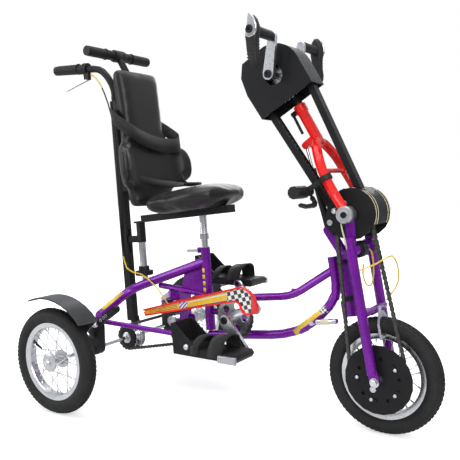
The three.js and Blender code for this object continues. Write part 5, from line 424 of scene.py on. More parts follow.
STEEL = finish("chain_steel", (0.1, 0.095, 0.09), (0.05, 0.047, 0.045), (0.35, 0.6),
               metal=0.85, grain_size=900, depth=0.15, height=0.0003, drift=160)
GOLD = finish("gold_chain", (0.82, 0.5, 0.12), (0.55, 0.3, 0.06), (0.25, 0.45),
              metal=0.9, grain_size=900, depth=0.1, height=0.0003, drift=160)
YELLOW = finish("yellow_casing", (0.82, 0.6, 0.03), (0.68, 0.47, 0.02), (0.3, 0.42),
                grain_size=1600, depth=0.08, height=0.0002)
CREAM = finish("cream_casing", (0.72, 0.66, 0.48), (0.6, 0.54, 0.38), (0.35, 0.48),
               grain_size=1600, depth=0.08, height=0.0002)
VINYL = finish("cushion_vinyl", (0.009, 0.0085, 0.0085), (0.015, 0.0135, 0.013), (0.3, 0.42),
               grain_size=420, cells=0.85, depth=0.28, height=0.0006, drift=9, sheen=0.03, specular=0.32)
print("finishes:", len(bpy.data.materials))

# %% [markdown]
# ## From a mesh to a piece
#
# Every new piece goes the same way: its points are set in a drawing, its doubles are merged, its
# faces are turned outwards, it gets a finish, and it is told which body carries it. Round faces
# are shaded smooth and edges sharper than the given angle stay crisp.

# %% Helpers that finish a piece
made = []


def piece(name, mesh, material, body, replaces=(), crisp=40, bevel=0.0, segments=2):
    """Puts a mesh in the scene as a finished piece."""
    mesh.name = name
    mesh.materials.clear()
    mesh.materials.append(material)
    mesh.shade_smooth()
    mesh.set_sharp_from_angle(angle=math.radians(crisp))
    obj = bpy.data.objects.new(name, mesh)
    scene.collection.objects.link(obj)
    if bevel:
        edge = obj.modifiers.new("edges", "BEVEL")
        edge.width = bevel
        edge.segments = segments
        edge.limit_method = "ANGLE"
        edge.angle_limit = math.radians(max(crisp, 45))
        edge.harden_normals = True
    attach(obj, body)
    if replaces:
        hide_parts(*replaces)
    made.append(name)
    return obj


def to_mesh(bm, name="mesh"):
    """The mesh of a bmesh, which is freed."""
    mesh = bpy.data.meshes.new(name)
    bm.to_mesh(mesh)
    bm.free()
    return mesh


def closed(bm, drawing=None):
    """Places the mesh by its drawing, merges doubles and turns its faces outwards."""
    if drawing is not None:
        bmesh.ops.transform(bm, matrix=drawing, verts=bm.verts)
    bmesh.ops.remove_doubles(bm, verts=bm.verts, dist=0.000004)
    bmesh.ops.recalc_face_normals(bm, faces=bm.faces)
    return to_mesh(bm)


def thickened(bm, faces, move):
    """Extrudes flat faces into a slab by moving the new side."""
    grown = bmesh.ops.extrude_face_region(bm, geom=faces)
    lifted = [g for g in grown["geom"] if isinstance(g, bmesh.types.BMVert)]
    bmesh.ops.translate(bm, verts=lifted, vec=move)


def along(start, end):
    """The matrix that lays a shape's own Z axis from start to end."""
    start, end = Vector(start), Vector(end)
    return Matrix.Translation(start) @ (end - start).to_track_quat("Z", "Y").to_matrix().to_4x4()


def turned(bm, profile, steps=32, place=None):
    """Spins a profile of (radius, height) pairs round the Z axis, then lays it in place."""
    points = [bm.verts.new((radius, 0, height)) for radius, height in profile]
    edges = [bm.edges.new(pair) for pair in zip(points, points[1:])]
    spun = bmesh.ops.spin(bm, geom=points + edges, axis=(0, 0, 1), cent=(0, 0, 0),
                          angle=2 * math.pi, steps=steps, use_merge=True, use_duplicate=False)
    verts = list({v for f in bm.faces for v in f.verts if not v.tag} | {v for v in points if v.is_valid})
    if place is not None:
        bmesh.ops.transform(bm, matrix=place, verts=verts)
    for v in bm.verts:
        v.tag = True
    return spun


def rod(bm, start, end, radius, sides=12):
    """A straight rod with closed ends."""
    length = (Vector(end) - Vector(start)).length
    matrix = along(start, end) @ Matrix.Translation((0, 0, length / 2))
    made_rod = bmesh.ops.create_cone(bm, cap_ends=True, segments=sides, radius1=radius,
                                     radius2=radius, depth=length, matrix=matrix)
    for v in made_rod["verts"]:
        v.tag = True


def collar(bm, low, high, radius, place=None):
    """A round collar between two heights, with its edges broken by a millimetre."""
    profile = [(0, low), (radius - 1, low), (radius, low + 1), (radius, high - 1),
               (radius - 1, high), (0, high)]
    turned(bm, profile, 36, place)


def block(bm, low, high, place=None):
    """A box between two corners, as the start of a bevelled shape."""
    low, high = Vector(low), Vector(high)
    size = high - low
    matrix = Matrix.Translation((low + high) / 2) @ Matrix.Diagonal((*size, 1))
    if place is not None:
        matrix = place @ matrix
    cube = bmesh.ops.create_cube(bm, size=1, matrix=matrix)
    for v in cube["verts"]:
        v.tag = True


def bolt(bm, start, end, radius, sides=6, dome=False):
    """A hexagon head or a domed head with its washer, from the seat outwards."""
    length = (Vector(end) - Vector(start)).length
    turned(bm, [(0, 0), (radius * 1.3, 0), (radius * 1.3, length * 0.22), (0, length * 0.22)], 20,
           along(start, end))
    if dome:
        arc = [(radius * math.cos(a), length * (0.22 + 0.78 * math.sin(a)))
               for a in [i * math.pi / 12 for i in range(6)]]
        turned(bm, [(0, length * 0.22), *arc, (0, length)], 20, along(start, end))
    else:
        turned(bm, [(0, length * 0.2), (radius, length * 0.2), (radius, length * 0.92),
                    (radius * 0.88, length), (0, length)], sides, along(start, end))


print("helpers ready")

# %% [markdown]
# ## The welded frame, the levers and the metal fittings
#
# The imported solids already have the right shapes. Their tubes have ten flat sides, though, and a
# glossy tube shows each flat. So each one is copied, its loose triangles are merged, and the
# copy is shaded smooth with a fine bevel on its hard edges, as a sanded and painted weld has.

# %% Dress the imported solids
DRESSED = {
    "purple_paint": (PURPLE, ["seat_tube", "rear_tube", "seat_brace", "right_lower_stay",
                              "left_lower_stay", "front_upper_tube", "down_tube", "fork"]),
    "red_paint": (RED, ["mast"]),
    "black_paint": (BLACK, ["right_axle_carrier", "left_axle_carrier", "rear_post", "inner_mast",
                            "backrest_board", "push_handle", "seat_channel", "strut_cylinder",
                            "crank_housing", "rear_chain_channel", "front_chain_channel",
                            "drum_cover", "drive_disc"]),
    "black_plastic": (PLASTIC, ["right_foot_plate", "left_foot_plate", "knob_wheel",
                                "mast_clamp_lever", "brake_lever", "parking_lever"]),
    "grip_rubber": (GRIP, ["brake_grip"]),
    "fender_grey": (FENDER, ["right_fender", "left_fender"]),
    "chrome": (CHROME, ["front_seat_post", "rear_seat_post", "strut_rod", "rear_axle"]),
    "silver": (SILVER, ["foot_crank", "hand_crank", "idler_hub", "right_brake_arm",
                        "left_brake_arm", "push_brake_lever", "seat_clamp_lever"]),
    "chain_steel": (STEEL, ["jackshaft"]),
    "yellow_casing": (YELLOW, ["front_brake_cable"]),
    "guard_print": (RED, ["chain_guard"]),
}


def cad_copy(label):
    """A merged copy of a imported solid, with its flat triangles joined."""
    bm = bmesh.new()
    bm.from_mesh(frame["nodes"][label].data)
    bmesh.ops.remove_doubles(bm, verts=bm.verts, dist=0.00001)
    bmesh.ops.dissolve_limit(bm, angle_limit=math.radians(0.5), verts=bm.verts, edges=bm.edges)
    return bm


def body_of(label):
    """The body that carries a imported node."""
    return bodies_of(frame["nodes"][label])[0]


for material, labels in DRESSED.values():
    for label in labels:
        mesh = to_mesh(cad_copy(label), label)
        piece(label + "_dressed", mesh, material, body_of(label), (label,), 42, 0.0005)
print("dressed solids:", len(made))

# %% [markdown]
# ## Tyres
#
# A twelve inch tyre is a round rubber tube with a flat-topped tread. The section is drawn once
# and spun round the axle. The tread is cut in the real one; here small blocks stand on a slightly
# lower crown, in rows that run round it, with longer lugs on the shoulders.

# %% Spin the tyres and set the tread
WHEELS = {
    "right_rear": (on_shaft(REAR_AXLE, -REAR_WHEEL_SIDE), "rear_axle_set"),
    "left_rear": (on_shaft(REAR_AXLE, REAR_WHEEL_SIDE), "left_wheel_set"),
    "front": (on_shaft(FRONT_AXLE), "front_wheel_set"),
}
TYRE_SECTION = [(101.5, 11.5), (106, 13.6), (109.5, 14.6), (113, 18.6), (118, 21.4), (124, 22.6),
                (130, 22), (135.5, 19.8), (140.5, 16), (143.6, 11), (145.2, 5.5), (145.6, 0)]
LUGS = 72
TYRE_STEPS = 96
LUG_HALF_HEIGHT, LUG_HALF_LENGTH = 1.9, 3.6
# Each row of lugs: its two sides, its two radii, its shift round the tyre in lugs, its slant.
LUG_ROWS = [
    (-3.4, 3.4, 144.2, 147, 0, 0.0),
    (5.2, 10.6, 141.6, 145.6, 0.5, 0.24),
    (-10.6, -5.2, 141.6, 145.6, 0.5, -0.24),
    (12.6, 18.4, 136.0, 141.6, 0, 0.62),
    (-18.4, -12.6, 136.0, 141.6, 0, -0.62),
]


def sideways(centre):
    """The matrix that turns a wheel's own Z axis to the left, at its centre, in millimetres."""
    return UPRIGHT @ Matrix.Translation(centre) @ Matrix.Rotation(math.radians(-90), 4, "X")


def tyre(name, centre, body):
    """A hollow tyre with its rows of lugs."""
    bm = bmesh.new()
    outside = TYRE_SECTION + [(r, -y) for r, y in reversed(TYRE_SECTION[:-1])]
    inside = [(r * 0.93 + 7.2, y * 0.86) for r, y in reversed(outside)]
    turned(bm, outside + inside + outside[:1], TYRE_STEPS)
    for i in range(LUGS):
        for y0, y1, r0, r1, shift, tip in LUG_ROWS:
            around = Matrix.Rotation((i + shift) * 2 * math.pi / LUGS, 4, "Z")
            middle = Vector(((r0 + r1) / 2, 0, (y0 + y1) / 2))
            lean = Matrix.Translation(middle) @ Matrix.Rotation(-tip, 4, "Y")
            corner = Vector((LUG_HALF_HEIGHT, LUG_HALF_LENGTH, (y1 - y0) / 2))
            block(bm, -corner, corner, around @ lean)
    mesh = closed(bm, sideways(centre))
    piece(name + "_tyre_dressed", mesh, RUBBER, body, (name + "_tyre",), 30)


for name, (centre, body) in WHEELS.items():
    tyre(name, centre, body)
print("tread blocks to a tyre:", LUGS * len(LUG_ROWS))

# %% [markdown]
# ## Rims, spokes and hubs
#
# The rims are polished alloy with two low walls. Twenty-eight thin spokes leave the hub's two
# flanges at a slant, half of them forwards and half backwards, so each pair crosses. Every spoke
# ends in a small nipple at the rim, and the valve stands between two of them.

# %% Build the three wheels
RIM_SECTION = [(93, 9), (95, 12.2), (100, 13.6), (108, 14.5), (108.4, 13.2), (105.6, 12.2),
               (101.5, 11.6), (99, 8)]
SPOKES = 28
FLANGE_RADIUS, FLANGE_SIDE = 23.0, 21.5
SPOKE_SLANT = math.radians(46)
SPOKE_RADIUS, SPOKE_REACH, SPOKE_SIDE = 1.05, 93.4, 1.6
NIPPLE_RADIUS, NIPPLE_LENGTH = 2.1, 9
VALVE_ANGLE, VALVE_REACH = math.radians(205), 93.2
VALVE_STEM = [(0, -31), (2.4, -31), (2.6, -24), (3.4, -23), (3.4, -10), (4.4, -7), (4.4, 0), (0, 0)]


def wheel(name, centre, body, hub_profile):
    """The rim, the spokes, the hub and the valve of one wheel."""
    bm = bmesh.new()
    ring = RIM_SECTION + [(r, -y) for r, y in reversed(RIM_SECTION)] + RIM_SECTION[:1]
    turned(bm, ring, TYRE_STEPS)
    mesh = closed(bm, sideways(centre))
    piece(name + "_rim", mesh, SILVER, body, (name + "_wheel",), 28)

    bm = bmesh.new()
    for i in range(SPOKES):
        angle = i * 2 * math.pi / SPOKES
        side = 1 if i % 2 else -1
        slant = SPOKE_SLANT * (1 if (i // 2) % 2 else -1)
        foot = Vector((FLANGE_RADIUS * math.cos(angle + slant), FLANGE_RADIUS * math.sin(angle + slant),
                       side * FLANGE_SIDE))
        head = Vector((SPOKE_REACH * math.cos(angle), SPOKE_REACH * math.sin(angle), side * SPOKE_SIDE))
        rod(bm, foot, head, SPOKE_RADIUS, 6)
        way = (foot - head).normalized()
        rod(bm, head, head + way * NIPPLE_LENGTH, NIPPLE_RADIUS, 6)
        rod(bm, foot - Vector((0, 0, side * 3)), foot + Vector((0, 0, side * 2.4)), 1.9, 6)
    mesh = closed(bm, sideways(centre))
    piece(name + "_spokes", mesh, CHROME, body, (), 40)

    bm = bmesh.new()
    half = hub_profile + [(r, -y) for r, y in reversed(hub_profile)]
    turned(bm, [(0, half[0][1]), *half, (0, half[-1][1])], 40)
    mesh = closed(bm, sideways(centre))
    piece(name + "_hub", mesh, ALLOY, body, (), 28)

    bm = bmesh.new()
    stem = sideways(centre) @ Matrix.Rotation(VALVE_ANGLE, 4, "Z")
    turned(bm, VALVE_STEM, 12,
           Matrix.Translation((VALVE_REACH, 0, 0)) @ Matrix.Rotation(math.radians(90), 4, "Y"))
    mesh = closed(bm, stem)
    piece(name + "_valve", mesh, RUBBER, body, (), 35)


FLANGE = [(13.4, 27), (20, 26.4), (25.6, 23.6), (26, 20.2), (15.4, 18.6)]
REAR_HUB = [*FLANGE, (13, 14), (12.6, 0)]
FRONT_HUB = [(5.8, 78), (5.8, 30), *FLANGE, (12.6, 0)]
# Each pair of nuts: its shaft, where it seats and ends, its radius, and the node that carries it.
AXLE_NUTS = [
    ("front_axle_nuts", FRONT_AXLE, 70, 80, 9, False, "fork"),
    ("rear_axle_nuts", REAR_AXLE, 355.5, 364, 8.5, True, "rear_axle"),
]
for name, (centre, body) in WHEELS.items():
    wheel(name, centre, body, FRONT_HUB if name == "front" else REAR_HUB)

for name, shaft, seat_y, end_y, radius, dome, label in AXLE_NUTS:
    bm = bmesh.new()
    for side in (-1, 1):
        seat_at = spot(*on_shaft(shaft, side * seat_y))
        bolt(bm, seat_at, spot(*on_shaft(shaft, side * end_y)), radius * MM, dome=dome)
    piece(name, closed(bm), CHROME, body_of(label), (), 30)
print("wheels:", list(WHEELS))

# %% [markdown]
# ## Chains
#
# A bicycle chain is a row of pins half an inch apart, joined in turn by narrow and wide plates.
# The pins are set out along the belt line round two toothed wheels, and one link of each kind is
# copied from pin to pin. The links are plain, because there are more than two hundred of them.

# %% Lay the chain links round their toothed wheels
PITCH = 12.7
PLATE_WALL = 1.1
LINK_PIN_RADIUS, LINK_PIN_PROUD = 2.3, 0.7


def pins_round(low, low_teeth, high, high_teeth):
    """The places of the pins of a chain round two toothed wheels, in the plane of the wheels."""
    r0 = PITCH / (2 * math.sin(math.pi / low_teeth))
    r1 = PITCH / (2 * math.sin(math.pi / high_teeth))
    reach = Vector(high) - Vector(low)
    heading, lean = math.atan2(reach.y, reach.x), math.asin((r0 - r1) / reach.length)
    right, left = heading - math.pi / 2 + lean, heading + math.pi / 2 - lean
    run = math.sqrt(reach.length ** 2 - (r0 - r1) ** 2)
    parts = [run, r1 * (left - right), run, r0 * (2 * math.pi - left + right)]
    count = 2 * round(sum(parts) / PITCH / 2)

    def rim(centre, radius, angle):
        return Vector(centre) + radius * Vector((math.cos(angle), math.sin(angle)))

    def at(s):
        if s < parts[0]:
            return rim(low, r0, right).lerp(rim(high, r1, right), s / run)
        s -= parts[0]
        if s < parts[1]:
            return rim(high, r1, right + s / r1)
        s -= parts[1]
        if s < parts[2]:
            return rim(high, r1, left).lerp(rim(low, r0, left), s / run)
        return rim(low, r0, left + (s - parts[2]) / r0)

    return [at(sum(parts) * i / count) for i in range(count)]


def link_mesh(plate_y, half_height, waist):
    """Two waisted plates and a pin, lying along X from one pin to the next."""
    bm = bmesh.new()
    edge = [(-half_height * 0.9, waist), (-half_height * 0.35, half_height),
            (half_height * 0.5, half_height * 0.95), (PITCH / 2, waist),
            (PITCH - half_height * 0.5, half_height * 0.95),
            (PITCH + half_height * 0.35, half_height), (PITCH + half_height * 0.9, waist)]
    ring = edge + [(x, -y) for x, y in reversed(edge)]
    for y in (-plate_y, plate_y - PLATE_WALL):
        face = bm.faces.new([bm.verts.new((px, pz, y)) for px, pz in ring])
        thickened(bm, [face], (0, 0, PLATE_WALL))
    pin_end = Vector((0, 0, plate_y + LINK_PIN_PROUD))
    rod(bm, -pin_end, pin_end, LINK_PIN_RADIUS, 6)
    bmesh.ops.recalc_face_normals(bm, faces=bm.faces)
    return to_mesh(bm, "link")


WIDE = link_mesh(4.1, 4.5, 3.3)
NARROW = link_mesh(2.9, 4.3, 3.1)


def lay_links(bm, pins, y, closed_loop=True):
    """One link from each pin to the next, wide and narrow by turns."""
    pairs = list(zip(pins, pins[1:] + pins[:1])) if closed_loop else list(zip(pins, pins[1:]))
    for i, (start, end) in enumerate(pairs):
        before = len(bm.verts)
        bm.from_mesh(WIDE if i % 2 else NARROW)
        bm.verts.ensure_lookup_table()
        way = (end - start).normalized()
        matrix = Matrix(((way.x, -way.y, 0, start.x), (0, 0, 1, y),
                         (way.y, way.x, 0, start.y), (0, 0, 0, 1)))
        bmesh.ops.transform(bm, matrix=matrix, verts=bm.verts[before:])


# Each chain: its two toothed wheels with their teeth, its place along y, and its body.
CHAINS = {
    "front_chain": (FRONT_AXLE, 36, JACK, 22, -40, "fork_set"),
    "hand_chain": (JACK, 18, HAND_CRANK, 34, -25, "mast_set"),
    "rear_chain": (FOOT_CRANK, 28, REAR_AXLE, 18, -34, "main_frame"),
}
for name, (low, low_teeth, high, high_teeth, y, body) in CHAINS.items():
    bm = bmesh.new()
    pins = pins_round(low, low_teeth, high, high_teeth)
    lay_links(bm, pins, y)
    mesh = closed(bm, UPRIGHT)
    piece(name + "_links", mesh, STEEL, body, (name,), 35)
    print(name, "links:", len(pins))

# %% [markdown]
# ## The drum and its gold chain
#
# The black drum covers the cross shaft. Two slots run round its front, and a gold chain shows in
# each. The chain lies on a plastic guide just under the cover, so guide and chain are both arcs
# about the shaft, spun and laid link by link. The chain stays with the fork and the cover tilts
# with the mast, and at the ends of the tilt they graze each other.

# %% Guides and gold chain in the slots
GUIDE_SIDES = ((-49.8, -33.5), (33.5, 49.8))
LIP_SIDES = ((-47.6, -46.2), (-33.8, -32.4), (32.4, 33.8), (46.2, 47.6))
GOLD_RADIUS = 56.2
# Each gold chain: its place along y, and the angles at which its arc starts and ends.
GOLD_ARCS = [(-40, -16, 56), (40, -10, 56)]


def arc_pins(centre, radius, start, end):
    """Pins a chain pitch apart on an arc between two angles in degrees."""
    step = 2 * math.asin(PITCH / 2 / radius)
    count = int(math.radians(end - start) / step)
    return [Vector(centre) + radius * Vector((math.cos(math.radians(start) + i * step),
                                              math.sin(math.radians(start) + i * step)))
            for i in range(count + 1)]


def arc_bands(sides, r0, r1, start, sweep, steps):
    """Flat bands bent round the drum's shaft, one between each pair of sides, in degrees."""
    bm = bmesh.new()
    for y0, y1 in sides:
        section = [bm.verts.new(p) for p in ((r0, y0, 0), (r1, y0, 0), (r1, y1, 0), (r0, y1, 0))]
        face = bm.faces.new(section)
        bmesh.ops.rotate(bm, verts=section, cent=(0, 0, 0),
                         matrix=Matrix.Rotation(math.radians(start), 3, "Y"))
        bmesh.ops.spin(bm, geom=[face], axis=(0, 1, 0), cent=(0, 0, 0), dvec=(0, 0, 0),
                       angle=-math.radians(sweep), steps=steps, use_merge=False, use_duplicate=False)
    return closed(bm, UPRIGHT @ Matrix.Translation(on_shaft(JACK)))


mesh = arc_bands(GUIDE_SIDES, 54, 56.5, 12, 205, 40)
piece("drum_guides", mesh, PLASTIC, "fork_set", (), 30)

bm = bmesh.new()
for y, start, end in GOLD_ARCS:
    lay_links(bm, arc_pins(JACK, GOLD_RADIUS, start, end), y, False)
piece("drum_gold_chain", closed(bm, UPRIGHT), GOLD, "fork_set", (), 35)

mesh = arc_bands(LIP_SIDES, 63.6, 65.2, 22, 84, 24)
piece("drum_slot_lips", mesh, CREAM, "mast_set", (), 30)
print("drum finished")

# %% [markdown]
# ## The printed guard
#
# The chain guard is a moulded tray with a red rim. Its panel carries a print: a yellow wedge with
# dark streaks that widens towards the front, a plain yellow band with blue edges, and a flag of
# black and white squares. The print is worked out from the place ahead, u, and from the share of
# the panel's height, v, which lies between two sloping lines.

# %% The guard's panel and its print
GUARD_EDGE = [(98, 253), (107, 233), (415, 303), ((432, 309), (441, 300)), ((448, 276), (463, 273)),
              (490, 279), ((506, 283), (499, 303)), ((490, 345), (449, 351))]
GUARD_SIDE, GUARD_RIM, GUARD_WALL = -68.1, 5.4, 1.0
LOW_SLOPE, LOW_START = 0.2273, 208.7
HIGH_SLOPE, HIGH_START = 0.2792, 225.6
STREAKS, SLATS, BAND, EDGE_LINES, SQUARES = (120, 226), (234, 262), (266, 402), (236, 402), (402, 478)
STREAK_SHARES, BAND_SHARES, EDGE_SHARES = (0.2, 0.75), (0.62, 0.72), (0.2, 0.84)
GUARD_SQUARE, FILM_SQUARE = 11.5, 6
SQUARE_LEAN = 0.25
FLAG_START = 946
WHITE_PRINT, BLACK_PRINT = (0.86, 0.86, 0.86), (0.012, 0.012, 0.014)


def edge_points(corners, steps=6):
    """Straight corners, and bends given as (control, end)."""
    points = []
    for corner in corners:
        if isinstance(corner[0], tuple):
            start, bend, end = Vector(points[-1]), Vector(corner[0]), Vector(corner[1])
            for i in range(1, steps + 1):
                t = i / steps
                points.append(tuple((1 - t) ** 2 * start + 2 * t * (1 - t) * bend + t * t * end))
        else:
            points.append(corner)
    return points


bm = bmesh.new()
panel = bm.faces.new([bm.verts.new((x, GUARD_SIDE, z)) for x, z in edge_points(GUARD_EDGE)])
inset = bmesh.ops.inset_region(bm, faces=[panel], thickness=GUARD_RIM, use_even_offset=True)
bmesh.ops.delete(bm, geom=inset["faces"], context="FACES")
thickened(bm, bm.faces[:], (0, GUARD_WALL, 0))
bmesh.ops.triangulate(bm, faces=[f for f in bm.faces if len(f.verts) > 4])
guard_mesh = closed(bm, UPRIGHT)


def reckon(tree, operation, first, second=0.0, third=None):
    """One math node whose inputs are numbers or sockets."""
    made_node = tree.nodes.new("ShaderNodeMath")
    made_node.operation = operation
    for socket, value in zip(made_node.inputs, (first, second, third)):
        if value is None:
            continue
        if isinstance(value, (int, float)):
            socket.default_value = value
        else:
            tree.links.new(value, socket)
    return made_node.outputs[0]


def layer(tree, mask, under, over):
    """Colour over laid on colour under where the mask is 1."""
    mixed = tree.nodes.new("ShaderNodeMix")
    mixed.data_type = "RGBA"
    tree.links.new(mask, mixed.inputs["Factor"])
    for key, value in (("A", under), ("B", over)):
        if isinstance(value, tuple):
            mixed.inputs[key].default_value = (*value, 1)
        else:
            tree.links.new(value, mixed.inputs[key])
    return mixed.outputs["Result"]


def between(tree, value, low, high):
    """1 where the value lies between low and high."""
    above = reckon(tree, "GREATER_THAN", value, low)
    return reckon(tree, "MULTIPLY", above, reckon(tree, "LESS_THAN", value, high))


def object_axes(tree):
    """The X, Y and Z of the piece's own coordinates."""
    place = tree.nodes.new("ShaderNodeTexCoord")
    axes = tree.nodes.new("ShaderNodeSeparateXYZ")
    tree.links.new(place.outputs["Object"], axes.inputs[0])
    return axes.outputs


def ahead_and_up(tree):
    """The maker's millimetres ahead of the rear axle and above the floor."""
    axes = object_axes(tree)
    ahead_mm = reckon(tree, "MULTIPLY_ADD", axes["X"], 1000, MIDDLE)
    return ahead_mm, reckon(tree, "MULTIPLY", axes["Z"], 1000)


def base_colour(tree):
    """The socket of the base colour and the colour that feeds it."""
    socket = tree.nodes["Principled BSDF"].inputs["Base Color"]
    return socket, socket.links[0].from_socket


def chequers(tree, first, second, size):
    """A number that is odd and even by turns over squares of a size."""
    columns = reckon(tree, "FLOOR", reckon(tree, "DIVIDE", first, size))
    rows = reckon(tree, "FLOOR", reckon(tree, "DIVIDE", second, size))
    return reckon(tree, "FLOORED_MODULO", reckon(tree, "ADD", columns, rows), 2)


PRINT = finish("guard_print", (0.86, 0.6, 0.02), (0.8, 0.5, 0.02), (0.22, 0.34), coat=0.6,
               grain_size=900, depth=0.04, height=0.0002)
tree = PRINT.node_tree
base_socket, base = base_colour(tree)
u, z = ahead_and_up(tree)
low_edge = reckon(tree, "MULTIPLY_ADD", u, LOW_SLOPE, LOW_START)
high_edge = reckon(tree, "MULTIPLY_ADD", u, HIGH_SLOPE, HIGH_START)
panel_height = reckon(tree, "SUBTRACT", high_edge, low_edge)
v = reckon(tree, "DIVIDE", reckon(tree, "SUBTRACT", z, low_edge), panel_height)
depth_share = reckon(tree, "MAXIMUM", reckon(tree, "SUBTRACT", 0.75, v), 0)
wedge = layer(tree, reckon(tree, "SMOOTH_MIN", depth_share, 1, 0.2), base, (0.86, 0.24, 0.01))
saw = reckon(tree, "FRACT", reckon(tree, "MULTIPLY", v, 6))
streak = reckon(tree, "MULTIPLY", reckon(tree, "GREATER_THAN", saw, 0.7), between(tree, u, *STREAKS))
streak = reckon(tree, "MULTIPLY", streak, between(tree, v, *STREAK_SHARES))
colour = layer(tree, streak, wedge, (0.05, 0.03, 0.02))
slats = reckon(tree, "FRACT", reckon(tree, "MULTIPLY", reckon(tree, "SUBTRACT", u, z), 0.09))
block_colour = layer(tree, reckon(tree, "GREATER_THAN", slats, 0.5), (0.82, 0.84, 0.86), (0.05, 0.12, 0.5))
colour = layer(tree, between(tree, u, *SLATS), colour, block_colour)
band = layer(tree, between(tree, v, *BAND_SHARES), base, (0.85, 0.85, 0.82))
colour = layer(tree, between(tree, u, *BAND), colour, band)
edges = reckon(tree, "SUBTRACT", 1, between(tree, v, *EDGE_SHARES))
edges = reckon(tree, "MULTIPLY", edges, between(tree, u, *EDGE_LINES))
colour = layer(tree, edges, colour, (0.03, 0.05, 0.3))
slant = reckon(tree, "ADD", u, reckon(tree, "MULTIPLY", z, SQUARE_LEAN))
rise = reckon(tree, "SUBTRACT", z, reckon(tree, "MULTIPLY", u, SQUARE_LEAN))
odd = chequers(tree, slant, rise, GUARD_SQUARE)
squares = layer(tree, reckon(tree, "GREATER_THAN", odd, 0.5), WHITE_PRINT, BLACK_PRINT)
colour = layer(tree, between(tree, u, *SQUARES), colour, squares)
colour = layer(tree, reckon(tree, "GREATER_THAN", u, SQUARES[1]), colour, (0.74, 0.022, 0.012))
tree.links.new(colour, base_socket)
piece("guard_panel", guard_mesh, PRINT, "main_frame", (), 30)
print("guard panel printed")

# %% [markdown]
# The rear brake's casing is yellow near the lever and below the seat, and black along the post.

# %% The rear casing in two colours
CASING = finish("rear_casing", (0.82, 0.6, 0.03), (0.68, 0.47, 0.02), (0.3, 0.42),
                grain_size=900, depth=0.05, height=0.0003)
BLACK_FROM, BLACK_TO = 400, 930
tree = CASING.node_tree
height = reckon(tree, "MULTIPLY", object_axes(tree)["Z"], 1000)
base_socket, base = base_colour(tree)
colour = layer(tree, between(tree, height, BLACK_FROM, BLACK_TO), base, (0.012, 0.012, 0.013))
tree.links.new(colour, base_socket)
mesh = closed(cad_copy("rear_brake_cable"))
piece("rear_brake_cable_dressed", mesh, CASING, body_of("rear_brake_cable"),
      ("rear_brake_cable",), 42)

# %% [markdown]
# ## Stickers on the tubes
#
# Thin plastic stickers follow the round tubes: plain yellow strips on the seat tube and the rear
# tube, and a longer one with a few black and white squares on the rising down tube. Each is a
# short line spun part of the way round its tube, and given the thickness of film.

# %% Wrap the stickers
FILM, FLAG = (finish(label, (0.86, 0.6, 0.02), (0.8, 0.52, 0.02), (0.24, 0.36), coat=0.5,
                     grain_size=900, depth=0.03, height=0.0002) for label in ("yellow_film", "flag_film"))
tree = FLAG.node_tree
u, z = ahead_and_up(tree)
squares = layer(tree, chequers(tree, u, z, FILM_SQUARE), WHITE_PRINT, BLACK_PRINT)
base_socket, base = base_colour(tree)
colour = layer(tree, reckon(tree, "GREATER_THAN", reckon(tree, "ADD", u, z), FLAG_START), base, squares)
tree.links.new(colour, base_socket)


FILM_THICKNESS = 0.0003
# Each sticker: the ends of its line, its tube's radius, the way it faces and its arc in degrees.
STICKERS = [
    ("rear_tube_sticker", (-1.5, -138, 245.8), (8.3, -58, 285), 14.6, (0.1, -0.35, 1), 70, FILM),
    ("down_tube_sticker", (578, 0, 227), (672, 0, 302), 12.9, (0.2, -1, 0.1), 92, FLAG),
]


def sticker(name, start, end, radius, toward, arc, material, body):
    """A strip of film on a tube from start to end, facing toward, in millimetres."""
    lay = along(start, end)
    length = (Vector(end) - Vector(start)).length
    local = lay.to_3x3().inverted() @ Vector(toward)
    first = math.atan2(local.y, local.x) - math.radians(arc) / 2
    bm = bmesh.new()
    a, b = bm.verts.new((radius, 0, 0)), bm.verts.new((radius, 0, length))
    line = bm.edges.new((a, b))
    bmesh.ops.rotate(bm, verts=[a, b], cent=(0, 0, 0), matrix=Matrix.Rotation(first, 3, "Z"))
    bmesh.ops.spin(bm, geom=[a, b, line], axis=(0, 0, 1), cent=(0, 0, 0), dvec=(0, 0, 0),
                   angle=math.radians(arc), steps=14, use_merge=False, use_duplicate=False)
    bmesh.ops.transform(bm, matrix=UPRIGHT @ lay, verts=bm.verts)
    obj = piece(name, to_mesh(bm, name), material, body, (), 40)
    film = obj.modifiers.new("film", "SOLIDIFY")
    film.thickness = FILM_THICKNESS
    film.offset = 1


for i in range(4):
    low = 312 + 19 * i
    back = 1.2 * i
    sticker(f"seat_tube_sticker_{i + 1}", (289.9 - back, 0, low), (289.1 - back, 0, low + 13), 14.6,
            (-0.25, -1, 0.1), 44, FILM, "main_frame")
for name, start, end, radius, toward, arc, material in STICKERS:
    sticker(name, start, end, radius, toward, arc, material, "main_frame")
print("stickers done")

# %% [markdown]
# ## Padded seat and back
#
# The seat, the tall back and the two hip pads are foam under black vinyl, drawn tight on a board.
# The back starts as a block with two wings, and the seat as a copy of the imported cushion. The skin
# is rebuilt in small even squares, and a short cloth simulation with air pressure inside swells
# it, with the swelling held to a few millimetres, so the edges stay round and the faces crown.

# %% A helper that stuffs a pad
CLOTH_FRAMES = 20


def evaluated(obj):
    """The mesh of an object with its modifiers applied."""
    return bpy.data.meshes.new_from_object(obj.evaluated_get(bpy.context.evaluated_depsgraph_get()))


def smoothed(mesh, times):
    """Evens out a mesh by moving its points towards their neighbours."""
    bm = bmesh.new()
    bm.from_mesh(mesh)
    for _ in range(times):
        bmesh.ops.smooth_vert(bm, verts=bm.verts, factor=0.5, use_axis_x=True, use_axis_y=True,
                              use_axis_z=True)
    bm.to_mesh(mesh)
    bm.free()


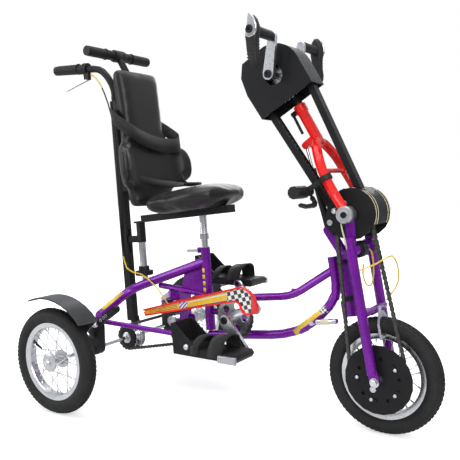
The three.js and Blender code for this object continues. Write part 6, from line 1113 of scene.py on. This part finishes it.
def stuffed(name, mesh, body, voxel, cap, replaced=(), pressure=4.0, softening=6):
    """Swells a closed mesh as foam under vinyl, no point moving further than cap."""
    work = bpy.data.objects.new(name + "_form", mesh)
    scene.collection.objects.link(work)
    skin = work.modifiers.new("skin", "REMESH")
    skin.mode = "VOXEL"
    skin.voxel_size = voxel
    even = evaluated(work)
    bpy.data.objects.remove(work)
    smoothed(even, softening)
    rest = [v.co.copy() for v in even.vertices]
    work = bpy.data.objects.new(name + "_cloth", even)
    scene.collection.objects.link(work)
    cloth = work.modifiers.new("vinyl", "CLOTH")
    cloth.settings.use_pressure = True
    cloth.settings.uniform_pressure_force = pressure
    cloth.settings.effector_weights.gravity = 0
    cloth.settings.quality = 4
    cloth.point_cache.frame_start = 1
    cloth.point_cache.frame_end = CLOTH_FRAMES
    for frame_number in range(1, CLOTH_FRAMES + 1):
        scene.frame_set(frame_number)
    swollen = evaluated(work)
    for vertex, start in zip(swollen.vertices, rest):
        move = vertex.co - start
        if move.length > cap:
            move *= cap / move.length
        vertex.co = start + move
    bpy.data.objects.remove(work)
    scene.frame_set(1)
    smoothed(swollen, 8)
    even = swollen
    pad = piece(name, even, VINYL, body, replaced, 180)
    finer = pad.modifiers.new("finer", "SUBSURF")
    finer.levels = 1
    finer.render_levels = 1
    print(name, "faces:", len(even.polygons))
    return pad


# %% [markdown]
# The back pad is a long upright cushion with square shoulders. Low down, a wing on each side
# leaves the pad in a smooth hollow curve and sweeps forwards and outwards to a rounded tip.
# The wing is drawn flat as an outline, given its thickness, cut into narrow strips and bent.

# %% The back pad with its hip wings
WING = [(-34, 30), (-34, 310), (-10, 292), (2, 258), (14, 228), (28, 206), (46, 192), (62, 186), (76, 172),
        (85, 148), (86, 104), (78, 80), (56, 66), (24, 54), (0, 30)]
WING_HALF_WALL = 13
WING_STRETCH = 1.16
WING_ROOT = (-18.0, 78.0)
WING_STRIP, WING_STRIDE = 8, 4.0
WING_START_DEG, WING_BEND_DEG, WING_BEND_LENGTH = 6, 50, 70
PAD_LOW, PAD_HIGH, PAD_EDGE = (-42, -91, 1), (-3, 91, 425), 13


def hip_wing(bm, side):
    """A flat outline thickened, cut in strips and bent forwards."""
    sheet = bmesh.new()
    corners = [(s * (WING_STRETCH if s > 0 else 1), -WING_HALF_WALL, z) for s, z in WING]
    outline = sheet.faces.new([sheet.verts.new(corner) for corner in corners])
    thickened(sheet, [outline], (0, 2 * WING_HALF_WALL, 0))
    for cut in range(-24, 100, WING_STRIP):
        bmesh.ops.bisect_plane(sheet, geom=sheet.verts[:] + sheet.edges[:] + sheet.faces[:],
                               plane_co=(cut, 0, 0), plane_no=(1, 0, 0))
    for v in sheet.verts:
        s, n, z = v.co
        x, y = WING_ROOT
        angle = math.radians(WING_START_DEG)
        travelled = min(s, 0)
        x, y = x + travelled * math.sin(angle), y + travelled * math.cos(angle)
        at = 0.0
        while at < s:
            stride = min(WING_STRIDE, s - at)
            angle = math.radians(WING_START_DEG + WING_BEND_DEG * min(at / WING_BEND_LENGTH, 1))
            x, y = x + stride * math.sin(angle), y + stride * math.cos(angle)
            at += stride
        v.co = Vector((x + n * math.cos(angle), side * (y - n * math.sin(angle)), z))
    bmesh.ops.recalc_face_normals(sheet, faces=sheet.faces)
    bm.from_mesh(to_mesh(sheet, "wing"))


bm = bmesh.new()
block(bm, PAD_LOW, PAD_HIGH)
bmesh.ops.subdivide_edges(bm, edges=[e for e in bm.edges if abs(e.verts[0].co.z - e.verts[1].co.z) > 300],
                          cuts=6, use_grid_fill=True)
bmesh.ops.bevel(bm, geom=[e for e in bm.edges if e.calc_face_angle(0) > 1], offset=PAD_EDGE, segments=3,
                profile=0.5, affect="EDGES", material=-1, clamp_overlap=True)
for side in (-1, 1):
    hip_wing(bm, side)
bmesh.ops.transform(bm, matrix=BACK, verts=bm.verts)
stuffed("back_pad", to_mesh(bm, "back_form"), "main_frame", 0.0055, 0.006, ("backrest",), softening=14)

# %% [markdown]
# The seat pad is wide at the back, rounded at the front, and thin enough to show its board.

# %% The seat pad
WIDER_AHEAD, WIDER_ACROSS = 1.01, 1.02
CROWN_BACK, CROWN_GAIN = 1.08, 0.12
seat_copy = cad_copy("seat_cushion")
middle = sum((v.co for v in seat_copy.verts), Vector()) / len(seat_copy.verts)
seat_low = min(v.co.z for v in seat_copy.verts)
for v in seat_copy.verts:
    out = v.co - middle
    ahead_share = min(max((out.x + 0.1) / 0.16, 0), 1)
    crown = CROWN_BACK + CROWN_GAIN * ahead_share
    v.co = Vector((middle.x + out.x * WIDER_AHEAD, middle.y + out.y * WIDER_ACROSS,
                   seat_low + (v.co.z - seat_low) * crown))
seat_form = closed(seat_copy)
stuffed("seat_pad", seat_form, "seat", 0.005, 0.007, ("seat_cushion",))

# %% [markdown]
# ## Straps
#
# The chest belt is a wide flat web round the back pad. It is slack, so it drops in front and
# bows away from the pad. The lap belt lies across the seat in two halves with a plain buckle.
# Straps are modelled directly: an edge as wide as the web is drawn along a smooth path, and the
# strip gets the thickness of the web.

# %% Weave and paths for the straps
WEB = finish("strap_web", (0.004, 0.004, 0.0045), (0.008, 0.008, 0.0085), (0.5, 0.66),
             grain_size=700, depth=0.2, height=0.0004, sheen=0.1, specular=0.3)
tree = WEB.node_tree
place = node(tree, "ShaderNodeTexCoord")
ribs = node(tree, "ShaderNodeTexWave", bands_direction="DIAGONAL", scale=380, distortion=0.6)
tree.links.new(place.outputs["Object"], ribs.inputs["Vector"])
weave_bump = node(tree, "ShaderNodeBump", strength=0.5, distance=0.0005)
normal = tree.nodes["Principled BSDF"].inputs["Normal"]
tree.links.new(normal.links[0].from_socket, weave_bump.inputs["Normal"])
tree.links.new(ribs.outputs["Fac"], weave_bump.inputs["Height"])
tree.links.new(weave_bump.outputs["Normal"], normal)


def smooth_path(points, steps=8, loop=False):
    """A smooth line through the given points."""
    points = [Vector(p) for p in points]
    count = len(points)
    path = []
    for i in range(count if loop else count - 1):
        if loop:
            a, b, c, d = (points[(i + k) % count] for k in (-1, 0, 1, 2))
        else:
            a, b, c, d = (points[min(max(i + k, 0), count - 1)] for k in (-1, 0, 1, 2))
        for k in range(steps):
            t = k / steps
            path.append(0.5 * ((2 * b) + (c - a) * t + (2 * a - 5 * b + 4 * c - d) * t * t
                               + (3 * b - a - 3 * c + d) * t ** 3))
    if not loop:
        path.append(points[-1])
    return path


def strap(name, path, across, width, body, thick=2.0, replaced=(), loop=False):
    """A flat web along a path. across gives the direction of its width at each point."""
    bm = bmesh.new()
    first = [bm.verts.new(path[0] + across(0) * (s * width / 2)) for s in (-1, 1)]
    edge = bm.edges.new(first)
    for i in range(1, len(path)):
        grown = bmesh.ops.extrude_edge_only(bm, edges=[edge])
        edge = next(g for g in grown["geom"] if isinstance(g, bmesh.types.BMEdge))
        ends = [g for g in grown["geom"] if isinstance(g, bmesh.types.BMVert)]
        share = i / (len(path) - 1)
        for v in ends:
            side = 1 if (v.co - path[i - 1]).dot(across((i - 1) / (len(path) - 1))) > 0 else -1
            v.co = path[i] + across(share) * (side * width / 2)
    if loop:
        bmesh.ops.bridge_loops(bm, edges=[edge, bm.edges.get(first)])
    bmesh.ops.transform(bm, matrix=UPRIGHT, verts=bm.verts)
    bmesh.ops.recalc_face_normals(bm, faces=bm.faces)
    obj = piece(name, to_mesh(bm, name), WEB, body, replaced, 40)
    web = obj.modifiers.new("web", "SOLIDIFY")
    web.thickness = thick * MM
    web.offset = 0


chest = smooth_path([(26, -99, 826), (60, -102, 806), (92, -92, 784), (101, -55, 765), (104, 0, 750),
                     (108, 55, 744), (116, 96, 746), (104, 116, 762), (74, 108, 785), (40, 101, 806),
                     (19, 92, 820), (14, 40, 826), (12, -20, 830), (14, -80, 830)], 8, True)
chest.append(chest[0].copy())
UP = Vector((-0.13, 0, 0.99)).normalized()
strap("chest_belt_web", chest, lambda s: UP, 44, "main_frame", 2.2, ("chest_belt",))


def turn_web(start, end):
    """A width direction that turns slowly from start to end."""
    a, b = Vector(start).normalized(), Vector(end).normalized()
    return lambda s: a.lerp(b, s).normalized()


lap_right = smooth_path([(116, -86, 640), (132, -66, 634), (150, -38, 628), (172, -4, 625), (196, 22, 624),
                         (216, 34, 623)], 8)
strap("lap_belt_right", lap_right, turn_web((0.2, -0.2, 1), (-0.6, 0.8, 0.12)), 24, "seat")
lap_left = smooth_path([(122, 92, 644), (138, 84, 637), (160, 72, 630), (190, 58, 625), (212, 44, 624)], 8)
strap("lap_belt_left", lap_left, turn_web((0.5, 0.2, 0.8), (-0.6, -0.8, 0.1)), 30, "seat")

bm = bmesh.new()
buckle = Matrix.Translation((214, 38, 626)) @ Matrix.Rotation(math.radians(24), 4, "Z")
block(bm, (-24, -18, -4.5), (24, 18, 4.5), buckle)
bmesh.ops.bevel(bm, geom=bm.edges[:], offset=3, segments=3, profile=0.5, affect="EDGES", material=-1)
mesh = closed(bm, UPRIGHT)
piece("lap_buckle", mesh, PLASTIC, "seat", (), 35)
print("straps done")

# %% [markdown]
# ## Hand grips
#
# Each grip is an upright handle that turns on a pin at the end of its crank arm. Seen from the
# side it is an oval above the pin and a longer, narrower handle below. A polished cap shaped
# like a drop covers the outer face round the head of the pin.

# %% Oval handles, sleeves and polished caps
HANDLE = [(-5, 34), (-13, 24), (-18, 8), (-18, -8), (-15, -26), (-13, -48), (-9, -68), (-4, -84), (6, -88),
          (16, -84), (18, -70), (15, -48), (15, -26), (18, -8), (18, 8), (12, 24), (4, 34)]
DROP = [(-3, 37), (-12, 25), (-18.6, 8), (-18.6, -5), (-13, -15), (0, -20), (13, -15), (18.6, -5),
        (18.6, 8), (12, 25), (4, 37)]
RIB_PLACES = range(-74, -22, 8)
BUSH = [(0, 84.5), (11, 84.5), (12.4, 90), (12.4, 128), (13.2, 150), (13.2, 166), (0, 166)]
PIN_HEAD = [(0, 0), (3.6, 0), (3.6, 3), (8.6, 3), (10, 1.8), (10.4, -2), (0, -2)]
HANDLE_INNER, HANDLE_OUTER = 162, 186
CAP_INNER, CAP_OUTER = 182, 188.5
RIB_SIZE = (22, 24.8, 3.4, 1)


def slab(bm, outline, from_y, to_y, soft, segments=3):
    """An outline in the side view, thickened from one y to another, with softened edges."""
    start = len(bm.verts)
    face = bm.faces.new([bm.verts.new((x, from_y, z)) for x, z in outline])
    thickened(bm, [face], (0, to_y - from_y, 0))
    bm.verts.ensure_lookup_table()
    fresh = set(bm.verts[start:])
    rim = [e for e in bm.edges if e.verts[0] in fresh and abs(e.verts[0].co.y - e.verts[1].co.y) < 1e-6]
    bmesh.ops.bevel(bm, geom=rim, offset=soft, segments=segments, profile=0.5, affect="EDGES",
                    material=-1, clamp_overlap=True)


def sideways_at(x, y, z, side):
    """A place whose own Z axis points out to one side."""
    return UPRIGHT @ Matrix.Translation((x, y, z)) @ Matrix.Rotation(math.radians(-90 * side), 4, "X")


for name, side in (("right", -1), ("left", 1)):
    place = UPRIGHT @ Matrix.Translation(on_shaft(HAND_PIN))
    label = name + "_hand_grip"
    body = body_of(label)
    bm = bmesh.new()
    slab(bm, HANDLE, side * HANDLE_INNER, side * HANDLE_OUTER, 8, 4)
    turned(bm, BUSH, 28, Matrix.Rotation(math.radians(-90 * side), 4, "X"))
    middle_y = side * (HANDLE_INNER + HANDLE_OUTER) / 2
    for low in RIB_PLACES:
        bmesh.ops.create_cube(bm, size=1, matrix=Matrix.Translation((2, middle_y, low))
                              @ Matrix.Diagonal(RIB_SIZE))
    mesh = closed(bm, place)
    piece(label + "_handle", mesh, GRIP, body, (label,), 50, 0.0008)
    bm = bmesh.new()
    slab(bm, DROP, side * CAP_INNER, side * CAP_OUTER, 2.2)
    mesh = closed(bm, place)
    piece(label + "_cap", mesh, CHROME, body, (), 35)
    bm = bmesh.new()
    turned(bm, PIN_HEAD, 24)
    mesh = closed(bm, sideways_at(HAND_PIN[0], side * 188.6, HAND_PIN[1], side))
    piece(label + "_pin", mesh, PLASTIC, body, (), 35)
print("grips done")

# %% [markdown]
# ## Bolts, caps, barrels and collars
#
# Each small fitting is a turned shape. They are kept in one table with the node that they sit on,
# so that every head stays on its own moving part.

# %% Small turned fittings from a table
BARREL = [(0, -2), (19.6, -2), (21, 0), (21, 28.6), (19.6, 30.6), (16.4, 30.6), (15.6, 29.4), (11, 29.2),
          (9.8, 31), (0, 31)]
NUT = [(0, 30.8), (7.6, 30.8), (7.6, 33.4), (6.8, 34), (3.6, 34), (3.6, 32.4), (0, 32.4)]
CAP = [(0, -1), (10.2, -1), (10.2, 2.4), (9, 3.6), (4.2, 3.6), (4.2, 1.2), (0, 1.2)]
RING = [(3.2, -1), (4.6, -1), (4.6, 1.2), (3.2, 1.2), (3.2, -1)]
DOME = [(0, -3), (8.6, -3), (8.6, 1), (7.8, 4.4), (5.4, 7.2), (2.4, 8.6), (0, 8.8)]
DISC_HEAD = [(0, -1), (4.4, -1), (4.4, 1.6), (3.4, 2.6), (0, 2.8)]
NUT_HEAD = [(0, -1), (7.6, -1), (7.6, 5), (6.6, 6), (4, 6), (4, 9), (3, 10), (0, 10)]
PLUG = [(0, -1), (7.4, -1), (7.4, 2), (6.4, 3), (2.8, 3), (2.8, 1.4), (0, 1.4)]
CLUSTER_RING = [(0, 0), (33, 0), (34, 1), (34, 3.4), (32, 4.4), (24, 4.4), (23, 2.6), (0, 2.6)]
CLUSTER_SPIDER = [(0, 0), (17, 0), (17, 5.4), (13, 7), (11, 7), (11, 12), (9, 13), (0, 13)]
BOTH = (-1, 1)
DISC_SIDE, DISC_BOLT_RADIUS, DISC_BOLTS = -49.2, 53.3, 5
DISC_STEP = 360 / DISC_BOLTS
CLUSTER_SIDE, PARKING_SIDE = -36.6, -193.4
DROPOUT = (FRONT_AXLE[0] - 2.6, 131)


def disc_bolt(i):
    """The place of one bolt of the drive disc, as distance ahead and height."""
    angle = math.radians(DISC_STEP * i + DISC_STEP / 2)
    return (FRONT_AXLE[0] + DISC_BOLT_RADIUS * math.cos(angle),
            FRONT_AXLE[1] + DISC_BOLT_RADIUS * math.sin(angle))


# Each fitting: its node, finish and slot, and its shapes with their shaft, place along y and side.
FITTINGS = [
    ("mast_barrels", "mast", ALLOY, "silver", [(BARREL, JACK, side * 62, side) for side in BOTH]),
    ("barrel_nuts", "mast", PLASTIC, "black_plastic", [(NUT, JACK, side * 62, side) for side in BOTH]),
    ("drum_bolts", "drum_cover", SILVER, "silver",
     [(DOME, shaft, side * 55, side) for shaft in ((741, 575), (716, 557)) for side in BOTH]
     + [(PLUG, (703, 528), -54, -1)]),
    ("disc_heads", "drive_disc", SILVER, "silver",
     [(DISC_HEAD, disc_bolt(i), DISC_SIDE, -1) for i in range(DISC_BOLTS)]),
    ("dropout_nuts", "fork", SILVER, "silver", [(NUT_HEAD, DROPOUT, side * 69, side) for side in BOTH]),
    ("hand_crank_caps", "hand_crank", PLASTIC, "black_plastic",
     [(CAP, HAND_CRANK, side * 83.4, side) for side in BOTH]),
    ("foot_crank_caps", "foot_crank", PLASTIC, "black_plastic",
     [(CAP, FOOT_CRANK, side * 87.4, side) for side in BOTH]),
    ("right_plate_bolt", "right_foot_plate", SILVER, "silver", [(DOME, (345, 197), -182, -1)]),
    ("left_plate_bolt", "left_foot_plate", SILVER, "silver", [(DOME, (221, 340), 182, 1)]),
    ("parking_pivot_bolt", "parking_lever", SILVER, "silver", [(DOME, (18, 221), -193, -1)]),
    ("parking_rings", "parking_lever", ALLOY, "silver",
     [(RING, shaft, PARKING_SIDE, -1) for shaft in ((42, 238), (54, 246), (64, 253))]),
    ("cluster_ring", "rear_axle", PLASTIC, "black_plastic",
     [(CLUSTER_RING, REAR_AXLE, CLUSTER_SIDE, -1)]),
    ("cluster_spider", "rear_axle", SILVER, "silver",
     [(CLUSTER_SPIDER, REAR_AXLE, CLUSTER_SIDE, -1)]),
]
for name, label, material, slot, shapes in FITTINGS:
    bm = bmesh.new()
    for profile, (x, z), y, side in shapes:
        turned(bm, profile, 32, sideways_at(x, y, z, side))
    mesh = closed(bm)
    piece(name, mesh, material, body_of(label), (), 35)
print("fittings:", len(FITTINGS))

# %% [markdown]
# Each end of the head tube has a black bearing ring. Three black collars sit on each half of the
# fork's cross tube, and the silver steering damper beside the down tube has a pale plain band.

# %% Collars, bearing and damper
bm = bmesh.new()
for low, high, radius in ((-93.6, -80.6, 19.6), (0.4, 8.5, 19.4)):
    collar(bm, low, high, radius)
mesh = closed(bm, STEERING)
piece("head_bearings", mesh, PLASTIC, body_of("fork"), (), 35)

bm = bmesh.new()
cross = Matrix.Translation((60.8, 0, 34)) @ Matrix.Rotation(math.radians(90), 4, "X")
for side in (-1, 1):
    for low, high, radius in ((19, 27, 20.6), (28.6, 43, 20.6), (44.6, 50, 17.5)):
        collar(bm, *sorted((side * low, side * high)), radius, cross)
mesh = closed(bm, STEERING)
piece("cross_collars", mesh, PLASTIC, body_of("fork"), (), 35)

DAMPER_START, DAMPER_END = (635, -19.3, 262), (706, -19.3, 274)
DAMPER = [(0, 12), (5, 12), (7.2, 13), (7.2, 20), (6.9, 21), (6.9, 60), (7.4, 61), (7.4, 68),
          (6, 70), (0, 70)]
bm = bmesh.new()
turned(bm, DAMPER, 28, along(DAMPER_START, DAMPER_END))
turned(bm, [(0, -8), (6.6, -8), (6.6, 8), (0, 8)], 24,
       Matrix.Translation(DAMPER_START) @ Matrix.Rotation(math.radians(90), 4, "X"))
mesh = closed(bm, UPRIGHT)
piece("steering_damper", mesh, SILVER, "main_frame", (), 35)
bm = bmesh.new()
turned(bm, [(7.1, 28), (7.7, 29), (7.7, 49), (7.1, 50), (7.1, 28)], 28,
       along(DAMPER_START, DAMPER_END))
mesh = closed(bm, UPRIGHT)
piece("damper_label", mesh, CREAM, "main_frame", (), 35)

# %% [markdown]
# ## Foot straps, reflectors and levers
#
# A wide strap arches over each foot plate, with a narrower one behind it, and a grey reflector
# hangs at the outer side. The parking lever ends in a rubber sleeve.

# %% Straps over the plates and the grey reflectors
FOOT_PINS = [("right", -1, 464.3, 183.3), ("left", 1, 339.7, 326.7)]
# Each strap: its part, how far behind the pin it lies, its height and its width.
FOOT_STRAPS = [("toe", 26, 44, 46), ("heel", 92, 34, 26)]
REFLECTOR_RIBS, RIB_STEP = 9, 5.8
PARKING_GRIP = [(0, 40), (7, 40), (9.2, 42), (9.6, 46), (8.6, 50), (8.6, 84), (9.6, 88), (9.6, 93),
                (7, 96), (0, 96)]
LEAN = Vector((1, 0, 0.12)).normalized()
for name, side, x, z in FOOT_PINS:
    body = body_of(name + "_foot_plate")
    for part, back, high, wide in FOOT_STRAPS:
        start = x - back
        crown = z + high
        arch = smooth_path([(start, side * 97, z + 6), (start, side * 97, z + 16),
                            (start + 3, side * 106, crown - 6), (start + 5, side * 126, crown + 4),
                            (start + 5, side * 154, crown + 5), (start + 3, side * 174, crown - 6),
                            (start, side * 183.5, z + 16), (start, side * 183.5, z - 4)], 5)
        strap(f"{name}_{part}_strap", arch, lambda s: LEAN, wide, body, 2.6)
    bm = bmesh.new()
    block(bm, (x - 14, side * 187 - 5, z - 12), (x + 40, side * 187 + 5, z + 7))
    bmesh.ops.bevel(bm, geom=bm.edges[:], offset=2, segments=2, profile=0.5, affect="EDGES", material=-1)
    for i in range(REFLECTOR_RIBS):
        low = x - 12 + i * RIB_STEP
        high = x - 8.6 + i * RIB_STEP
        block(bm, (low, side * 192.4 - 1, z - 10), (high, side * 192.4 + 1, z + 5))
    mesh = closed(bm, UPRIGHT)
    piece(name + "_reflector", mesh, ALLOY, body, (), 35)

bm = bmesh.new()
turned(bm, PARKING_GRIP, 24, along((14, -185, 218), (104, -185, 279)))
mesh = closed(bm, UPRIGHT)
piece("parking_sleeve", mesh, GRIP, body_of("parking_lever"), (), 40)
print("straps and reflectors done")

# %% [markdown]
# ## Handlebar grips at the back
#
# The cross bar behind the head and the push handle end in ribbed rubber sleeves with a flange.

# %% Sleeves on the rear handles


def sleeve(length, radius, ribs):
    """The profile of a ribbed rubber sleeve, flange first."""
    profile = [(0, 0), (radius + 3, 0), (radius + 3.6, 1.6), (radius + 3, 3.4), (radius + 0.6, 4)]
    step = (length - 12) / ribs
    for i in range(ribs):
        at = 6 + i * step
        profile += [(radius + 0.6, at), (radius + 1.5, at + step * 0.2), (radius + 1.5, at + step * 0.6),
                    (radius + 0.6, at + step * 0.8)]
    profile += [(radius + 0.6, length - 4), (radius - 1, length), (0, length)]
    return profile


bm = bmesh.new()
turned(bm, sleeve(104, 14.2, 12), 28, along((-208, 0, 1002.2), (-312, 0, 1007)))
mesh = closed(bm, UPRIGHT)
piece("push_sleeve", mesh, GRIP, "main_frame", (), 40)
bm = bmesh.new()
for side in (-1, 1):
    turned(bm, sleeve(78, 13.6, 9), 28, along((-35, side * 55, 1022), (-35, side * 133, 1022)))
turned(bm, [(0, -22), (17.6, -22), (18.4, -20), (18.4, -4), (17.6, -2), (16.6, -1), (17.6, 0), (18.4, 2),
            (18.4, 20), (17.6, 22), (0, 22)], 28,
       Matrix.Translation((-35, 0, 1022)) @ Matrix.Rotation(math.radians(90), 4, "X"))
mesh = closed(bm, UPRIGHT)
piece("cross_bar_sleeves", mesh, GRIP, "main_frame", (), 40)
print("sleeves done")

# %% [markdown]
# ## The light casing beside the drum
#
# A thin pale casing comes out under the right barrel and runs down to the fork. The front brake's
# yellow casing makes a loop below the drum. Both keep the shape that they have at rest.

# %% Thin casings of short rods
PALE_ROUTE = [(743, -78, 530), (747, -79, 512), (753, -78, 489), (757, -75, 468), (761, -72, 446)]
LOOP_ROUTE = [(765, 8, 452), (777, 6, 462), (789, 6, 448), (792, 8, 405), (786, 12, 372),
              (772, 14, 368), (762, 14, 392), (764, 12, 420)]


def casing(bm, route, radius, steps):
    """Short rods end to end along a smooth route; gives back the last place."""
    path = smooth_path(route, steps)
    for start, end in zip(path, path[1:]):
        rod(bm, start, end, radius, 8)
    return path[-1]


bm = bmesh.new()
last = casing(bm, PALE_ROUTE, 2.0, 5)
rod(bm, last, (764, -71, 430), 3.2, 10)
mesh = closed(bm, UPRIGHT)
piece("pale_casing", mesh, CREAM, body_of("fork"), (), 60)

bm = bmesh.new()
casing(bm, LOOP_ROUTE, 2.1, 6)
piece("front_casing_loop", closed(bm, UPRIGHT), YELLOW, body_of("fork"), (), 60)

# %% [markdown]
# A black clamp holds the brake lever under the push handle.

# %% The clamp of the push brake lever
bm = bmesh.new()
turned(bm, [(0, -9), (16.4, -9), (17.4, -8), (17.4, 8), (16.4, 9), (0, 9)], 28,
       along((-176, 0, 1001), (-166, 0, 1000.5)))
block(bm, (-184, -7, 964), (-162, 7, 990))
mesh = closed(bm, UPRIGHT)
piece("push_lever_clamp", mesh, PLASTIC, "main_frame", (), 40, 0.0015, 3)
